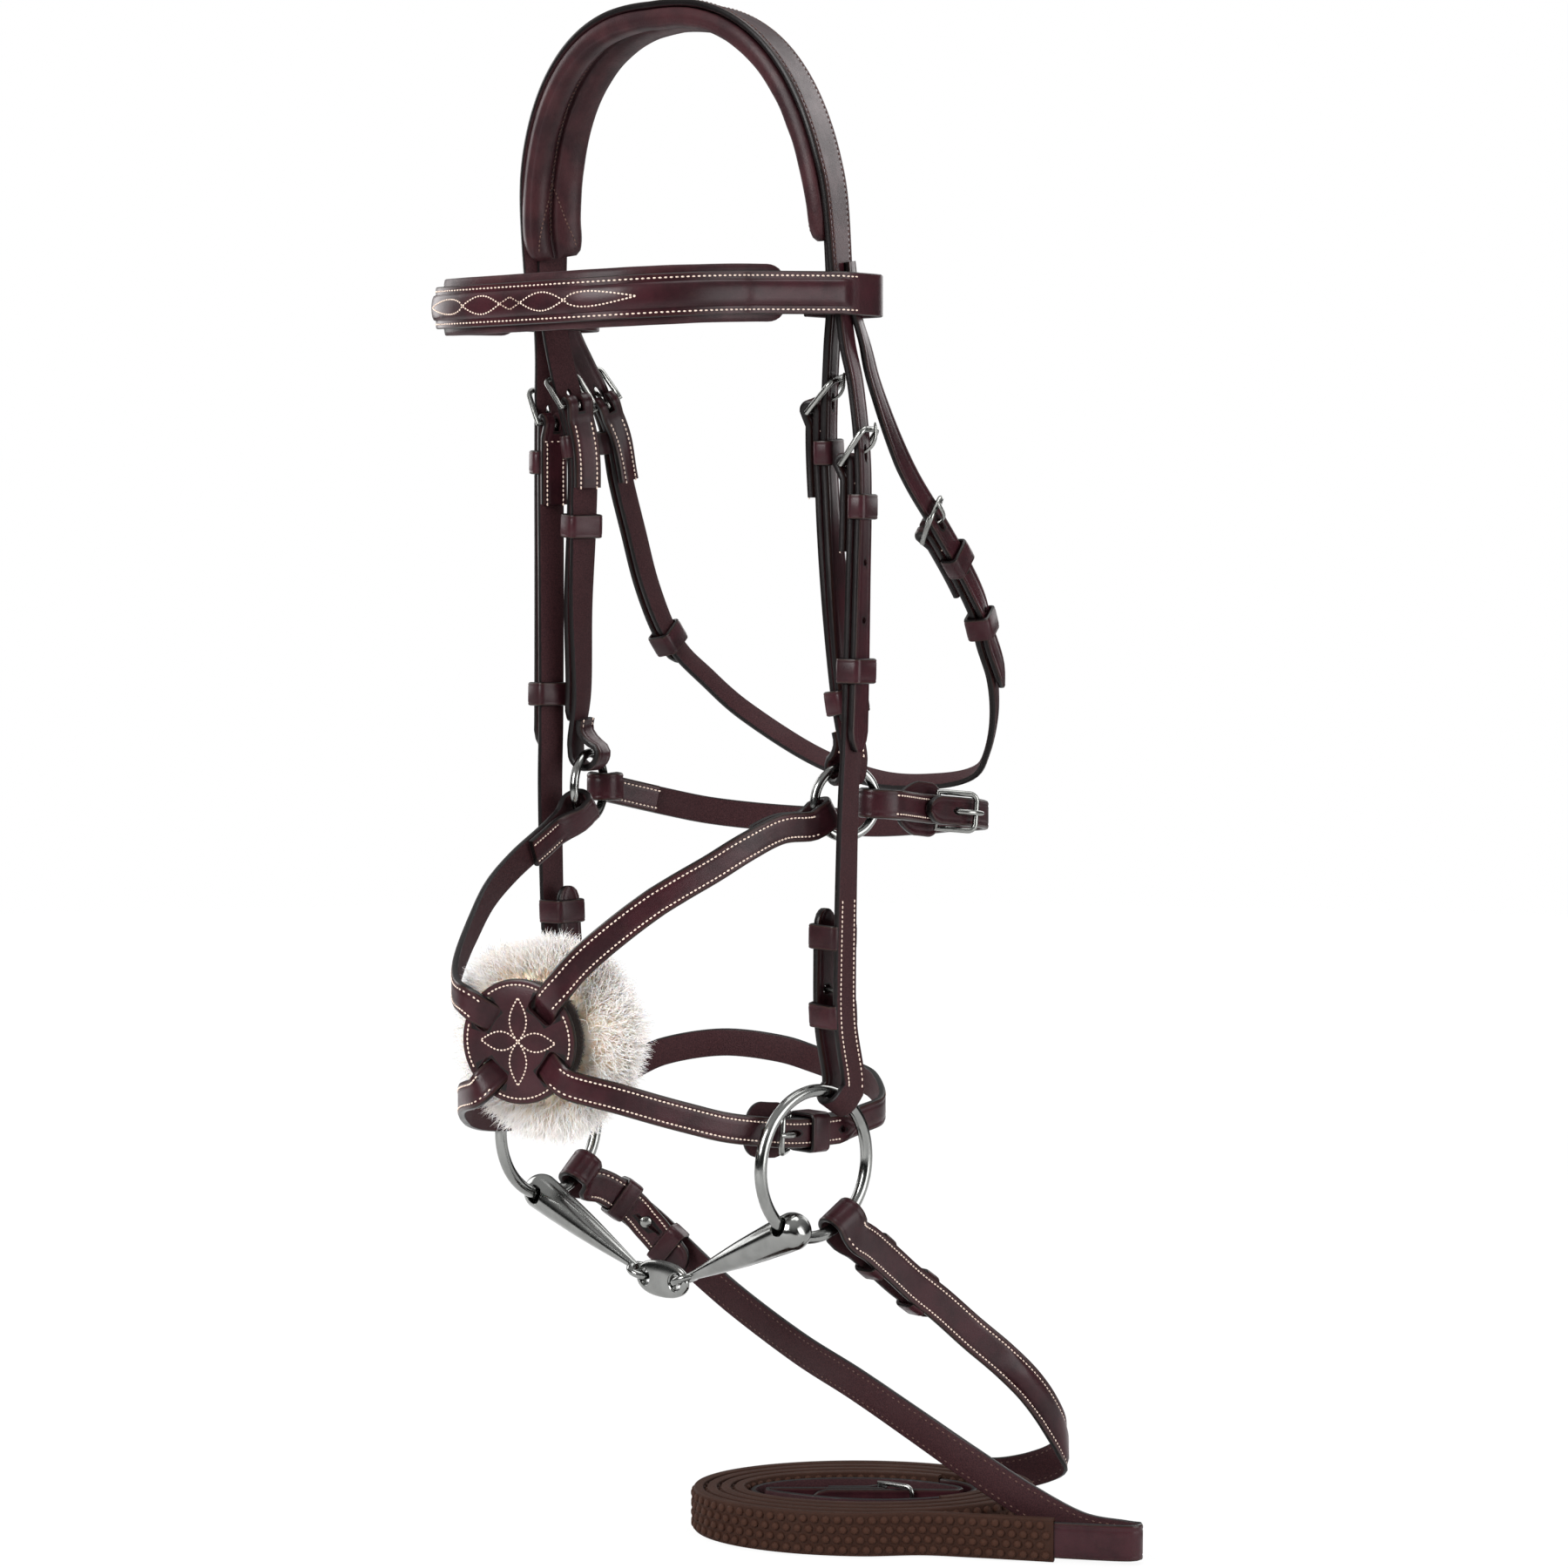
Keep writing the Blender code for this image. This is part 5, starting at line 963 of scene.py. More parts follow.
def rubber_finish(name):
    """Moulded rubber, matt, with random dusty patches, painted lighter on its pimples' tops and left dark between them
    as painted shade.
    """
    made, tree, shader, where = new_material(name, 0.72)
    skin = noise_node(tree, where, 1600.0, 4.0, 0.65)
    dust = noise_node(tree, where, 60.0, 4.0)
    # The pimples' height share: it drives the painted shade in the valleys between the pimples and the lighter tops.
    top = attribute(tree, "grain")
    colour = mix_node(tree, ramp_node(tree, skin, 0.3, 0.7), (0.022, 0.0078, 0.0042, 1), (*RUBBER, 1))
    colour = mix_node(tree, ramp_node(tree, dust, 0.48, 0.75, 0.0, 0.35), colour, (0.044, 0.020, 0.013, 1))
    # Painted shade: the valleys between the pimples keep the dark colour and the tops are lightened.
    colour = mix_node(tree, math_node(tree, "MULTIPLY", top, 0.45), colour, (0.056, 0.0215, 0.0120, 1))
    put(tree, shader, "Base Color", colour)
    put(tree, shader, "Roughness", ramp_node(tree, skin, 0.3, 0.7, 0.62, 0.82))
    shader.inputs["Specular IOR Level"].default_value = 0.16
    bump(tree, shader, skin, 0.00006)
    return made


def wool_finish(name):
    """Sheepskin: cream at the tips, warmer and darker towards the skin."""
    made, tree, shader, where = new_material(name, 0.92)
    tips = attribute(tree, "tip")
    locks = noise_node(tree, where, 190.0, 3.0)
    fibres = noise_node(tree, where, 1500.0, 3.0, 0.7)
    root = mix_node(tree, ramp_node(tree, locks, 0.35, 0.7), (0.93, 0.74, 0.56, 1), (0.95, 0.86, 0.74, 1))
    light = mix_node(tree, ramp_node(tree, fibres, 0.3, 0.7), (0.97, 0.91, 0.87, 1), (1.0, 0.97, 0.95, 1))
    colour = mix_node(tree, ramp_node(tree, tips, 0.05, 0.75), root, light)
    put(tree, shader, "Base Color", colour)
    put(tree, shader, "Roughness", ramp_node(tree, fibres, 0.3, 0.7, 0.80, 0.96))
    shader.inputs["Sheen Weight"].default_value = 0.35
    shader.inputs["Sheen Roughness"].default_value = 0.6
    shader.inputs["Subsurface Weight"].default_value = 0.30
    shader.inputs["Subsurface Scale"].default_value = 0.004
    bump(tree, shader, fibres, 0.0003)
    return made


def felt_finish(name):
    """The dark fuzzy backing behind the nose disc."""
    made, tree, shader, where = new_material(name, 0.95)
    fibres = noise_node(tree, where, 1300.0, 5.0, 0.75)
    share = ramp_node(tree, fibres, 0.3, 0.7)
    put(tree, shader, "Base Color", mix_node(tree, share, (0.010, 0.007, 0.006, 1), (0.045, 0.026, 0.020, 1)))
    put(tree, shader, "Roughness", ramp_node(tree, fibres, 0.3, 0.7, 0.85, 0.99))
    shader.inputs["Sheen Weight"].default_value = 0.4
    bump(tree, shader, fibres, 0.0004)
    return made


STRAP = strap_leather("bridle leather")
LINING = strap_leather("soft padding leather", 1100.0, 0.44, 0.00009, (0.040, 0.0118, 0.0142))
KEEPER_LEATHER = strap_leather("keeper leather", 1700.0, 0.32, 0.00004)
THREAD = thread_finish("cream thread", CREAM, (0.52, 0.38, 0.29))
DARK_THREAD = thread_finish("brown thread", BROWN_THREAD, (0.040, 0.018, 0.013))
RING_STEEL = steel_finish("ring steel", 0.13)
BUCKLE_STEEL = steel_finish("buckle steel", 0.20, (0.27, 0.272, 0.26))
GRIP = rubber_finish("grip rubber")
FLEECE_WOOL = wool_finish("sheepskin wool")
FELT = felt_finish("backing felt")


def loft(mesh, sections, grains, closed=False):
    """Adds a body through outlines of equal count to the mesh, and marks each corner's share of grain."""
    layer = mesh.verts.layers.float.get("grain") or mesh.verts.layers.float.new("grain")
    by_section = grains if isinstance(grains[0], list) else [grains] * len(sections)
    first = [mesh.verts.new(point) for point in sections[0]]
    for corner, grain in zip(first, by_section[0]):
        corner[layer] = grain
    face = mesh.faces.new(first)
    for section, shares in zip(sections[1:], by_section[1:]):
        face = bmesh.ops.extrude_discrete_faces(mesh, faces=[face])["faces"][0]
        for corner, point, grain in zip(face.verts, section, shares):
            corner.co = point
            corner[layer] = grain
    if closed:
        last = list(face.verts)
        bmesh.ops.delete(mesh, geom=[face], context="FACES_ONLY")
        rows = list(zip(last, first))
        for (one, two), (three, four) in zip(rows, rows[1:] + rows[:1]):
            mesh.faces.new((one, three, four, two))
    else:
        mesh.faces.new(first)


def finished(name, mesh, finish, *nodes, body="bridle", slot="leather", cutters=None, smooth=SHARP):
    """The named piece from its mesh, on its body, standing for these CAD nodes."""
    bmesh.ops.recalc_face_normals(mesh, faces=mesh.faces)
    data = bpy.data.meshes.new(name)
    mesh.to_mesh(data)
    mesh.free()
    made = bpy.data.objects.new(name, data)
    bpy.context.scene.collection.objects.link(made)
    if cutters is not None:
        carve(made, cutters)
    made.data.materials.clear()
    made.data.materials.append(finish)
    made.data.shade_smooth()
    made.data.set_sharp_from_angle(angle=smooth)
    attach(made, body)
    if nodes:
        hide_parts(*nodes)
    return made


def carve(base, cutters):
    """Cuts the cutters' mesh out of the base."""
    bmesh.ops.recalc_face_normals(cutters, faces=cutters.faces)
    data = bpy.data.meshes.new("cutter")
    cutters.to_mesh(data)
    cutters.free()
    tool = bpy.data.objects.new("cutter", data)
    bpy.context.scene.collection.objects.link(tool)
    cut = base.modifiers.new("cut", "BOOLEAN")
    cut.operation = "DIFFERENCE"
    cut.solver = "EXACT"
    cut.object = tool
    graph = bpy.context.evaluated_depsgraph_get()
    result = bpy.data.meshes.new_from_object(base.evaluated_get(graph))
    base.modifiers.clear()
    base.data = result
    bpy.data.objects.remove(tool, do_unlink=True)


def finer(stations, step=FINE):
    """The stations of a strap close enough for a smooth surface."""
    made = [stations[0]]
    for first, last in zip(stations, stations[1:]):
        reach = max(abs(last.along - first.along), abs(last.lift - first.lift))
        count = max(1, math.ceil(reach / step))
        for index in range(1, count + 1):
            share = index / count
            eased = share * share * (3 - 2 * share) if reach > STRAP_STEP * 0.6 else share
            along, _, low, high = [a + (b - a) * share for a, b in zip(first, last)]
            made.append(Station(along, first.lift + (last.lift - first.lift) * eased, low, high))
    return made


def eased(stations, passes=5):
    """The stations with their heights evened out between neighbours, for a strap that dips through slots."""
    for _ in range(passes):
        lifts = [item.lift for item in stations]
        for index in range(1, len(stations) - 1):
            if abs(stations[index + 1].along - stations[index - 1].along) > FINE:
                lift = (lifts[index - 1] + lifts[index] * 2 + lifts[index + 1]) / 4
                stations[index] = stations[index]._replace(lift=lift)
    return stations


def strap_outline(low, high, half, dome=0.0):
    """A strap's rounded outline across it: across, rise and share of grain, round from its flesh side."""
    soft = min(half * ROUND_ENDS, (high - low) / 5)
    inset = min(CREASE_INSET, (high - low) / 3.2)
    middle = (low + high) / 2
    flat = [(low + soft, -half, 0.0), (middle, -half, 0.0), (high - soft, -half, 0.0)]
    edge = [(-soft * 0.3, -half * 0.8, 0.15), (0.0, -half * 0.35, 0.45)]
    edge += [(0.0, half * 0.35, 0.55), (-soft * 0.3, half * 0.78, 0.80)]
    edge += [(-soft * 1.2, half, 0.97), (-inset + CREASE_WIDTH, half, 1.0), (-inset, half - CREASE_DEPTH, 1.0)]
    edge += [(-inset - CREASE_WIDTH, half + dome * 0.35, 1.0), (-inset * 1.9, half + dome * 0.85, 1.0)]
    right = [(high + across, rise, grain) for across, rise, grain in edge]
    left = [(low - across, rise, grain) for across, rise, grain in reversed(edge)]
    return flat + right + [(middle, half + dome, 1.0)] + left


def band(mesh, route, stations, thick, dome=0.0):
    """Adds a strap along its stations to the mesh, with rounded edges and a creased border."""
    frames = [route.frame(station.along) for station in stations]
    middles = [point + out * station.lift for (point, _, out, _), station in zip(frames, stations)]
    sections = []
    for index, (station, (_, _, _, side)) in enumerate(zip(stations, frames)):
        ahead = (middles[min(index + 1, len(middles) - 1)] - middles[max(index - 1, 0)]).normalized()
        rise = side.cross(ahead).normalized()
        raised = dome(station.along) if callable(dome) else dome
        outline = strap_outline(station.low, station.high, thick / 2, raised)
        sections.append([middles[index] + side * across + rise * lift for across, lift, _ in outline])
    loft(mesh, sections, [grain for _, _, grain in outline])


def keeper(mesh, route, along, width, bottom, top, height=KEEPER_HEIGHT):
    """Adds a leather loop across a strap to the mesh."""
    point, ahead, out, side = route.frame(along)
    half = width / 2 + GAP
    corner = KEEPER_WALL * 0.8
    reach = height / 2
    wall = [(-reach * 0.96, 0.0, 0.0), (reach * 0.96, 0.0, 0.0), (reach, 0.35, 0.4), (reach * 0.94, 0.85, 0.8)]
    wall += [(reach * 0.82, 0.98, 0.97), (reach * 0.74, 0.90, 1.0), (reach * 0.64, 1.0, 1.0), (0.0, 1.0, 1.0)]
    wall += [(-reach * 0.64, 1.0, 1.0), (-reach * 0.74, 0.90, 1.0), (-reach * 0.82, 0.98, 0.97)]
    wall += [(-reach * 0.94, 0.85, 0.8), (-reach, 0.35, 0.4)]
    sections = []
    turns = ((half - corner, bottom + corner, -90), (half - corner, top - corner, 0))
    turns += ((corner - half, top - corner, 90), (corner - half, bottom + corner, 180))
    for across, lift, start in turns:
        for step in range(5):
            turn = math.radians(start + 22.5 * step)
            normal = side * math.cos(turn) + out * math.sin(turn)
            base = point + side * across + out * lift + normal * corner
            sections.append([base + ahead * forward + normal * KEEPER_WALL * rise for forward, rise, _ in wall])
    loft(mesh, sections, [grain for _, _, grain in wall], closed=True)


def stitch(mesh, point, ahead, out, side, length=STITCH_LENGTH, wide=STITCH_WIDE, high=STITCH_HIGH):
    """Adds one stitch to the mesh, sunk a little in the leather."""
    matrix = Matrix.Identity(4)
    for column, (way, size) in enumerate(((ahead, length / 2), (side, wide / 2), (out, high / 2))):
        for row in range(3):
            matrix[row][column] = way[row] * size
    for row in range(3):
        matrix[row][3] = point[row]
    bmesh.ops.create_icosphere(mesh, subdivisions=1, radius=1, matrix=matrix)


def stitch_row(mesh, route, start, end, lift, across, pitch=STITCH_PITCH):
    """Adds a row of stitches along a strap, at this height over its centre line."""
    count = max(1, round(abs(end - start) / pitch))
    for index in range(count + 1):
        point, ahead, out, side = route.frame(start + (end - start) * index / count)
        stitch(mesh, point + out * lift + side * across, ahead, out, side)


def stitch_line(mesh, points, out, length=STITCH_LENGTH, pitch=STITCH_PITCH):
    """Adds stitches along a line of points whose face looks along out, given once or for each point."""
    marks = [0.0]
    for first, second in zip(points, points[1:]):
        marks.append(marks[-1] + (second - first).length)
    count = max(1, round(marks[-1] / pitch))
    for index in range(count):
        along = marks[-1] * (index + 0.5) / count
        where = min(max(bisect_left(marks, along), 1), len(marks) - 1)
        share = (along - marks[where - 1]) / (marks[where] - marks[where - 1])
        point = points[where - 1].lerp(points[where], share)
        ahead = (points[where] - points[where - 1]).normalized()
        face = out(point) if callable(out) else out
        side = ahead.cross(face).normalized()
        stitch(mesh, point, ahead, side.cross(ahead), side, length)


def rod(mesh, start, end, radius, sides=16, second=None):
    """Adds a straight round bar to the mesh, or one wider along a second way."""
    axis = (end - start).normalized()
    across, wide = (axis.orthogonal().normalized(), radius) if second is None else second
    other = axis.cross(across)
    sections = []
    for point in (start, end):
        sections.append(
            [point + across * wide * math.cos(turn) + other * radius * math.sin(turn) for turn in turns(sides)]
        )
    loft(mesh, sections, [0.5] * sides)


def hole(mesh, route, along, lift, radius=HOLE_RADIUS, long=None):
    """Adds a cutter for a hole through a strap to the mesh."""
    point, ahead, out, _ = route.frame(along)
    middle = point + out * lift
    rod(mesh, middle - out * 0.003, middle + out * 0.003, radius, 14, None if long is None else (ahead, long))


def tongue_opening(mesh, route, along, heading, lift):
    middle = along - heading * BUCKLE_REACH * TONGUE_HOLE_MIDDLE_SHARE
    hole(mesh, route, middle, lift, TONGUE_WIDTH / 2 + GAP, BUCKLE_REACH * TONGUE_HOLE_REACH_SHARE)


def fold_slot(mesh, route, along, heading, lift=0.0, wire=BUCKLE_WIRE, thick=STRAP_THICK):
    """Adds a cutter for the slot in a folded end that the tongue moves in."""
    eye = wire / 2 + GAP * 2 + TONGUE_THICK
    front = buckle_lift(wire, thick) + thick / 2 + 0.004
    middle = along + heading * (eye - front) / 2
    point, ahead, out, side = route.frame(middle)
    reach = (eye + front) / 2
    wide = TONGUE_WIDTH / 2 + GAP
    low = lift - buckle_lift(wire, thick) * 2 - thick / 2 - 0.004
    high = lift + thick / 2 + 0.001
    corners = ((-1, -1), (1, -1), (1, 1), (-1, 1))
    sections = [
        [point + ahead * reach * one + side * wide * two + out * depth for one, two in corners]
        for depth in (low, high)
    ]
    loft(mesh, sections, [0.5] * 4)


def wire_body(mesh, path, wire, sides=14):
    """Adds a closed round wire through the points of a flat path to the mesh."""
    count = len(path)
    middle = sum(path, Vector()) / count
    flat = (path[0] - middle).cross(path[1] - middle).normalized()
    sections = []
    for index, point in enumerate(path):
        other = (path[(index + 1) % count] - path[index - 1]).normalized().cross(flat)
        sections.append([point + polar(flat, other, turn) * wire / 2 for turn in turns(sides)])
    loft(mesh, sections, [1.0] * sides, closed=True)


def turned_body(mesh, centre, axis, profile, sides=40):
    """Adds a turned body to the mesh from its distances along the axis and its radii."""
    across = axis.orthogonal().normalized()
    other = axis.cross(across)
    sections = [
        disc_points(centre + axis * along, across, other, max(radius, 0.00002), sides)
        for along, radius in profile
    ]
    loft(mesh, sections, [1.0] * sides)


def smooth_profile(profile, steps=6):
    """A profile with more points, on a smooth curve through the given ones."""
    points = [Vector((along, radius, 0)) for along, radius in profile]
    curve = smooth_through(points)
    return [(point.x, point.y) for point in curve[:: max(1, ROUTE_SUBSTEPS // steps)]] + [profile[-1]]


def buckle(route, along, heading, name, width=STRAP_WIDTH, lift=0.0, wire=BUCKLE_WIRE, thick=STRAP_THICK):
    """The frame and tongue of one buckle, whose bar is at this length of the route."""
    point, ahead, out, side = route.frame(along)
    bar = point + out * (lift - buckle_lift(wire, thick))
    rest = thick + GAP + thick / 2 + REST_GAP + wire / 2 + buckle_lift(wire, thick)
    toward = -ahead * heading
    slope = toward * BUCKLE_REACH + out * rest
    way = slope.normalized()
    half = width / 2 + GAP + wire / 2
    reach = slope.length
    corner = BUCKLE_CORNER
    outline = [(half, 0.0), (half, reach * 0.25), (half, reach * 0.5)]
    for across, start in ((half - corner, 0), (corner - half, 90)):
        for step in range(7):
            turn = math.radians(start + 15 * step)
            outline.append((across + corner * math.cos(turn), reach - corner + corner * math.sin(turn)))
    outline += [(-half, reach * 0.5), (-half, reach * 0.25)]
    outline += [(-half, 0.0), (-half / 2, 0.0), (0.0, 0.0), (half / 2, 0.0)]
    mesh = bmesh.new()
    wire_body(mesh, [bar + side * across + way * forward for across, forward in outline], wire, 16)
    node = name % "buckle"
    finished(node + "_frame", mesh, BUCKLE_STEEL, node, slot="steel")
    mesh = bmesh.new()
    tongue_body(mesh, bar, toward, out, side, rest, wire)
    node = name % "tongue"
    finished(node + "_pin", mesh, BUCKLE_STEEL, node, body=node, slot="steel")


def tongue_body(mesh, bar, toward, out, side, rest, wire):
    """Adds the buckle's tongue to the mesh: its eye round the bar and its pin to the frame."""
    eye = wire / 2 + GAP + TONGUE_THICK / 2
    top = rest + wire / 2 + GAP + TONGUE_THICK / 2
    path = [(eye * math.cos(angle), eye * math.sin(angle)) for angle in TONGUE_EYE_ANGLES]
    path += [(BUCKLE_REACH * forward, eye + (top - eye) * climb) for forward, climb in TONGUE_CLIMB_SHARES]
    path.append((BUCKLE_REACH + wire / 2 + TONGUE_OVERHANG, top))
    rough = [bar + toward * forward + out * height for forward, height in path]
    points = smooth_through(rough)[:: ROUTE_SUBSTEPS // 3]
    if (points[-1] - rough[-1]).length > 0.0001:
        points.append(rough[-1])
    sections = []
    for index, point in enumerate(points):
        ahead = (points[min(index + 1, len(points) - 1)] - points[max(index - 1, 0)]).normalized()
        rise = side.cross(ahead) * TONGUE_THICK / 2
        left = len(points) - 1 - index
        taper = (0.45, 0.8, 0.95)[left] if left < 3 else 1.0
        wide = side * TONGUE_WIDTH / 2
        sections.append([point + polar(wide, rise, turn) * taper for turn in turns(12)])
    loft(mesh, sections, [1.0] * 12)


def hook_stud(name, route, along, start, under, thick=STRAP_THICK):
    """The stud that hooks a turned-back end."""
    point, _, out, _ = route.frame(along)
    head = under - thick / 2 - GAP - start
    foot = ((0.0, 0.0), (0.0, 0.9), (-0.25, 1.0), (-0.6, 0.9))
    dome = ((-0.2, 0.95), (-0.55, 1.0), (-0.85, 0.7), (-1.0, 0.2), (-1.0, 0.0))
    profile = [(STUD_HEAD_THICK * deep, STUD_HEAD * wide) for deep, wide in foot]
    profile += [(-STUD_HEAD_THICK, STUD_SHANK), (head, STUD_SHANK)]
    profile += [(head + STUD_HEAD_THICK * deep, STUD_HEAD * wide) for deep, wide in dome]
    mesh = bmesh.new()
    turned_body(mesh, point + out * start, out, profile, 20)
    finished(name + "_turned", mesh, BUCKLE_STEEL, name, slot="steel")


def strap(name, route, stations, *nodes, thick=STRAP_THICK, dome=0.0, cuts=()):
    """A finished strap of bridle leather, with its holes, slots and tongue openings."""
    mesh = bmesh.new()
    band(mesh, route, stations, thick, dome)
    cutters = bmesh.new() if cuts else None
    for cut, *values in cuts:
        cut(cutters, route, *values)
    return finished(name, mesh, STRAP, *nodes, cutters=cutters)


def loops(name, route, sizes, *nodes, body="bridle"):
    """Finished leather keepers, each from its place, width, bottom, top and perhaps height."""
    mesh = bmesh.new()
    for size in sizes:
        keeper(mesh, route, *size)
    finished(name, mesh, KEEPER_LEATHER, *nodes, body=body)


def rows(mesh, route, start, end, lift=0.0, width=STRAP_WIDTH):
    """Adds the two rows of stitches along a strap's borders, or under a turned-back layer, to the mesh."""
    over = lift + (STRAP_THICK / 2 - STITCH_SUNK) * (-1 if lift < 0 else 1)
    for across in (-1, 1):
        stitch_row(mesh, route, start, end, over, across * (width / 2 - STITCH_INSET))


def cross_row(mesh, route, along, lift, width):
    """Adds a short bar of stitches across a strap to the mesh."""
    point, ahead, out, side = route.frame(along)
    for index in range(4):
        across = width * (index / 3 - 0.5) * 0.72
        stitch(mesh, point + out * lift + side * across, side, out, ahead, STITCH_LENGTH * 0.95)


def chape_rows(mesh, route, bar, heading, width=STRAP_WIDTH):
    """Adds a buckle chape's stitches to the mesh: two rows underneath and a bar of them on top."""
    rows(mesh, route, bar + heading * CHAPE_ROWS_BACK, bar + heading * CHAPE_BACK, -LAYER, width)
    cross_row(mesh, route, bar + heading * CROSS_ROW_BACK, STRAP_THICK / 2, width)


def sewn(name, mesh, finish=THREAD):
    """The named stitching from its mesh."""
    finished(name, mesh, finish, smooth=math.radians(90))


def dress_cheek(route, label, side):
    """One cheekpiece: its sewn chape with the buckle, its keepers, its runner and its hooked end."""
    heading = -side
    bar = route.at_drop(CHEEK_BUCKLE_DROPS, side)
    ring_at = 0.0 if side == LEFT else route.length
    upper = fold_end(bar, heading, buckle_lift(), CHAPE_BACK)
    lower = rounded_return(fold_end(ring_at, side, BIT_FOLD_RADIUS, CHEEK_RETURN, under=-RETURN_DROP))
    middle = run(bar + heading * STRAP_STEP / 2, ring_at + side * STRAP_STEP / 2)
    stud_at = ring_at + side * STUD_SPACING
    cuts = ((fold_slot, bar, heading), (hole, stud_at, -RETURN_DROP, STUD_HOLE))
    stations = finer(upper + middle + lower[::-1])
    strap(f"cheekpiece_{label}_strap", route, stations, f"cheekpiece_{label}", cuts=cuts)
    top = LAYER + STRAP_THICK / 2 + GAP * 2
    low = -RETURN_DROP - STRAP_THICK / 2 - GAP
    keepers = [(bar + heading * KEEPER_SETBACK, STRAP_WIDTH, keeper_foot(), top)]
    for share in CHEEK_KEEPER_SHARES:
        keepers.append((ring_at + side * CHEEK_RETURN * share, STRAP_WIDTH, low, -keeper_foot(), RUNNER_HEIGHT))
    loops(f"cheekpiece_{label}_keepers", route, keepers)
    mesh = bmesh.new()
    rows(mesh, route, ring_at + side * 0.006, ring_at + side * (CHEEK_RETURN + 0.004))
    chape_rows(mesh, route, bar, heading)
    cross_row(mesh, route, bar + heading * CROSS_ROW_BACK, -LAYER - STRAP_THICK / 2, STRAP_WIDTH)
    sewn(f"cheekpiece_{label}_stitching", mesh)
    buckle(route, bar, heading, f"cheek_%s_{label}")
    slide(f"cheek_runner_{label}", route, route.at_drop(CHEEK_RUNNER_DROPS, side))
    hook_stud(f"cheek_hook_stud_{label}", route, stud_at, -STRAP_THICK / 2 - GAP, -RETURN_DROP)


def slide(name, route, along, width=STRAP_WIDTH):
    """A loose runner round a strap's two layers."""
    slack = STRAP_THICK / 2 + GAP * 3
    size = (along, width + GAP * 2, -slack, LAYER + slack, RUNNER_HEIGHT)
    loops(name + "_loop", route, [size], name, body=name)


def dress_hanger(route, label, side):
    """One hanger of the noseband, from its buckle to its ring."""
    heading = -side
    bar = route.at_drop(HANGER_BUCKLE_DROPS, side)
    ring_at = 0.0 if side == LEFT else route.length
    upper = fold_end(bar, heading, buckle_lift(), CHAPE_BACK)
    lower = fold_end(ring_at, side, NOSE_FOLD_RADIUS, HANGER_RETURN)
    middle = run(bar + heading * STRAP_STEP / 2, ring_at + side * STRAP_STEP / 2)
    stations = finer(upper + middle + lower[::-1])
    cuts = [(fold_slot, bar, heading)]
    strap(f"hanger_{label}_strap", route, stations, f"noseband_hanger_{label}", cuts=cuts)
    size = (bar + heading * KEEPER_SETBACK, STRAP_WIDTH, keeper_foot(), LAYER + STRAP_THICK / 2 + GAP * 3)
    loops(f"hanger_{label}_keeper", route, [size])
    mesh = bmesh.new()
    chape_rows(mesh, route, bar, heading)
    rows(mesh, route, ring_at + side * 0.005, ring_at + side * (HANGER_RETURN + 0.012))
    rows(mesh, route, ring_at + side * 0.008, ring_at + side * HANGER_RETURN, -LAYER)
    sewn(f"hanger_{label}_stitching", mesh)
    buckle(route, bar, heading, f"hanger_%s_{label}")
    slide(f"hanger_runner_{label}", route, route.at_drop(HANGER_RUNNER_DROPS, side))


def dress_crown(route, throat):
    """The poll strap with its two cheek billets and two throat billets."""
    near_tip, off_tip = [route.at_drop(CHEEK_TIP_DROPS, side) for side in (LEFT, RIGHT)]
    near_split, off_split = [route.at_drop(SPLIT_DROPS, side) for side in (LEFT, RIGHT)]
    stations = tip(near_tip, -1, LAYER)[::-1]
    stations += run(near_tip + TIP_LENGTH * 2, near_split - GAP, LAYER)
    stations += crown_wide(near_split, off_split)
    stations += run(off_split + GAP, off_tip - TIP_LENGTH * 2, LAYER)
    stations += tip(off_tip, 1, LAYER)
    cuts = []
    for label, side in SIDES:
        bar = route.at_drop(CHEEK_BUCKLE_DROPS, side)
        cuts.append((tongue_opening, bar, -side, LAYER))
        cuts += [(hole, bar - side * (CHEEK_HOLE_START + HOLE_PITCH * step), LAYER) for step in range(3)]
    strap("crown_strap_leather", route, finer(stations), "crown_strap", thick=CROWN_THICK, cuts=cuts)
    for label, side in SIDES:
        start = 0.0 if side == LEFT else throat.length
        end = throat.at_drop(THROAT_TIP_DROPS, side)
        tail = run(start, end - side * TIP_LENGTH * 2, THROAT_LIFT, THROAT_WIDTH)
        tail += tip(end, side, THROAT_LIFT, THROAT_WIDTH)
        bar = throat.at_drop(THROAT_BUCKLE_DROPS, side)
        cuts = [(tongue_opening, bar, side, THROAT_LIFT)]
        cuts += [(hole, bar + side * HOLE_PITCH * step, THROAT_LIFT) for step in (1, 2)]
        strap(f"throat_billet_{label}", throat, finer(tail), thick=THROAT_BILLET_THICK, cuts=cuts)
    mesh = bmesh.new()
    for index in range(151):
        share = index / 150
        point, ahead, out, across = route.frame(near_split + (off_split - near_split) * share)
        point += out * (LAYER + CROWN_THICK / 2)
        for way in (-1, 1):
            edge = across * way * (crown_width(share) / 2 - STITCH_INSET * 1.25)
            stitch(mesh, point + edge, ahead, out, across)
    sewn("crown_strap_stitching", mesh, DARK_THREAD)


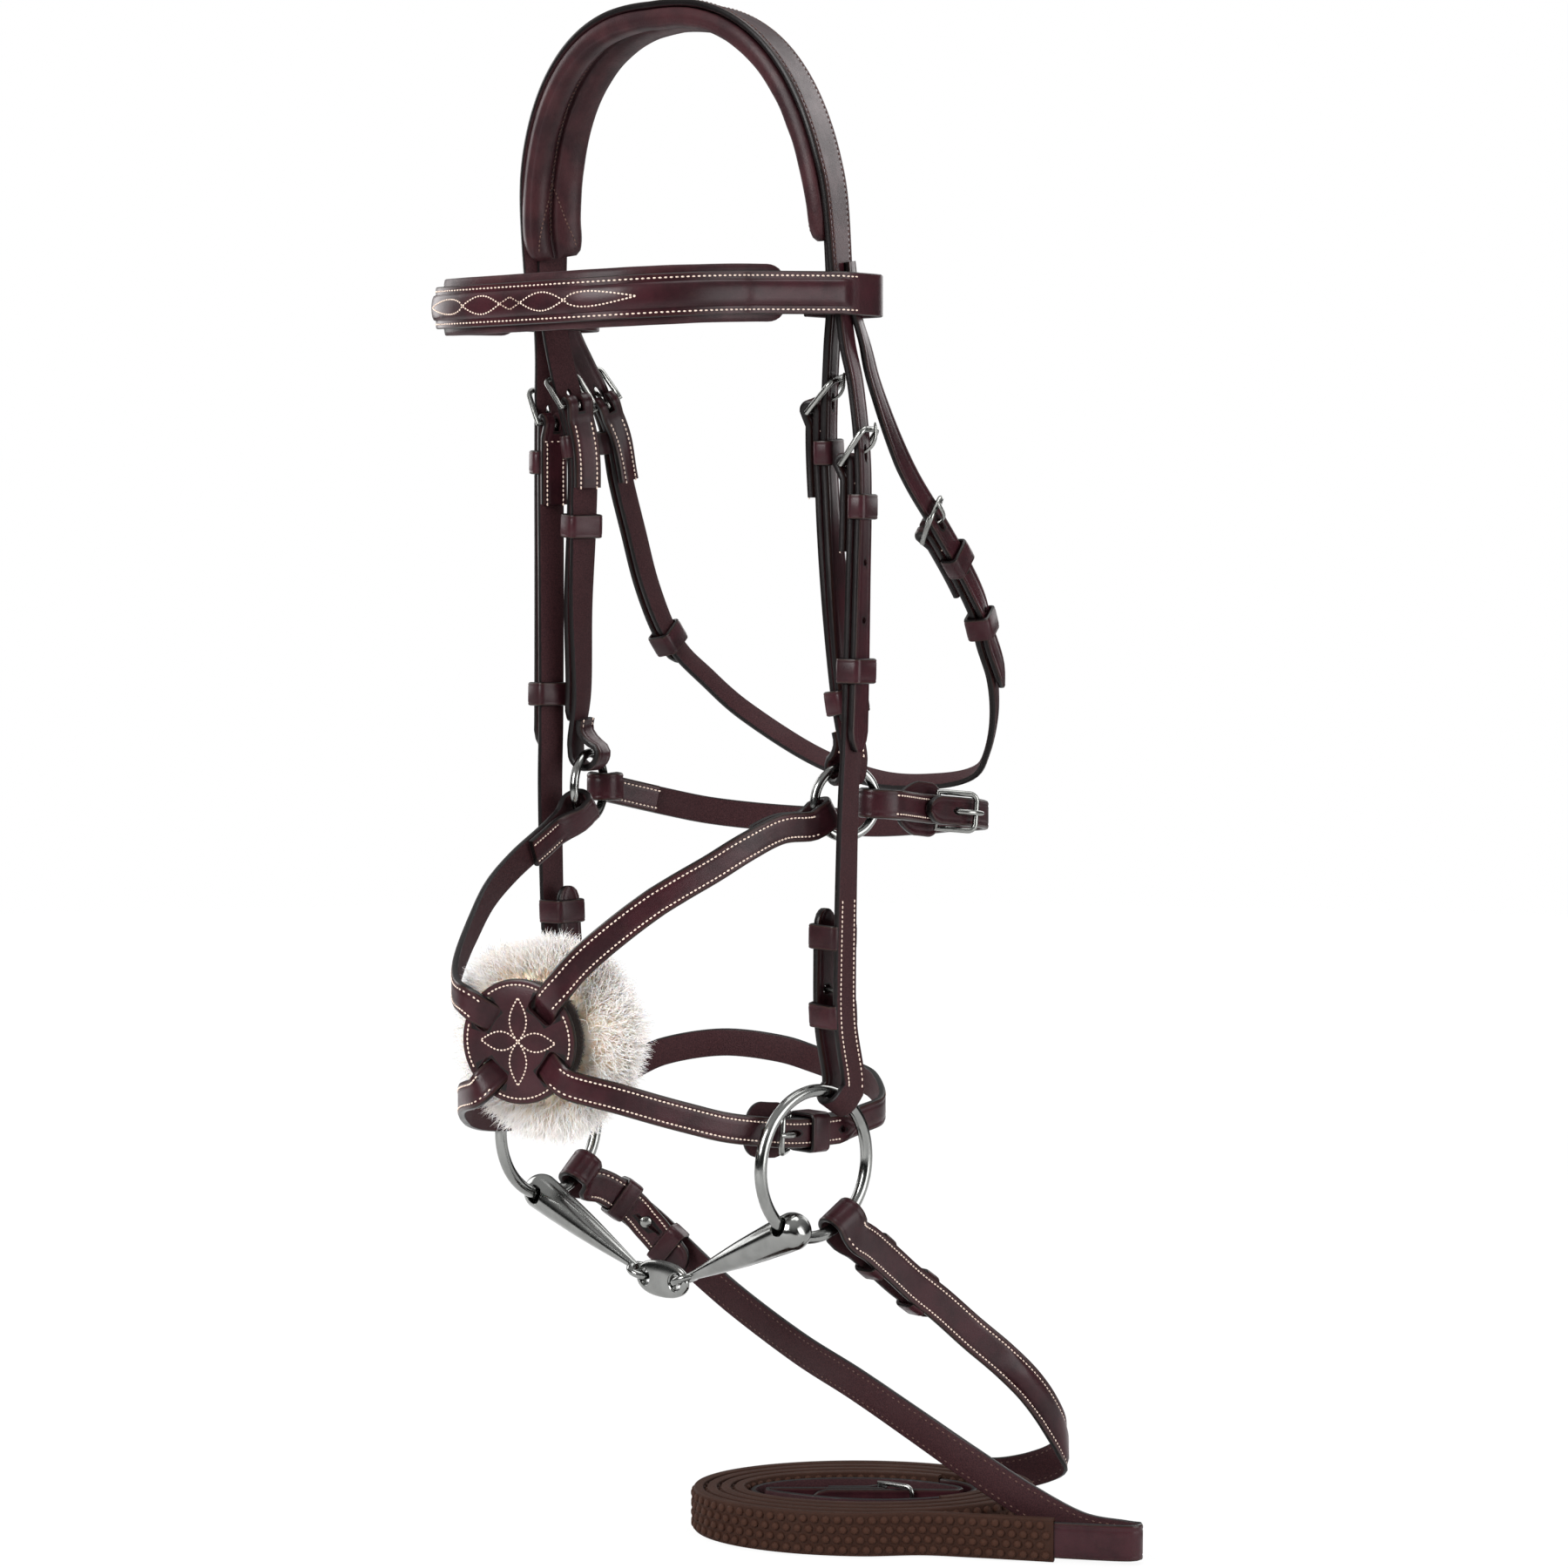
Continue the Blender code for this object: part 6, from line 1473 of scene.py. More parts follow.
def dress_headstrap(route):
    """The noseband's own headstrap, under the crown strap."""
    near_tip, off_tip = [route.at_drop(HANGER_TIP_DROPS, side) for side in (LEFT, RIGHT)]
    stations = tip(near_tip, -1, LAYER)[::-1]
    stations += run(near_tip + TIP_LENGTH * 2, off_tip - TIP_LENGTH * 2, LAYER) + tip(off_tip, 1, LAYER)
    cuts = [(tongue_opening, route.at_drop(HANGER_BUCKLE_DROPS, side), -side, LAYER) for side in (LEFT, RIGHT)]
    strap("headstrap_leather", route, finer(stations), "noseband_headstrap", cuts=cuts)


def dress_rings():
    """The two small noseband rings and the two loose bit rings."""
    sets = (
        ("noseband_ring", NOSE_RING_SHARES, NOSE_RING_YAW, NOSE_RING_OUTER, NOSE_RING_WIRE),
        ("bit_ring", BIT_RING_SHARES, BIT_RING_YAW, BIT_RING_OUTER, BIT_RING_WIRE),
    )
    for prefix, shares, yaw, outer, wire in sets:
        for label, side in SIDES:
            centre = mirrored([place(shares)], side)[0]
            across = Vector((math.sin(yaw) * side, math.cos(yaw), 0))
            mesh = bmesh.new()
            wire_body(mesh, disc_points(centre, across, UP, (outer - wire) / 2, 96), wire, 18)
            name = f"{prefix}_{label}"
            finished(name + "_wire", mesh, RING_STEEL, name, body=name, slot="steel")


def dress_mouthpiece():
    """The two tapered cannons and the lozenge."""
    bores = [bit_ring_point(side, angle)[0] for (_, side), angle in zip(SIDES, CANNON_ANGLES)]
    level = Vector((bores[0].x - bores[1].x, bores[0].y - bores[1].y, 0)).normalized()
    swing = UP.cross(level)
    middle = (bores[0] + bores[1]) / 2 - UP * CANNON_DROP
    sides = 56
    outline = []
    for index in range(sides):
        turn = math.tau * (index + 0.5) / sides
        outline.append(superellipse(turn, LOZENGE_LENGTH / 2, LOZENGE_HEIGHT / 2, LOZENGE_SQUARENESS))
    back = [(-1.14, 0.34), (-1.12, 0.46), (-1.05, 0.62), (-0.96, 0.78)]
    back += [(-0.84, 0.90), (-0.62, 0.97), (-0.30, 1.0)]
    layers = back + [(-depth, scale) for depth, scale in reversed(back)]
    sections = [
        [middle + (level * x + UP * z) * scale + swing * depth * LOZENGE_THICK / 2 for x, z in outline]
        for depth, scale in layers
    ]
    mesh = bmesh.new()
    loft(mesh, sections, [1.0] * sides)
    cutters = bmesh.new()
    for end in (-1, 1):
        centre = middle + level * LOZENGE_PITCH / 2 * end
        turned_body(cutters, centre, swing, hourglass(LOZENGE_HOLE, LOZENGE_THICK / 2, 0.004), 32)
    node = "bit_lozenge"
    finished(node + "_link", mesh, RING_STEEL, node, body=node, slot="steel", cutters=cutters)
    for (label, side), bore, angle in zip(SIDES, bores, CANNON_ANGLES):
        joint = middle + level * side * LOZENGE_PITCH / 2
        dress_cannon(f"bit_cannon_{label}", side, bore, joint, angle, swing)


def hourglass(radius, half, reach):
    """The profile of a hole whose rims are eased outwards."""
    ease = 0.0006
    profile = [(-reach, radius + ease * 1.6), (-half, radius + ease)]
    profile += [(-half + ease * 0.5, radius + ease * 0.25), (-half + ease, radius)]
    return profile + [(-along, wide) for along, wide in reversed(profile)]


def dress_cannon(node, side, bore, joint, angle, swing):
    """One arm of the mouthpiece, drilled for its ring and hooked into the lozenge."""
    axis = (joint - bore).normalized()
    neck_end = (joint - bore).length - EYE_RADIUS * 2 + EYE_WIRE / 2
    profile = [(CANNON_HEAD_LENGTH * along, CANNON_HEAD * wide) for along, wide in CANNON_HEAD_SHARES]
    profile += [(neck_end * along, CANNON_HEAD * wide) for along, wide in CANNON_PROFILE_SHARES]
    profile.append((neck_end, CANNON_NECK))
    profile = [(profile[0][0] - 0.0003, CANNON_HEAD * 0.18)] + smooth_profile(profile, 6)
    mesh = bmesh.new()
    turned_body(mesh, bore, axis, profile, 44)
    level = Vector((math.sin(BIT_RING_YAW) * side, math.cos(BIT_RING_YAW), 0))
    cutters = bmesh.new()
    bore_profile = hourglass(CANNON_BORE, CANNON_HEAD * 0.86, CANNON_HEAD * 1.6)
    turned_body(cutters, bore, polar(UP, -level, angle), bore_profile, 32)
    finished(node + "_arm", mesh, RING_STEEL, node, body=node, slot="steel", cutters=cutters)
    mesh = bmesh.new()
    wire_body(mesh, disc_points(joint - axis * EYE_RADIUS, axis, swing, EYE_RADIUS, 40), EYE_WIRE, 16)
    finished(node + "_eye", mesh, RING_STEEL, body=node, slot="steel")


def dress_cross_straps():
    """The two straps of the figure eight, with the chin buckle."""
    _, upper, lower, _, _ = disc_stack()
    middle = place(DISC_SHARES)
    near = near_cross_route()
    off = off_cross_route()
    bar = off.nearest(place(CHIN_BUCKLE_SHARES))
    buckle_bar = near.nearest(off.centre(bar))
    start = fold_end(0.0, 1, NOSE_FOLD_RADIUS, CHAPE_BACK)
    body = dipped(run(STRAP_STEP / 2, buckle_bar - STRAP_STEP * 5), near.nearest(middle), lower)
    body += run(buckle_bar - STRAP_STEP * 4, buckle_bar - STRAP_STEP / 2, -LAYER)
    end = fold_end(buckle_bar, -1, buckle_lift(), CHAPE_BACK, -LAYER, under=-LAYER * 2)[::-1]
    cuts = [(fold_slot, buckle_bar, -1, -LAYER)]
    strap("cross_strap_left_leather", near, eased(finer(start + body + end)), "cross_strap_left", cuts=cuts)
    billet_end = bar + CHIN_TIP
    body = dipped(run(STRAP_STEP / 2, billet_end - TIP_LENGTH * 2), off.nearest(middle), upper)
    end = tip(billet_end, 1, 0.0)
    cuts = [(tongue_opening, bar, 1, 0.0), (hole, bar - CHIN_HOLE_BACK, 0.0)]
    cuts += [(hole, bar + CHIN_HOLE_START + CHIN_HOLE_PITCH * step, 0.0) for step in range(2)]
    strap("cross_strap_right_leather", off, eased(finer(start + body + end)), "cross_strap_right", cuts=cuts)
    buckle(off, bar, 1, "chin_%s", lift=-LAYER)
    low = -LAYER * 2 - STRAP_THICK / 2 - GAP * 4
    size = (bar + CHIN_KEEPER_SETBACK, STRAP_WIDTH + GAP * 2, low, STRAP_THICK / 2 + GAP * 2)
    loops("chin_keeper_loop", off, [size], "chin_keeper")
    dress_safe("chin_safe", off, bar, 1, -LAYER * 2 - buckle_lift() - BUCKLE_WIRE / 2)
    slot_reach = SLOT_CENTRE + SLOT_LENGTH / 2 + 0.001
    mesh = bmesh.new()
    for route, stop in ((near, buckle_bar - STRAP_STEP * 6), (off, billet_end - 0.010)):
        crossing = route.nearest(middle)
        rows(mesh, route, 0.006, crossing - slot_reach)
        rows(mesh, route, crossing + slot_reach, stop)
        rows(mesh, route, 0.009, CHAPE_BACK - 0.001, -LAYER)
    sewn("cross_straps_stitching", mesh)


def dress_safe(name, route, bar, heading, lift):
    """The rounded leather under a buckle."""
    start = bar + heading * CHAPE_FLARE
    middle = lift - SAFE_THICK / 2 - GAP
    stations = []
    for along, wide in smooth_profile(SAFE_SHARES, 4):
        half = SAFE_WIDTH / 2 * min(wide, 1)
        stations.append(Station(start - heading * SAFE_LENGTH * along, middle, -half, half))
    strap(name + "_leather", route, stations, name, thick=SAFE_THICK)


def dress_jowl():
    """The strap round the back of the jaw, its chape, buckle and safe."""
    points = nose_leave(LEFT, JOWL_ANGLE) + through(JOWL_PATH) + nose_leave(RIGHT, JOWL_ANGLE)[::-1]
    route = Route(points, facing_level(1))
    bar = JOWL_BUCKLE_SETBACK - BUCKLE_REACH
    stations = fold_end(0.0, 1, NOSE_FOLD_RADIUS, JOWL_CHAPE_BACK) + run(STRAP_STEP / 2, bar - STRAP_STEP / 2)
    stations += fold_end(bar, -1, buckle_lift(), JOWL_CHAPE_BACK)[::-1]
    strap("jowl_chape_leather", route, finer(stations), "jowl_chape", cuts=[(fold_slot, bar, -1)])
    over = LAYER + GAP
    stations = tip(JOWL_TIP_SETBACK, -1, over)[::-1]
    stations += run(JOWL_TIP_SETBACK + TIP_LENGTH * 2, bar + STRAP_STEP * 4, over)
    stations += run(bar + STRAP_STEP * 6, route.length - STRAP_STEP / 2)
    stations += fold_end(route.length, -1, NOSE_FOLD_RADIUS, CHAPE_BACK)[::-1]
    cuts = [(tongue_opening, bar, -1, LAYER)]
    cuts += [(hole, bar + JOWL_HOLE_START + HOLE_PITCH * step, LAYER / 2) for step in range(2)]
    strap("jowl_strap_leather", route, finer(stations), "jowl_strap", cuts=cuts)
    buckle(route, bar, -1, "jowl_%s")
    dress_safe("jowl_safe", route, bar - CHAPE_FLARE, -1, -LAYER - buckle_lift() - BUCKLE_WIRE / 2)
    mesh = bmesh.new()
    rows(mesh, route, 0.006, bar - 0.008)
    rows(mesh, route, route.length - 0.006, route.length - CHAPE_BACK)
    rows(mesh, route, route.length - 0.009, route.length - CHAPE_BACK, -LAYER)
    sewn("jowl_stitching", mesh)


def dress_throat(route):
    """The throatlatch with a buckle at both sides."""
    near, off = [route.at_drop(THROAT_BUCKLE_DROPS, side) for side in (LEFT, RIGHT)]
    stations = fold_end(near, 1, buckle_lift(), CHAPE_BACK, width=THROAT_WIDTH)
    stations += run(near + STRAP_STEP / 2, off - STRAP_STEP / 2, width=THROAT_WIDTH)
    stations += fold_end(off, -1, buckle_lift(), CHAPE_BACK, width=THROAT_WIDTH)[::-1]
    top = LAYER + STRAP_THICK / 2 + GAP * 3
    cuts = []
    keepers = []
    threads = bmesh.new()
    for bar, (label, side) in zip((near, off), SIDES):
        cuts.append((fold_slot, bar, side))
        keepers.append((bar + side * KEEPER_SETBACK, THROAT_WIDTH + GAP * 2, keeper_foot(), top))
        chape_rows(threads, route, bar, side, THROAT_WIDTH)
        buckle(route, bar, side, f"throat_%s_{label}", THROAT_WIDTH)
    strap("throatlatch_leather", route, finer(stations), "throatlatch", cuts=cuts)
    loops("throatlatch_keepers", route, keepers)
    sewn("throatlatch_stitching", threads)
    for label, side in SIDES:
        slide(f"throat_runner_{label}", route, route.at_drop(THROAT_RUNNER_DROPS, side), THROAT_WIDTH)


def dress_disc():
    """The disc on the nose with its slots, and the felt behind it."""
    top, _, _, backing, _ = disc_stack()
    middle, across, up, face = disc_frame()
    layers = ((-1.0, 0.965, 0.0), (-0.85, 0.99, 0.2), (-0.5, 1.0, 0.5), (-0.15, 0.99, 0.8), (0.0, 0.965, 0.97))
    layers += ((0.0, 0.93, 1.0), (-0.1, 0.905, 1.0), (0.0, 0.88, 1.0), (0.08, 0.5, 1.0))
    mesh = bmesh.new()
    sections = []
    for depth, scale, _ in layers:
        centre = middle - face * (top - DISC_THICK * depth)
        sections.append(disc_points(centre, across, up, DISC_RADIUS * scale, 96))
    loft(mesh, sections, [[grain] * 96 for _, _, grain in layers])
    cutters = bmesh.new()
    for angle in (UPPER_CROSS_ANGLE, LOWER_CROSS_ANGLE):
        way = polar(across, up, angle)
        over = face.cross(way)
        corners = rounded_rectangle(SLOT_LENGTH / 2 + SLOT_SPARE, STRAP_WIDTH / 2 + GAP, 0.0026, 6)
        for end in (-1, 1):
            centre = middle + way * SLOT_CENTRE * end
            outline = [centre + way * first + over * second for first, second in corners]
            sections = [[point + face * depth for point in outline] for depth in (0.004, -0.0075)]
            loft(cutters, sections, [0.5] * len(outline))
    finished("nose_disc_leather", mesh, STRAP, "nose_disc", cutters=cutters)
    disc_flower(middle - face * (top - 0.00012), across, up, face)
    mesh = bmesh.new()
    sections = []
    for depth, scale in ((-1.0, 0.96), (-0.8, 0.99), (-0.5, 1.0), (-0.2, 0.99), (0.0, 0.96)):
        centre = middle - face * (backing - DISC_THICK * depth)
        sections.append(disc_points(centre, across, up, BACKING_RADIUS * 0.90 * scale, 72))
    loft(mesh, sections, [1.0] * 72)
    finished("disc_backing_felt", mesh, FELT, "disc_backing")
    mesh = bmesh.new()
    rough = random.Random(5)
    hairs = []
    for turn in turns(700):
        way = polar(across, up, turn)
        base = middle - face * (backing + DISC_THICK * rough.random()) + way * BACKING_RADIUS * 0.885
        lean = way + face * rough.uniform(-0.5, 0.7) + polar(up, -across, turn) * rough.uniform(-0.8, 0.8)
        hairs.append((base, lean.normalized(), rough.uniform(0.0008, 0.0018), 0.00012))
    tufts(mesh, hairs, rough)
    finished("disc_backing_fuzz", mesh, FELT)


def disc_flower(front, across, up, face):
    """The disc's stitches: a round row broken at the slots, and a flower of four petals."""
    mesh = bmesh.new()
    gap_turn = math.atan2(STRAP_WIDTH / 2 + 0.002, SLOT_CENTRE + SLOT_LENGTH / 2)
    slots = (UPPER_CROSS_ANGLE, LOWER_CROSS_ANGLE)
    openings = [angle + half_turn for angle in slots for half_turn in (0, math.pi)]
    for turn in turns(78):
        nearest = min(abs(math.remainder(turn - opening, math.tau)) for opening in openings)
        if nearest > gap_turn * 0.90:
            way = polar(across, up, turn)
            stitch(mesh, front + way * DISC_RADIUS * 0.905, polar(up, -across, turn), face, way)
    for petal, turn in enumerate(turns(4)):
        way = polar(across, up, turn)
        beside = polar(up, -across, turn)
        reach = DISC_RADIUS * (0.70 if petal % 2 else 0.66)
        for bulge in (-1, 1):
            points = []
            for step in range(17):
                share = step / 16
                sideways = math.sin(math.pi * share ** 0.9) * DISC_RADIUS * 0.15 * bulge
                points.append(front + way * reach * share + beside * sideways + face * 0.0001)
            stitch_line(mesh, points, face, STITCH_LENGTH * 0.80, STITCH_PITCH * 0.78)
    sewn("nose_disc_stitching", mesh)


def tufts(mesh, hairs, rough, curl=0.35):
    """Adds bent hairs of three sides to the mesh, each given by its root, lean, length and width."""
    tip_layer = mesh.verts.layers.float.get("tip") or mesh.verts.layers.float.new("tip")
    number = mesh.faces.layers.int.get("hair") or mesh.faces.layers.int.new("hair")
    faces = []
    facts = []
    for index, (base, lean, length, wide) in enumerate(hairs):
        across = lean.orthogonal().normalized()
        other = lean.cross(across)
        sway = across * rough.uniform(-curl, curl) + other * rough.uniform(-curl, curl)
        turn = rough.uniform(0, math.tau)
        spokes = [polar(across, other, turn + third) * wide for third in turns(3)]
        corners = [mesh.verts.new(base + spoke) for spoke in spokes]
        faces.append(mesh.faces.new(corners))
        faces[-1][number] = index
        facts.append((base, lean * length, sway * length, spokes, corners))
    for share, thin in ((0.4, 0.9), (0.75, 0.62), (1.0, 0.12)):
        faces = bmesh.ops.extrude_discrete_faces(mesh, faces=faces)["faces"]
        for face in faces:
            base, reach, sway, spokes, _ = facts[face[number]]
            middle = base + reach * share + sway * share * share
            for corner, spoke in zip(face.verts, spokes):
                corner.co = middle + spoke * thin
                corner[tip_layer] = share
    for *_, corners in facts:
        mesh.faces.new(corners)


def fleece_radius(turn, base):
    """The uneven rim of the sheepskin."""
    waver = 0.030 * math.sin(turn * 3 + 0.6) + 0.022 * math.sin(turn * 5 + 1.9) + 0.014 * math.sin(turn * 9)
    return base * (1 + waver)


def dress_fleece():
    """The sheepskin behind the disc: a domed skin under thousands of wool locks."""
    fleece = disc_stack()[-1]
    middle, across, up, face = disc_frame()
    centre = middle + across * FLEECE_SHIFT
    rough = random.Random(11)
    profile = smooth_profile([(along, wide) for wide, along in FLEECE_PROFILE_SHARES], 4)

    def on_skin(turn, along, wide):
        radius = fleece_radius(turn, FLEECE_RADIUS * 0.82) * wide
        depth = fleece + 0.0012 + FLEECE_THICK * 0.86 * along
        return centre - face * depth + polar(across, up, turn) * max(radius, 0.00005)

    mesh = bmesh.new()
    loft(mesh, [[on_skin(turn, along, wide) for turn in turns(72)] for along, wide in profile], [1.0] * 72)
    hairs = []
    for _ in range(24000):
        turn = rough.uniform(0, math.tau)
        level = int(rough.random() ** 0.55 * (len(profile) - 2))
        (along, wide), (next_along, next_wide) = profile[level:level + 2]
        part = rough.random()
        base = on_skin(turn, along + (next_along - along) * part, wide + (next_wide - wide) * part)
        if (base - middle - face * (base - middle).dot(face)).length < DISC_RADIUS * 0.93:
            continue
        way = polar(across, up, turn)
        outward = (way * max(next_along - along, 0.05) + face * (next_wide - wide) * 0.7).normalized()
        ways = polar(up, -across, turn) * rough.uniform(-0.6, 0.6)
        ways += face * rough.uniform(-0.35, 0.45) + up * rough.uniform(-0.15, 0.25)
        lean = (outward + way * 0.45 + ways).normalized()
        hairs.append((base, lean, rough.uniform(0.0060, 0.0108), rough.uniform(0.00016, 0.00030)))
    tufts(mesh, hairs, rough, 0.6)
    made = finished("sheepskin_wool", mesh, FLEECE_WOOL, "sheepskin_pad", slot="fleece", smooth=math.radians(80))


def dress_browband():
    """The raised, padded browband with its looped ends and fancy stitching."""
    route = brow_route(0.0)
    stations = finer(run(0.0, route.length, 0.0, BROW_WIDTH, BROW_STEP), 0.0026)
    front_start = 0.074
    front_end = route.length - front_start
    for seam in (front_start - 0.0062, front_start - 0.0058, front_end + 0.0058, front_end + 0.0062):
        stations.append(stations[0]._replace(along=seam))
    stations.sort(key=lambda item: item.along)
    mesh = bmesh.new()
    frames = [route.frame(station.along) for station in stations]
    sections = []
    for station, (point, _, out, side) in zip(stations, frames):
        inside = min(station.along - front_start, front_end - station.along)
        rise = min(max(inside / 0.0085, 0), 1)
        outline = brow_outline(math.sqrt(rise * (2 - rise)), min(max((inside + 0.0062) / 0.0004, 0), 1))
        sections.append([point + side * across + out * lift for across, lift, _ in outline])
    loft(mesh, sections, [grain for _, _, grain in outline])
    finished("browband_leather", mesh, STRAP, "browband_strap")
    mesh = bmesh.new()
    edge = BROW_WIDTH / 2 - 0.0021
    over = -BROW_THICK / 2 + BROW_BASE + BROW_STEP_UP
    for across in (-1, 1):
        stitch_row(mesh, route, front_start - 0.004, front_end + 0.004, over, across * edge, pitch=0.0024)
    sewn("browband_edge_stitching", mesh)
    mesh = bmesh.new()
    fancy(mesh, route, front_start, front_end)
    sewn("browband_fancy_stitching", mesh)


def brow_outline(dome, laid_over):
    """The browband across: a flat rim along each side and a raised middle, a step above its loops."""
    half = BROW_WIDTH / 2
    low = -BROW_THICK / 2
    base = low + BROW_BASE + BROW_STEP_UP * laid_over
    soft = 0.0006
    rim = [(half - soft * 0.2, low + soft, 0.3), (half - soft * 0.2, base - soft, 0.6)]
    rim += [(half - soft, base, 0.97), (half - BROW_RIM * 0.8, base, 1.0)]
    outline = [(-half + soft, low, 0.0), (0.0, low, 0.0), (half - soft, low, 0.0)] + rim
    inner = half - BROW_RIM
    top = (BROW_THICK - BROW_BASE) * dome * 1.05
    for share in range(9):
        turn = math.pi * share / 8
        outline.append((inner * math.cos(turn), base + top * math.sin(turn) ** 0.75, 1.0))
    return outline + [(-across, lift, grain) for across, lift, grain in reversed(rim)]


def fancy(mesh, route, first, last):
    """Adds the fancy stitching at the front of the browband: a tail, lenses and a diamond, and a long tail."""
    top = -BROW_THICK / 2 + BROW_BASE + BROW_STEP_UP + (BROW_THICK - BROW_BASE) * 1.05
    middle = (first + last) / 2 - 0.0027
    shapes = []
    for way in (-1, 1):
        shapes.append((0.0, 0.0062, 0.0027, "diamond"))
        shapes.append((way * 0.0062, 0.0245, 0.0039, "lens"))
        shapes.append((way * 0.0307, 0.0320, 0.0032, "tail"))
    for start, length, tall, kind in shapes:
        way = -1 if start < 0 else 1
        spans = (-1, 1) if kind == "diamond" else (way,)
        for heading in spans:
            for bulge in (-1, 1):
                points = []
                for step in range(15):
                    share = step / 14
                    if kind == "diamond":
                        up_share = (1 - share) * bulge
                    elif kind == "lens":
                        up_share = math.sin(math.pi * share) * bulge
                    else:
                        up_share = math.sin(math.pi * share ** 0.62) * bulge
                    along = middle + start + heading * length * share
                    point, _, out, side = route.frame(along)
                    across = tall * up_share
                    lean = math.sqrt(1 - (across / (BROW_WIDTH / 2 - BROW_RIM)) ** 2) ** 0.75
                    drop = (BROW_THICK - BROW_BASE) * 1.05 * (1 - lean)
                    points.append(point + out * (top - drop) + side * across)
                stitch_line(mesh, points, lambda spot: route.frame(route.nearest(spot))[2], 0.0013, 0.0017)


def dress_paddings():
    """The soft rolls under the crown and behind the browband."""
    foot = ARCH_HALF * PAD_LEG_SHARE
    legs = [Vector((side * foot, ARCH_SETBACK, -POLL_RISE - PAD_END_DROP)) for side in (LEFT, RIGHT)]
    over = [point for point in arch_points(0.0) if point.z > legs[0].z + STRAP_STEP]
    route = Route([legs[0]] + over + [legs[1]], facing_sideways(LEG_TURN, BRIDLE_DROP))
    half = PAD_WIDTH / 2
    channel = PAD_CHANNEL / 2
    top = PAD_THICK + STRAP_THICK
    under = smooth_profile([(half * across, PAD_ROLL * lift) for across, lift in ROLL_SHARES], 4)
    right = [(half, PAD_THICK * 0.55), (half, PAD_THICK * 1.1)]
    right += [(half * 0.985, top - 0.0008), (half * PAD_TOP_SHARE, top)]
    right += [(channel + 0.0004, top), (channel, top - 0.0005), (channel, PAD_THICK)]
    left = [(-across, lift) for across, lift in reversed(right)]
    outline = under + right + left
    count = 150

    def skin(along, across, lift):
        ends = min(min(along, route.length - along) / 0.012, 1)
        pinch = math.sqrt(ends * (2 - ends))
        point, _, out, side = route.frame(along)
        crease = noise.noise(point * 90 + side * across * 60) * 0.00035 if lift < PAD_THICK * 0.6 else 0.0
        squeezed = PAD_THICK + (lift + crease - PAD_THICK) * (0.45 + 0.55 * pinch)
        return point + side * across * (0.72 + 0.28 * pinch) + out * squeezed

    sections = [
        [skin(route.length * index / count, across, lift) for across, lift in outline]
        for index in range(count + 1)
    ]
    mesh = bmesh.new()
    groove = (ROLL_SHARES[5][0] + ROLL_SHARES[6][0]) / 2
    points = [skin(route.length * index / 400, half * groove, PAD_ROLL * 0.80) for index in range(14, 387)]
    stitch_line(mesh, points, lambda spot: -route.frame(route.nearest(spot))[2])
    for start, way in ((0.0, 1), (route.length, -1)):
        for edge in (-0.78, 0.70):
            points = []
            for step in range(13):
                across = half * (groove + (edge - groove) * step / 12)
                lift = min(under, key=lambda item: abs(item[0] - across))[1]
                points.append(skin(start + way * (0.034 - 0.030 * step / 12), across, lift - 0.0001))
            stitch_line(mesh, points, lambda spot: -route.frame(route.nearest(spot))[2])
    sewn("crown_padding_stitching", mesh, DARK_THREAD)
    mesh = bmesh.new()
    loft(mesh, sections, [1.0] * len(outline))
    made = finished("crown_padding_roll", mesh, LINING, "crown_padding", slot="padding", smooth=math.radians(60))
    inner = brow_route(BROW_THICK / 2 + GAP + BROW_PAD_THICK / 2)
    wide = BROW_PAD_WIDTH / 2 * 1.08
    deep = BROW_PAD_THICK / 2
    rough = [(wide * across, deep * lift) for across, lift in BROW_PAD_SHARES]
    outline = rounded_loop(rough)
    sections = []
    count = 120
    for index in range(count + 1):
        share = index / count
        point, _, out, side = inner.frame(inner.length * share)
        ends = min(min(share, 1 - share) * inner.length / 0.011, 1)
        pinch = 0.30 + 0.70 * math.sqrt(ends * (2 - ends))
        waver = 1 + 0.012 * noise.noise(point * 70)
        deeper = min(1, pinch * 1.1)
        sections.append([point + side * across * pinch * waver + out * lift * deeper for across, lift in outline])
    mesh = bmesh.new()
    loft(mesh, sections, [1.0] * len(outline))
    made = finished("browband_padding_roll", mesh, LINING, "browband_padding", slot="padding", smooth=math.radians(60))


def rounded_loop(points, rounds=2):
    """A closed outline with its corners cut round."""
    for _ in range(rounds):
        made = []
        for first, second in zip(points, points[1:] + points[:1]):
            for share in (0.25, 0.75):
                across = first[0] + (second[0] - first[0]) * share
                made.append((across, first[1] + (second[1] - first[1]) * share))
        points = made
    return points


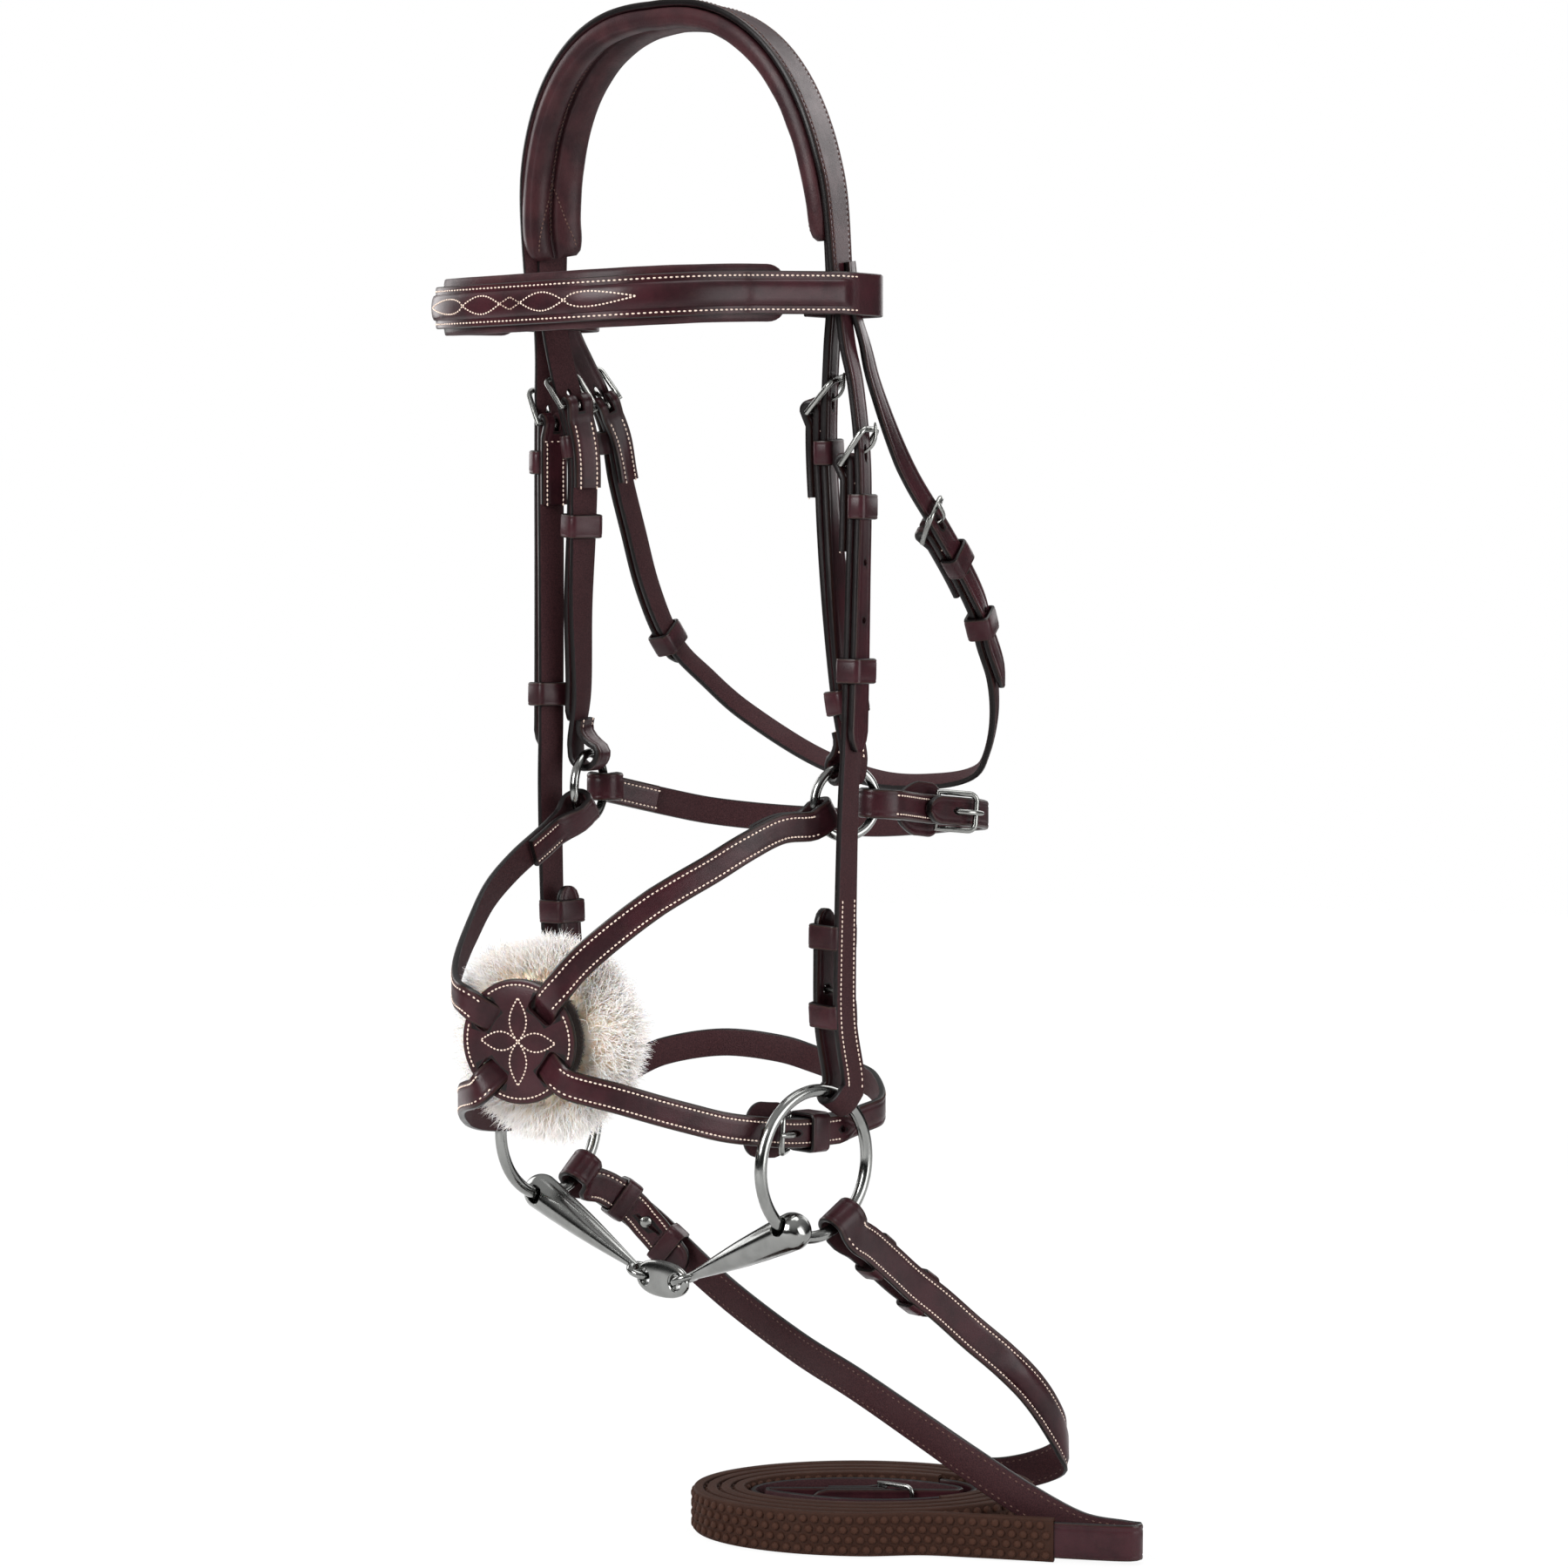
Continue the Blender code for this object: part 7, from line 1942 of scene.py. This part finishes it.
def dress_rein(label, arm):
    """One rein: its hooked end, its leather, and its rubber grip in the coil."""
    route = rein_route(arm)
    folded = fold_end(0.0, 1, REIN_FOLD_RADIUS, REIN_RETURN, width=REIN_WIDTH, under=-REIN_RETURN_DROP)
    back = rounded_return(folded)
    if arm == 0:
        radius = buckle_lift(REIN_BUCKLE_WIRE, REIN_THICK)
        under = -REIN_THICK - GAP
        end = fold_end(route.length, -1, radius, REIN_CHAPE_BACK, width=REIN_WIDTH, under=under)[::-1]
        last = route.length - STRAP_STEP / 2
        opening = (fold_slot, route.length, -1, 0.0, REIN_BUCKLE_WIRE, REIN_THICK)
    else:
        end = tip(route.length, 1, 0.0, REIN_WIDTH)
        last = route.length - TIP_LENGTH * 2
        opening = (tongue_opening, route.nearest(rein_route(0).points[-1]), 1, 0.0)
    body = run(STRAP_STEP / 2, last, 0.0, REIN_WIDTH, COIL_STEP)
    coiled = route.nearest(coil_point(COIL_STARTS[arm], arm))

    def raised(along):
        inside = min(along - RAISED_START, coiled - 0.004 - along) / 0.014
        return REIN_DOME * min(max(inside, 0), 1) if arm == 0 else 0.0

    made = strap(
        f"rein_{label}_leather", route, finer(back + body + end), f"rein_{label}",
        thick=REIN_THICK, dome=raised, cuts=((hole, STUD_SPACING, -REIN_RETURN_DROP, STUD_HOLE), opening),
    )
    slit = bmesh.new()
    hole(slit, route, STUD_SPACING + 0.002, -REIN_RETURN_DROP, 0.0009, 0.0075)
    carve(made, slit)
    low = -REIN_RETURN_DROP - REIN_THICK / 2 - GAP
    high = -keeper_foot(REIN_THICK)
    sizes = [(REIN_RETURN * share, REIN_WIDTH, low, high, REIN_KEEPER_HEIGHT) for share in REIN_KEEPER_SHARES]
    loops(f"rein_{label}_keepers", route, sizes)
    base = -REIN_THICK / 2 - GAP * 3
    hook_stud(f"rein_hook_stud_{label}", route, STUD_SPACING, base, -REIN_RETURN_DROP, REIN_THICK)
    first = coiled + (COIL_STEP if arm == 0 else -OFF_GRIP_LEAD)
    last = route.nearest(coil_point(GRIP_ENDS[arm], arm))
    covered = [station for station in body if first <= station.along <= last]
    dress_grip(label, route, covered[0].along, covered[-1].along)
    top = REIN_THICK / 2 - STITCH_SUNK
    pale = bmesh.new()
    dark = bmesh.new()
    for across in (-1, 1):
        at = across * (REIN_WIDTH / 2 - STITCH_INSET)
        stitch_row(pale, route, 0.004, coiled - 0.006 if arm == 0 else REIN_RETURN + 0.01, top, at)
        stitch_row(pale, route, 0.010, REIN_RETURN - 0.010, -REIN_RETURN_DROP - top, at)
        stitch_row(dark, route, REIN_RETURN + 0.014, coiled - 0.004, -top, at, pitch=0.0033)
    sewn(f"rein_{label}_stitching", pale)
    sewn(f"rein_{label}_dark_stitching", dark, DARK_THREAD)
    if arm == 0:
        buckle(route, route.length, -1, "rein_centre_%s", REIN_WIDTH, 0.0, REIN_BUCKLE_WIRE, REIN_THICK)


def dress_grip(label, route, first, last):
    """The rubber sleeve with its rows of pimples."""
    half = GRIP_HEIGHT / 2
    thick = GRIP_THICK / 2 - 0.0004
    soft = 0.0007
    outline = []
    for index, (x, y) in enumerate(((half, -thick), (half, thick), (-half, thick), (-half, -thick))):
        start = (-90, 0, 90, 180)[index]
        for step in range(4):
            turn = math.radians(start + 30 * step)
            across = x - math.copysign(soft, x) + soft * math.cos(turn)
            outline.append((across, y - math.copysign(soft, y) + soft * math.sin(turn)))
    inner = [(x * (REIN_WIDTH / 2 + GAP) / half, y * (REIN_THICK / 2 + GAP) / thick) for x, y in outline]
    count = round((last - first) / 0.003)
    frames = [route.frame(first + (last - first) * index / count) for index in range(count + 1)]
    outside = [[point + side * x + out * y for x, y in outline] for point, _, out, side in frames]
    lining = [[point + side * x + out * y for x, y in inner] for point, _, out, side in frames]
    mesh = bmesh.new()
    path = outside + list(reversed(lining))
    loft(mesh, path, [0.0] * len(outline), closed=True)
    bmesh.ops.recalc_face_normals(mesh, faces=mesh.faces)
    spots = []
    for index in range(round((last - first - 0.004) / PIMPLE_PITCH)):
        for row, across in enumerate(PIMPLE_ROWS):
            along = first + 0.002 + (index + 0.25 + 0.5 * (row % 2)) * PIMPLE_PITCH
            point, ahead, out, side = route.frame(along)
            spots += [(point + side * across + out * face * thick, ahead, out * face, side) for face in (-1, 1)]
    pimples(mesh, spots)
    finished(f"rein_grip_{label}_rubber", mesh, GRIP, f"rein_grip_{label}", slot="rubber", smooth=math.radians(55))


def pimples(mesh, spots):
    """Adds low round pimples to the mesh, each given by its foot, the ways along and out, and across."""
    layer = mesh.verts.layers.float["grain"]
    number = mesh.faces.layers.int.get("pimple") or mesh.faces.layers.int.new("pimple")
    faces = []
    feet = []
    for index, (point, ahead, out, side) in enumerate(spots):
        foot = point - out * 0.0003
        corners = [mesh.verts.new(foot + polar(ahead, side, turn) * PIMPLE_RADIUS) for turn in turns(8)]
        feet.append(corners)
        face = mesh.faces.new(corners)
        face[number] = index
        faces.append(face)
    for height, wide in ((0.45, 0.93), (0.82, 0.68), (1.0, 0.30)):
        faces = bmesh.ops.extrude_discrete_faces(mesh, faces=faces)["faces"]
        for face in faces:
            point, ahead, out, side = spots[face[number]]
            for corner, turn in zip(face.verts, turns(8)):
                spread = polar(ahead, side, turn) * PIMPLE_RADIUS * wide
                corner.co = point + out * PIMPLE_HEIGHT * height + spread
                # The height share goes into the grain layer, where the rubber's colour reads it for painted shade
                # between the pimples.
                corner[layer] = height
    for corners in feet:
        mesh.faces.new(corners)


def camera_and_light():
    """The camera at the photograph's angle, soft lamps and a pale room."""
    scene = bpy.context.scene
    scene.view_settings.view_transform = "Standard"
    back = Vector(
        (
            math.sin(VIEW_AZIMUTH) * math.cos(VIEW_ELEVATION),
            -math.cos(VIEW_AZIMUTH) * math.cos(VIEW_ELEVATION),
            math.sin(VIEW_ELEVATION),
        )
    )
    data = bpy.data.cameras.new("camera")
    data.lens = 89.25
    data.sensor_width = 36
    camera = bpy.data.objects.new("camera", data)
    camera.location = VIEW_TARGET + back * VIEW_DISTANCE
    camera.rotation_euler = (-back).to_track_quat("-Z", "Y").to_euler()
    scene.collection.objects.link(camera)
    scene.camera = camera
    right = Vector((math.cos(VIEW_AZIMUTH), math.sin(VIEW_AZIMUTH), 0))
    front = Vector((math.sin(VIEW_AZIMUTH), -math.cos(VIEW_AZIMUTH), 0))
    lamps = (
        ("key", right * -1.1 + front * 1.2 + UP * 0.75, 38, 0.9),
        ("fill", right * 1.4 + front * 0.8 + UP * 0.1, 20, 1.1),
        ("top", right * 0.3 + UP * 1.5 - front * 0.2, 13, 1.0),
        ("back", right * 0.9 - front * 1.3 + UP * 0.6, 8, 1.0),
        ("far", right * -1.2 - front * 1.1 + UP * 0.5, 12, 1.0),
    )
    for name, spot, power, size in lamps:
        light = bpy.data.lights.new(name, "AREA")
        light.energy = power
        light.size = size
        lamp = bpy.data.objects.new(name, light)
        lamp.location = VIEW_TARGET + spot
        lamp.rotation_euler = (-spot).to_track_quat("-Z", "Y").to_euler()
        scene.collection.objects.link(lamp)
    world = bpy.data.worlds.new("room")
    scene.world = world
    world.use_nodes = True
    tree = world.node_tree
    background = tree.nodes["Background"]
    path = add(tree, "ShaderNodeLightPath")
    height = add(tree, "ShaderNodeSeparateXYZ")
    tree.links.new(add(tree, "ShaderNodeTexCoord").outputs["Generated"], height.inputs[0])
    mirrored_room = ramp_node(tree, height.outputs["Z"], 0.05, 0.85, 0.03, 0.70)
    strength = add(tree, "ShaderNodeMix", data_type="FLOAT")
    put(tree, strength, "Factor", path.outputs["Is Glossy Ray"])
    put(tree, strength, "A", 0.20)
    put(tree, strength, "B", mirrored_room)
    seen = math_node(tree, "MAXIMUM", path.outputs["Is Camera Ray"], path.outputs["Is Transmission Ray"])
    background.inputs["Color"].default_value = (1, 1, 1, 1)
    tree.links.new(math_node(tree, "MAXIMUM", strength.outputs["Result"], seen), background.inputs["Strength"])
    mesh = bmesh.new()
    level = Matrix.Translation((0, 0, FLOOR_LEVEL))
    bmesh.ops.create_circle(mesh, cap_ends=True, segments=96, radius=3.0, matrix=level)
    floor_data = bpy.data.meshes.new("floor")
    mesh.to_mesh(floor_data)
    mesh.free()
    floor = bpy.data.objects.new("floor", floor_data)
    scene.collection.objects.link(floor)
    pale = bpy.data.materials.new("pale floor")
    pale.use_nodes = True
    tree = pale.node_tree
    shader = tree.nodes["Principled BSDF"]
    shader.inputs["Base Color"].default_value = (0.86, 0.86, 0.86, 1)
    shader.inputs["Roughness"].default_value = 0.9
    glow = add(tree, "ShaderNodeEmission")
    glow.inputs["Strength"].default_value = 1.03
    mixed = add(tree, "ShaderNodeMixShader")
    path = add(tree, "ShaderNodeLightPath")
    reach = add(tree, "ShaderNodeVectorMath", operation="LENGTH")
    put(tree, reach, "Vector", add(tree, "ShaderNodeTexCoord").outputs["Object"])
    plain = ramp_node(tree, reach.outputs["Value"], 0.9, 1.5, 0.88, 1.0)
    tree.links.new(math_node(tree, "MULTIPLY", path.outputs["Is Camera Ray"], plain), mixed.inputs["Fac"])
    tree.links.new(shader.outputs["BSDF"], mixed.inputs[1])
    tree.links.new(glow.outputs["Emission"], mixed.inputs[2])
    tree.links.new(mixed.outputs["Shader"], tree.nodes["Material Output"].inputs["Surface"])
    floor_data.materials.append(pale)


cheeks = cheek_route()
hangers = hanger_route()
throat = throat_route()
for label, side in SIDES:
    dress_cheek(cheeks, label, side)
    dress_hanger(hangers, label, side)
dress_crown(cheeks, throat)
dress_headstrap(hangers)
dress_rings()
dress_mouthpiece()
dress_cross_straps()
dress_jowl()
dress_throat(throat)
dress_disc()
dress_fleece()
dress_browband()
dress_paddings()
dress_rein("left", 0)
dress_rein("right", 1)
camera_and_light()
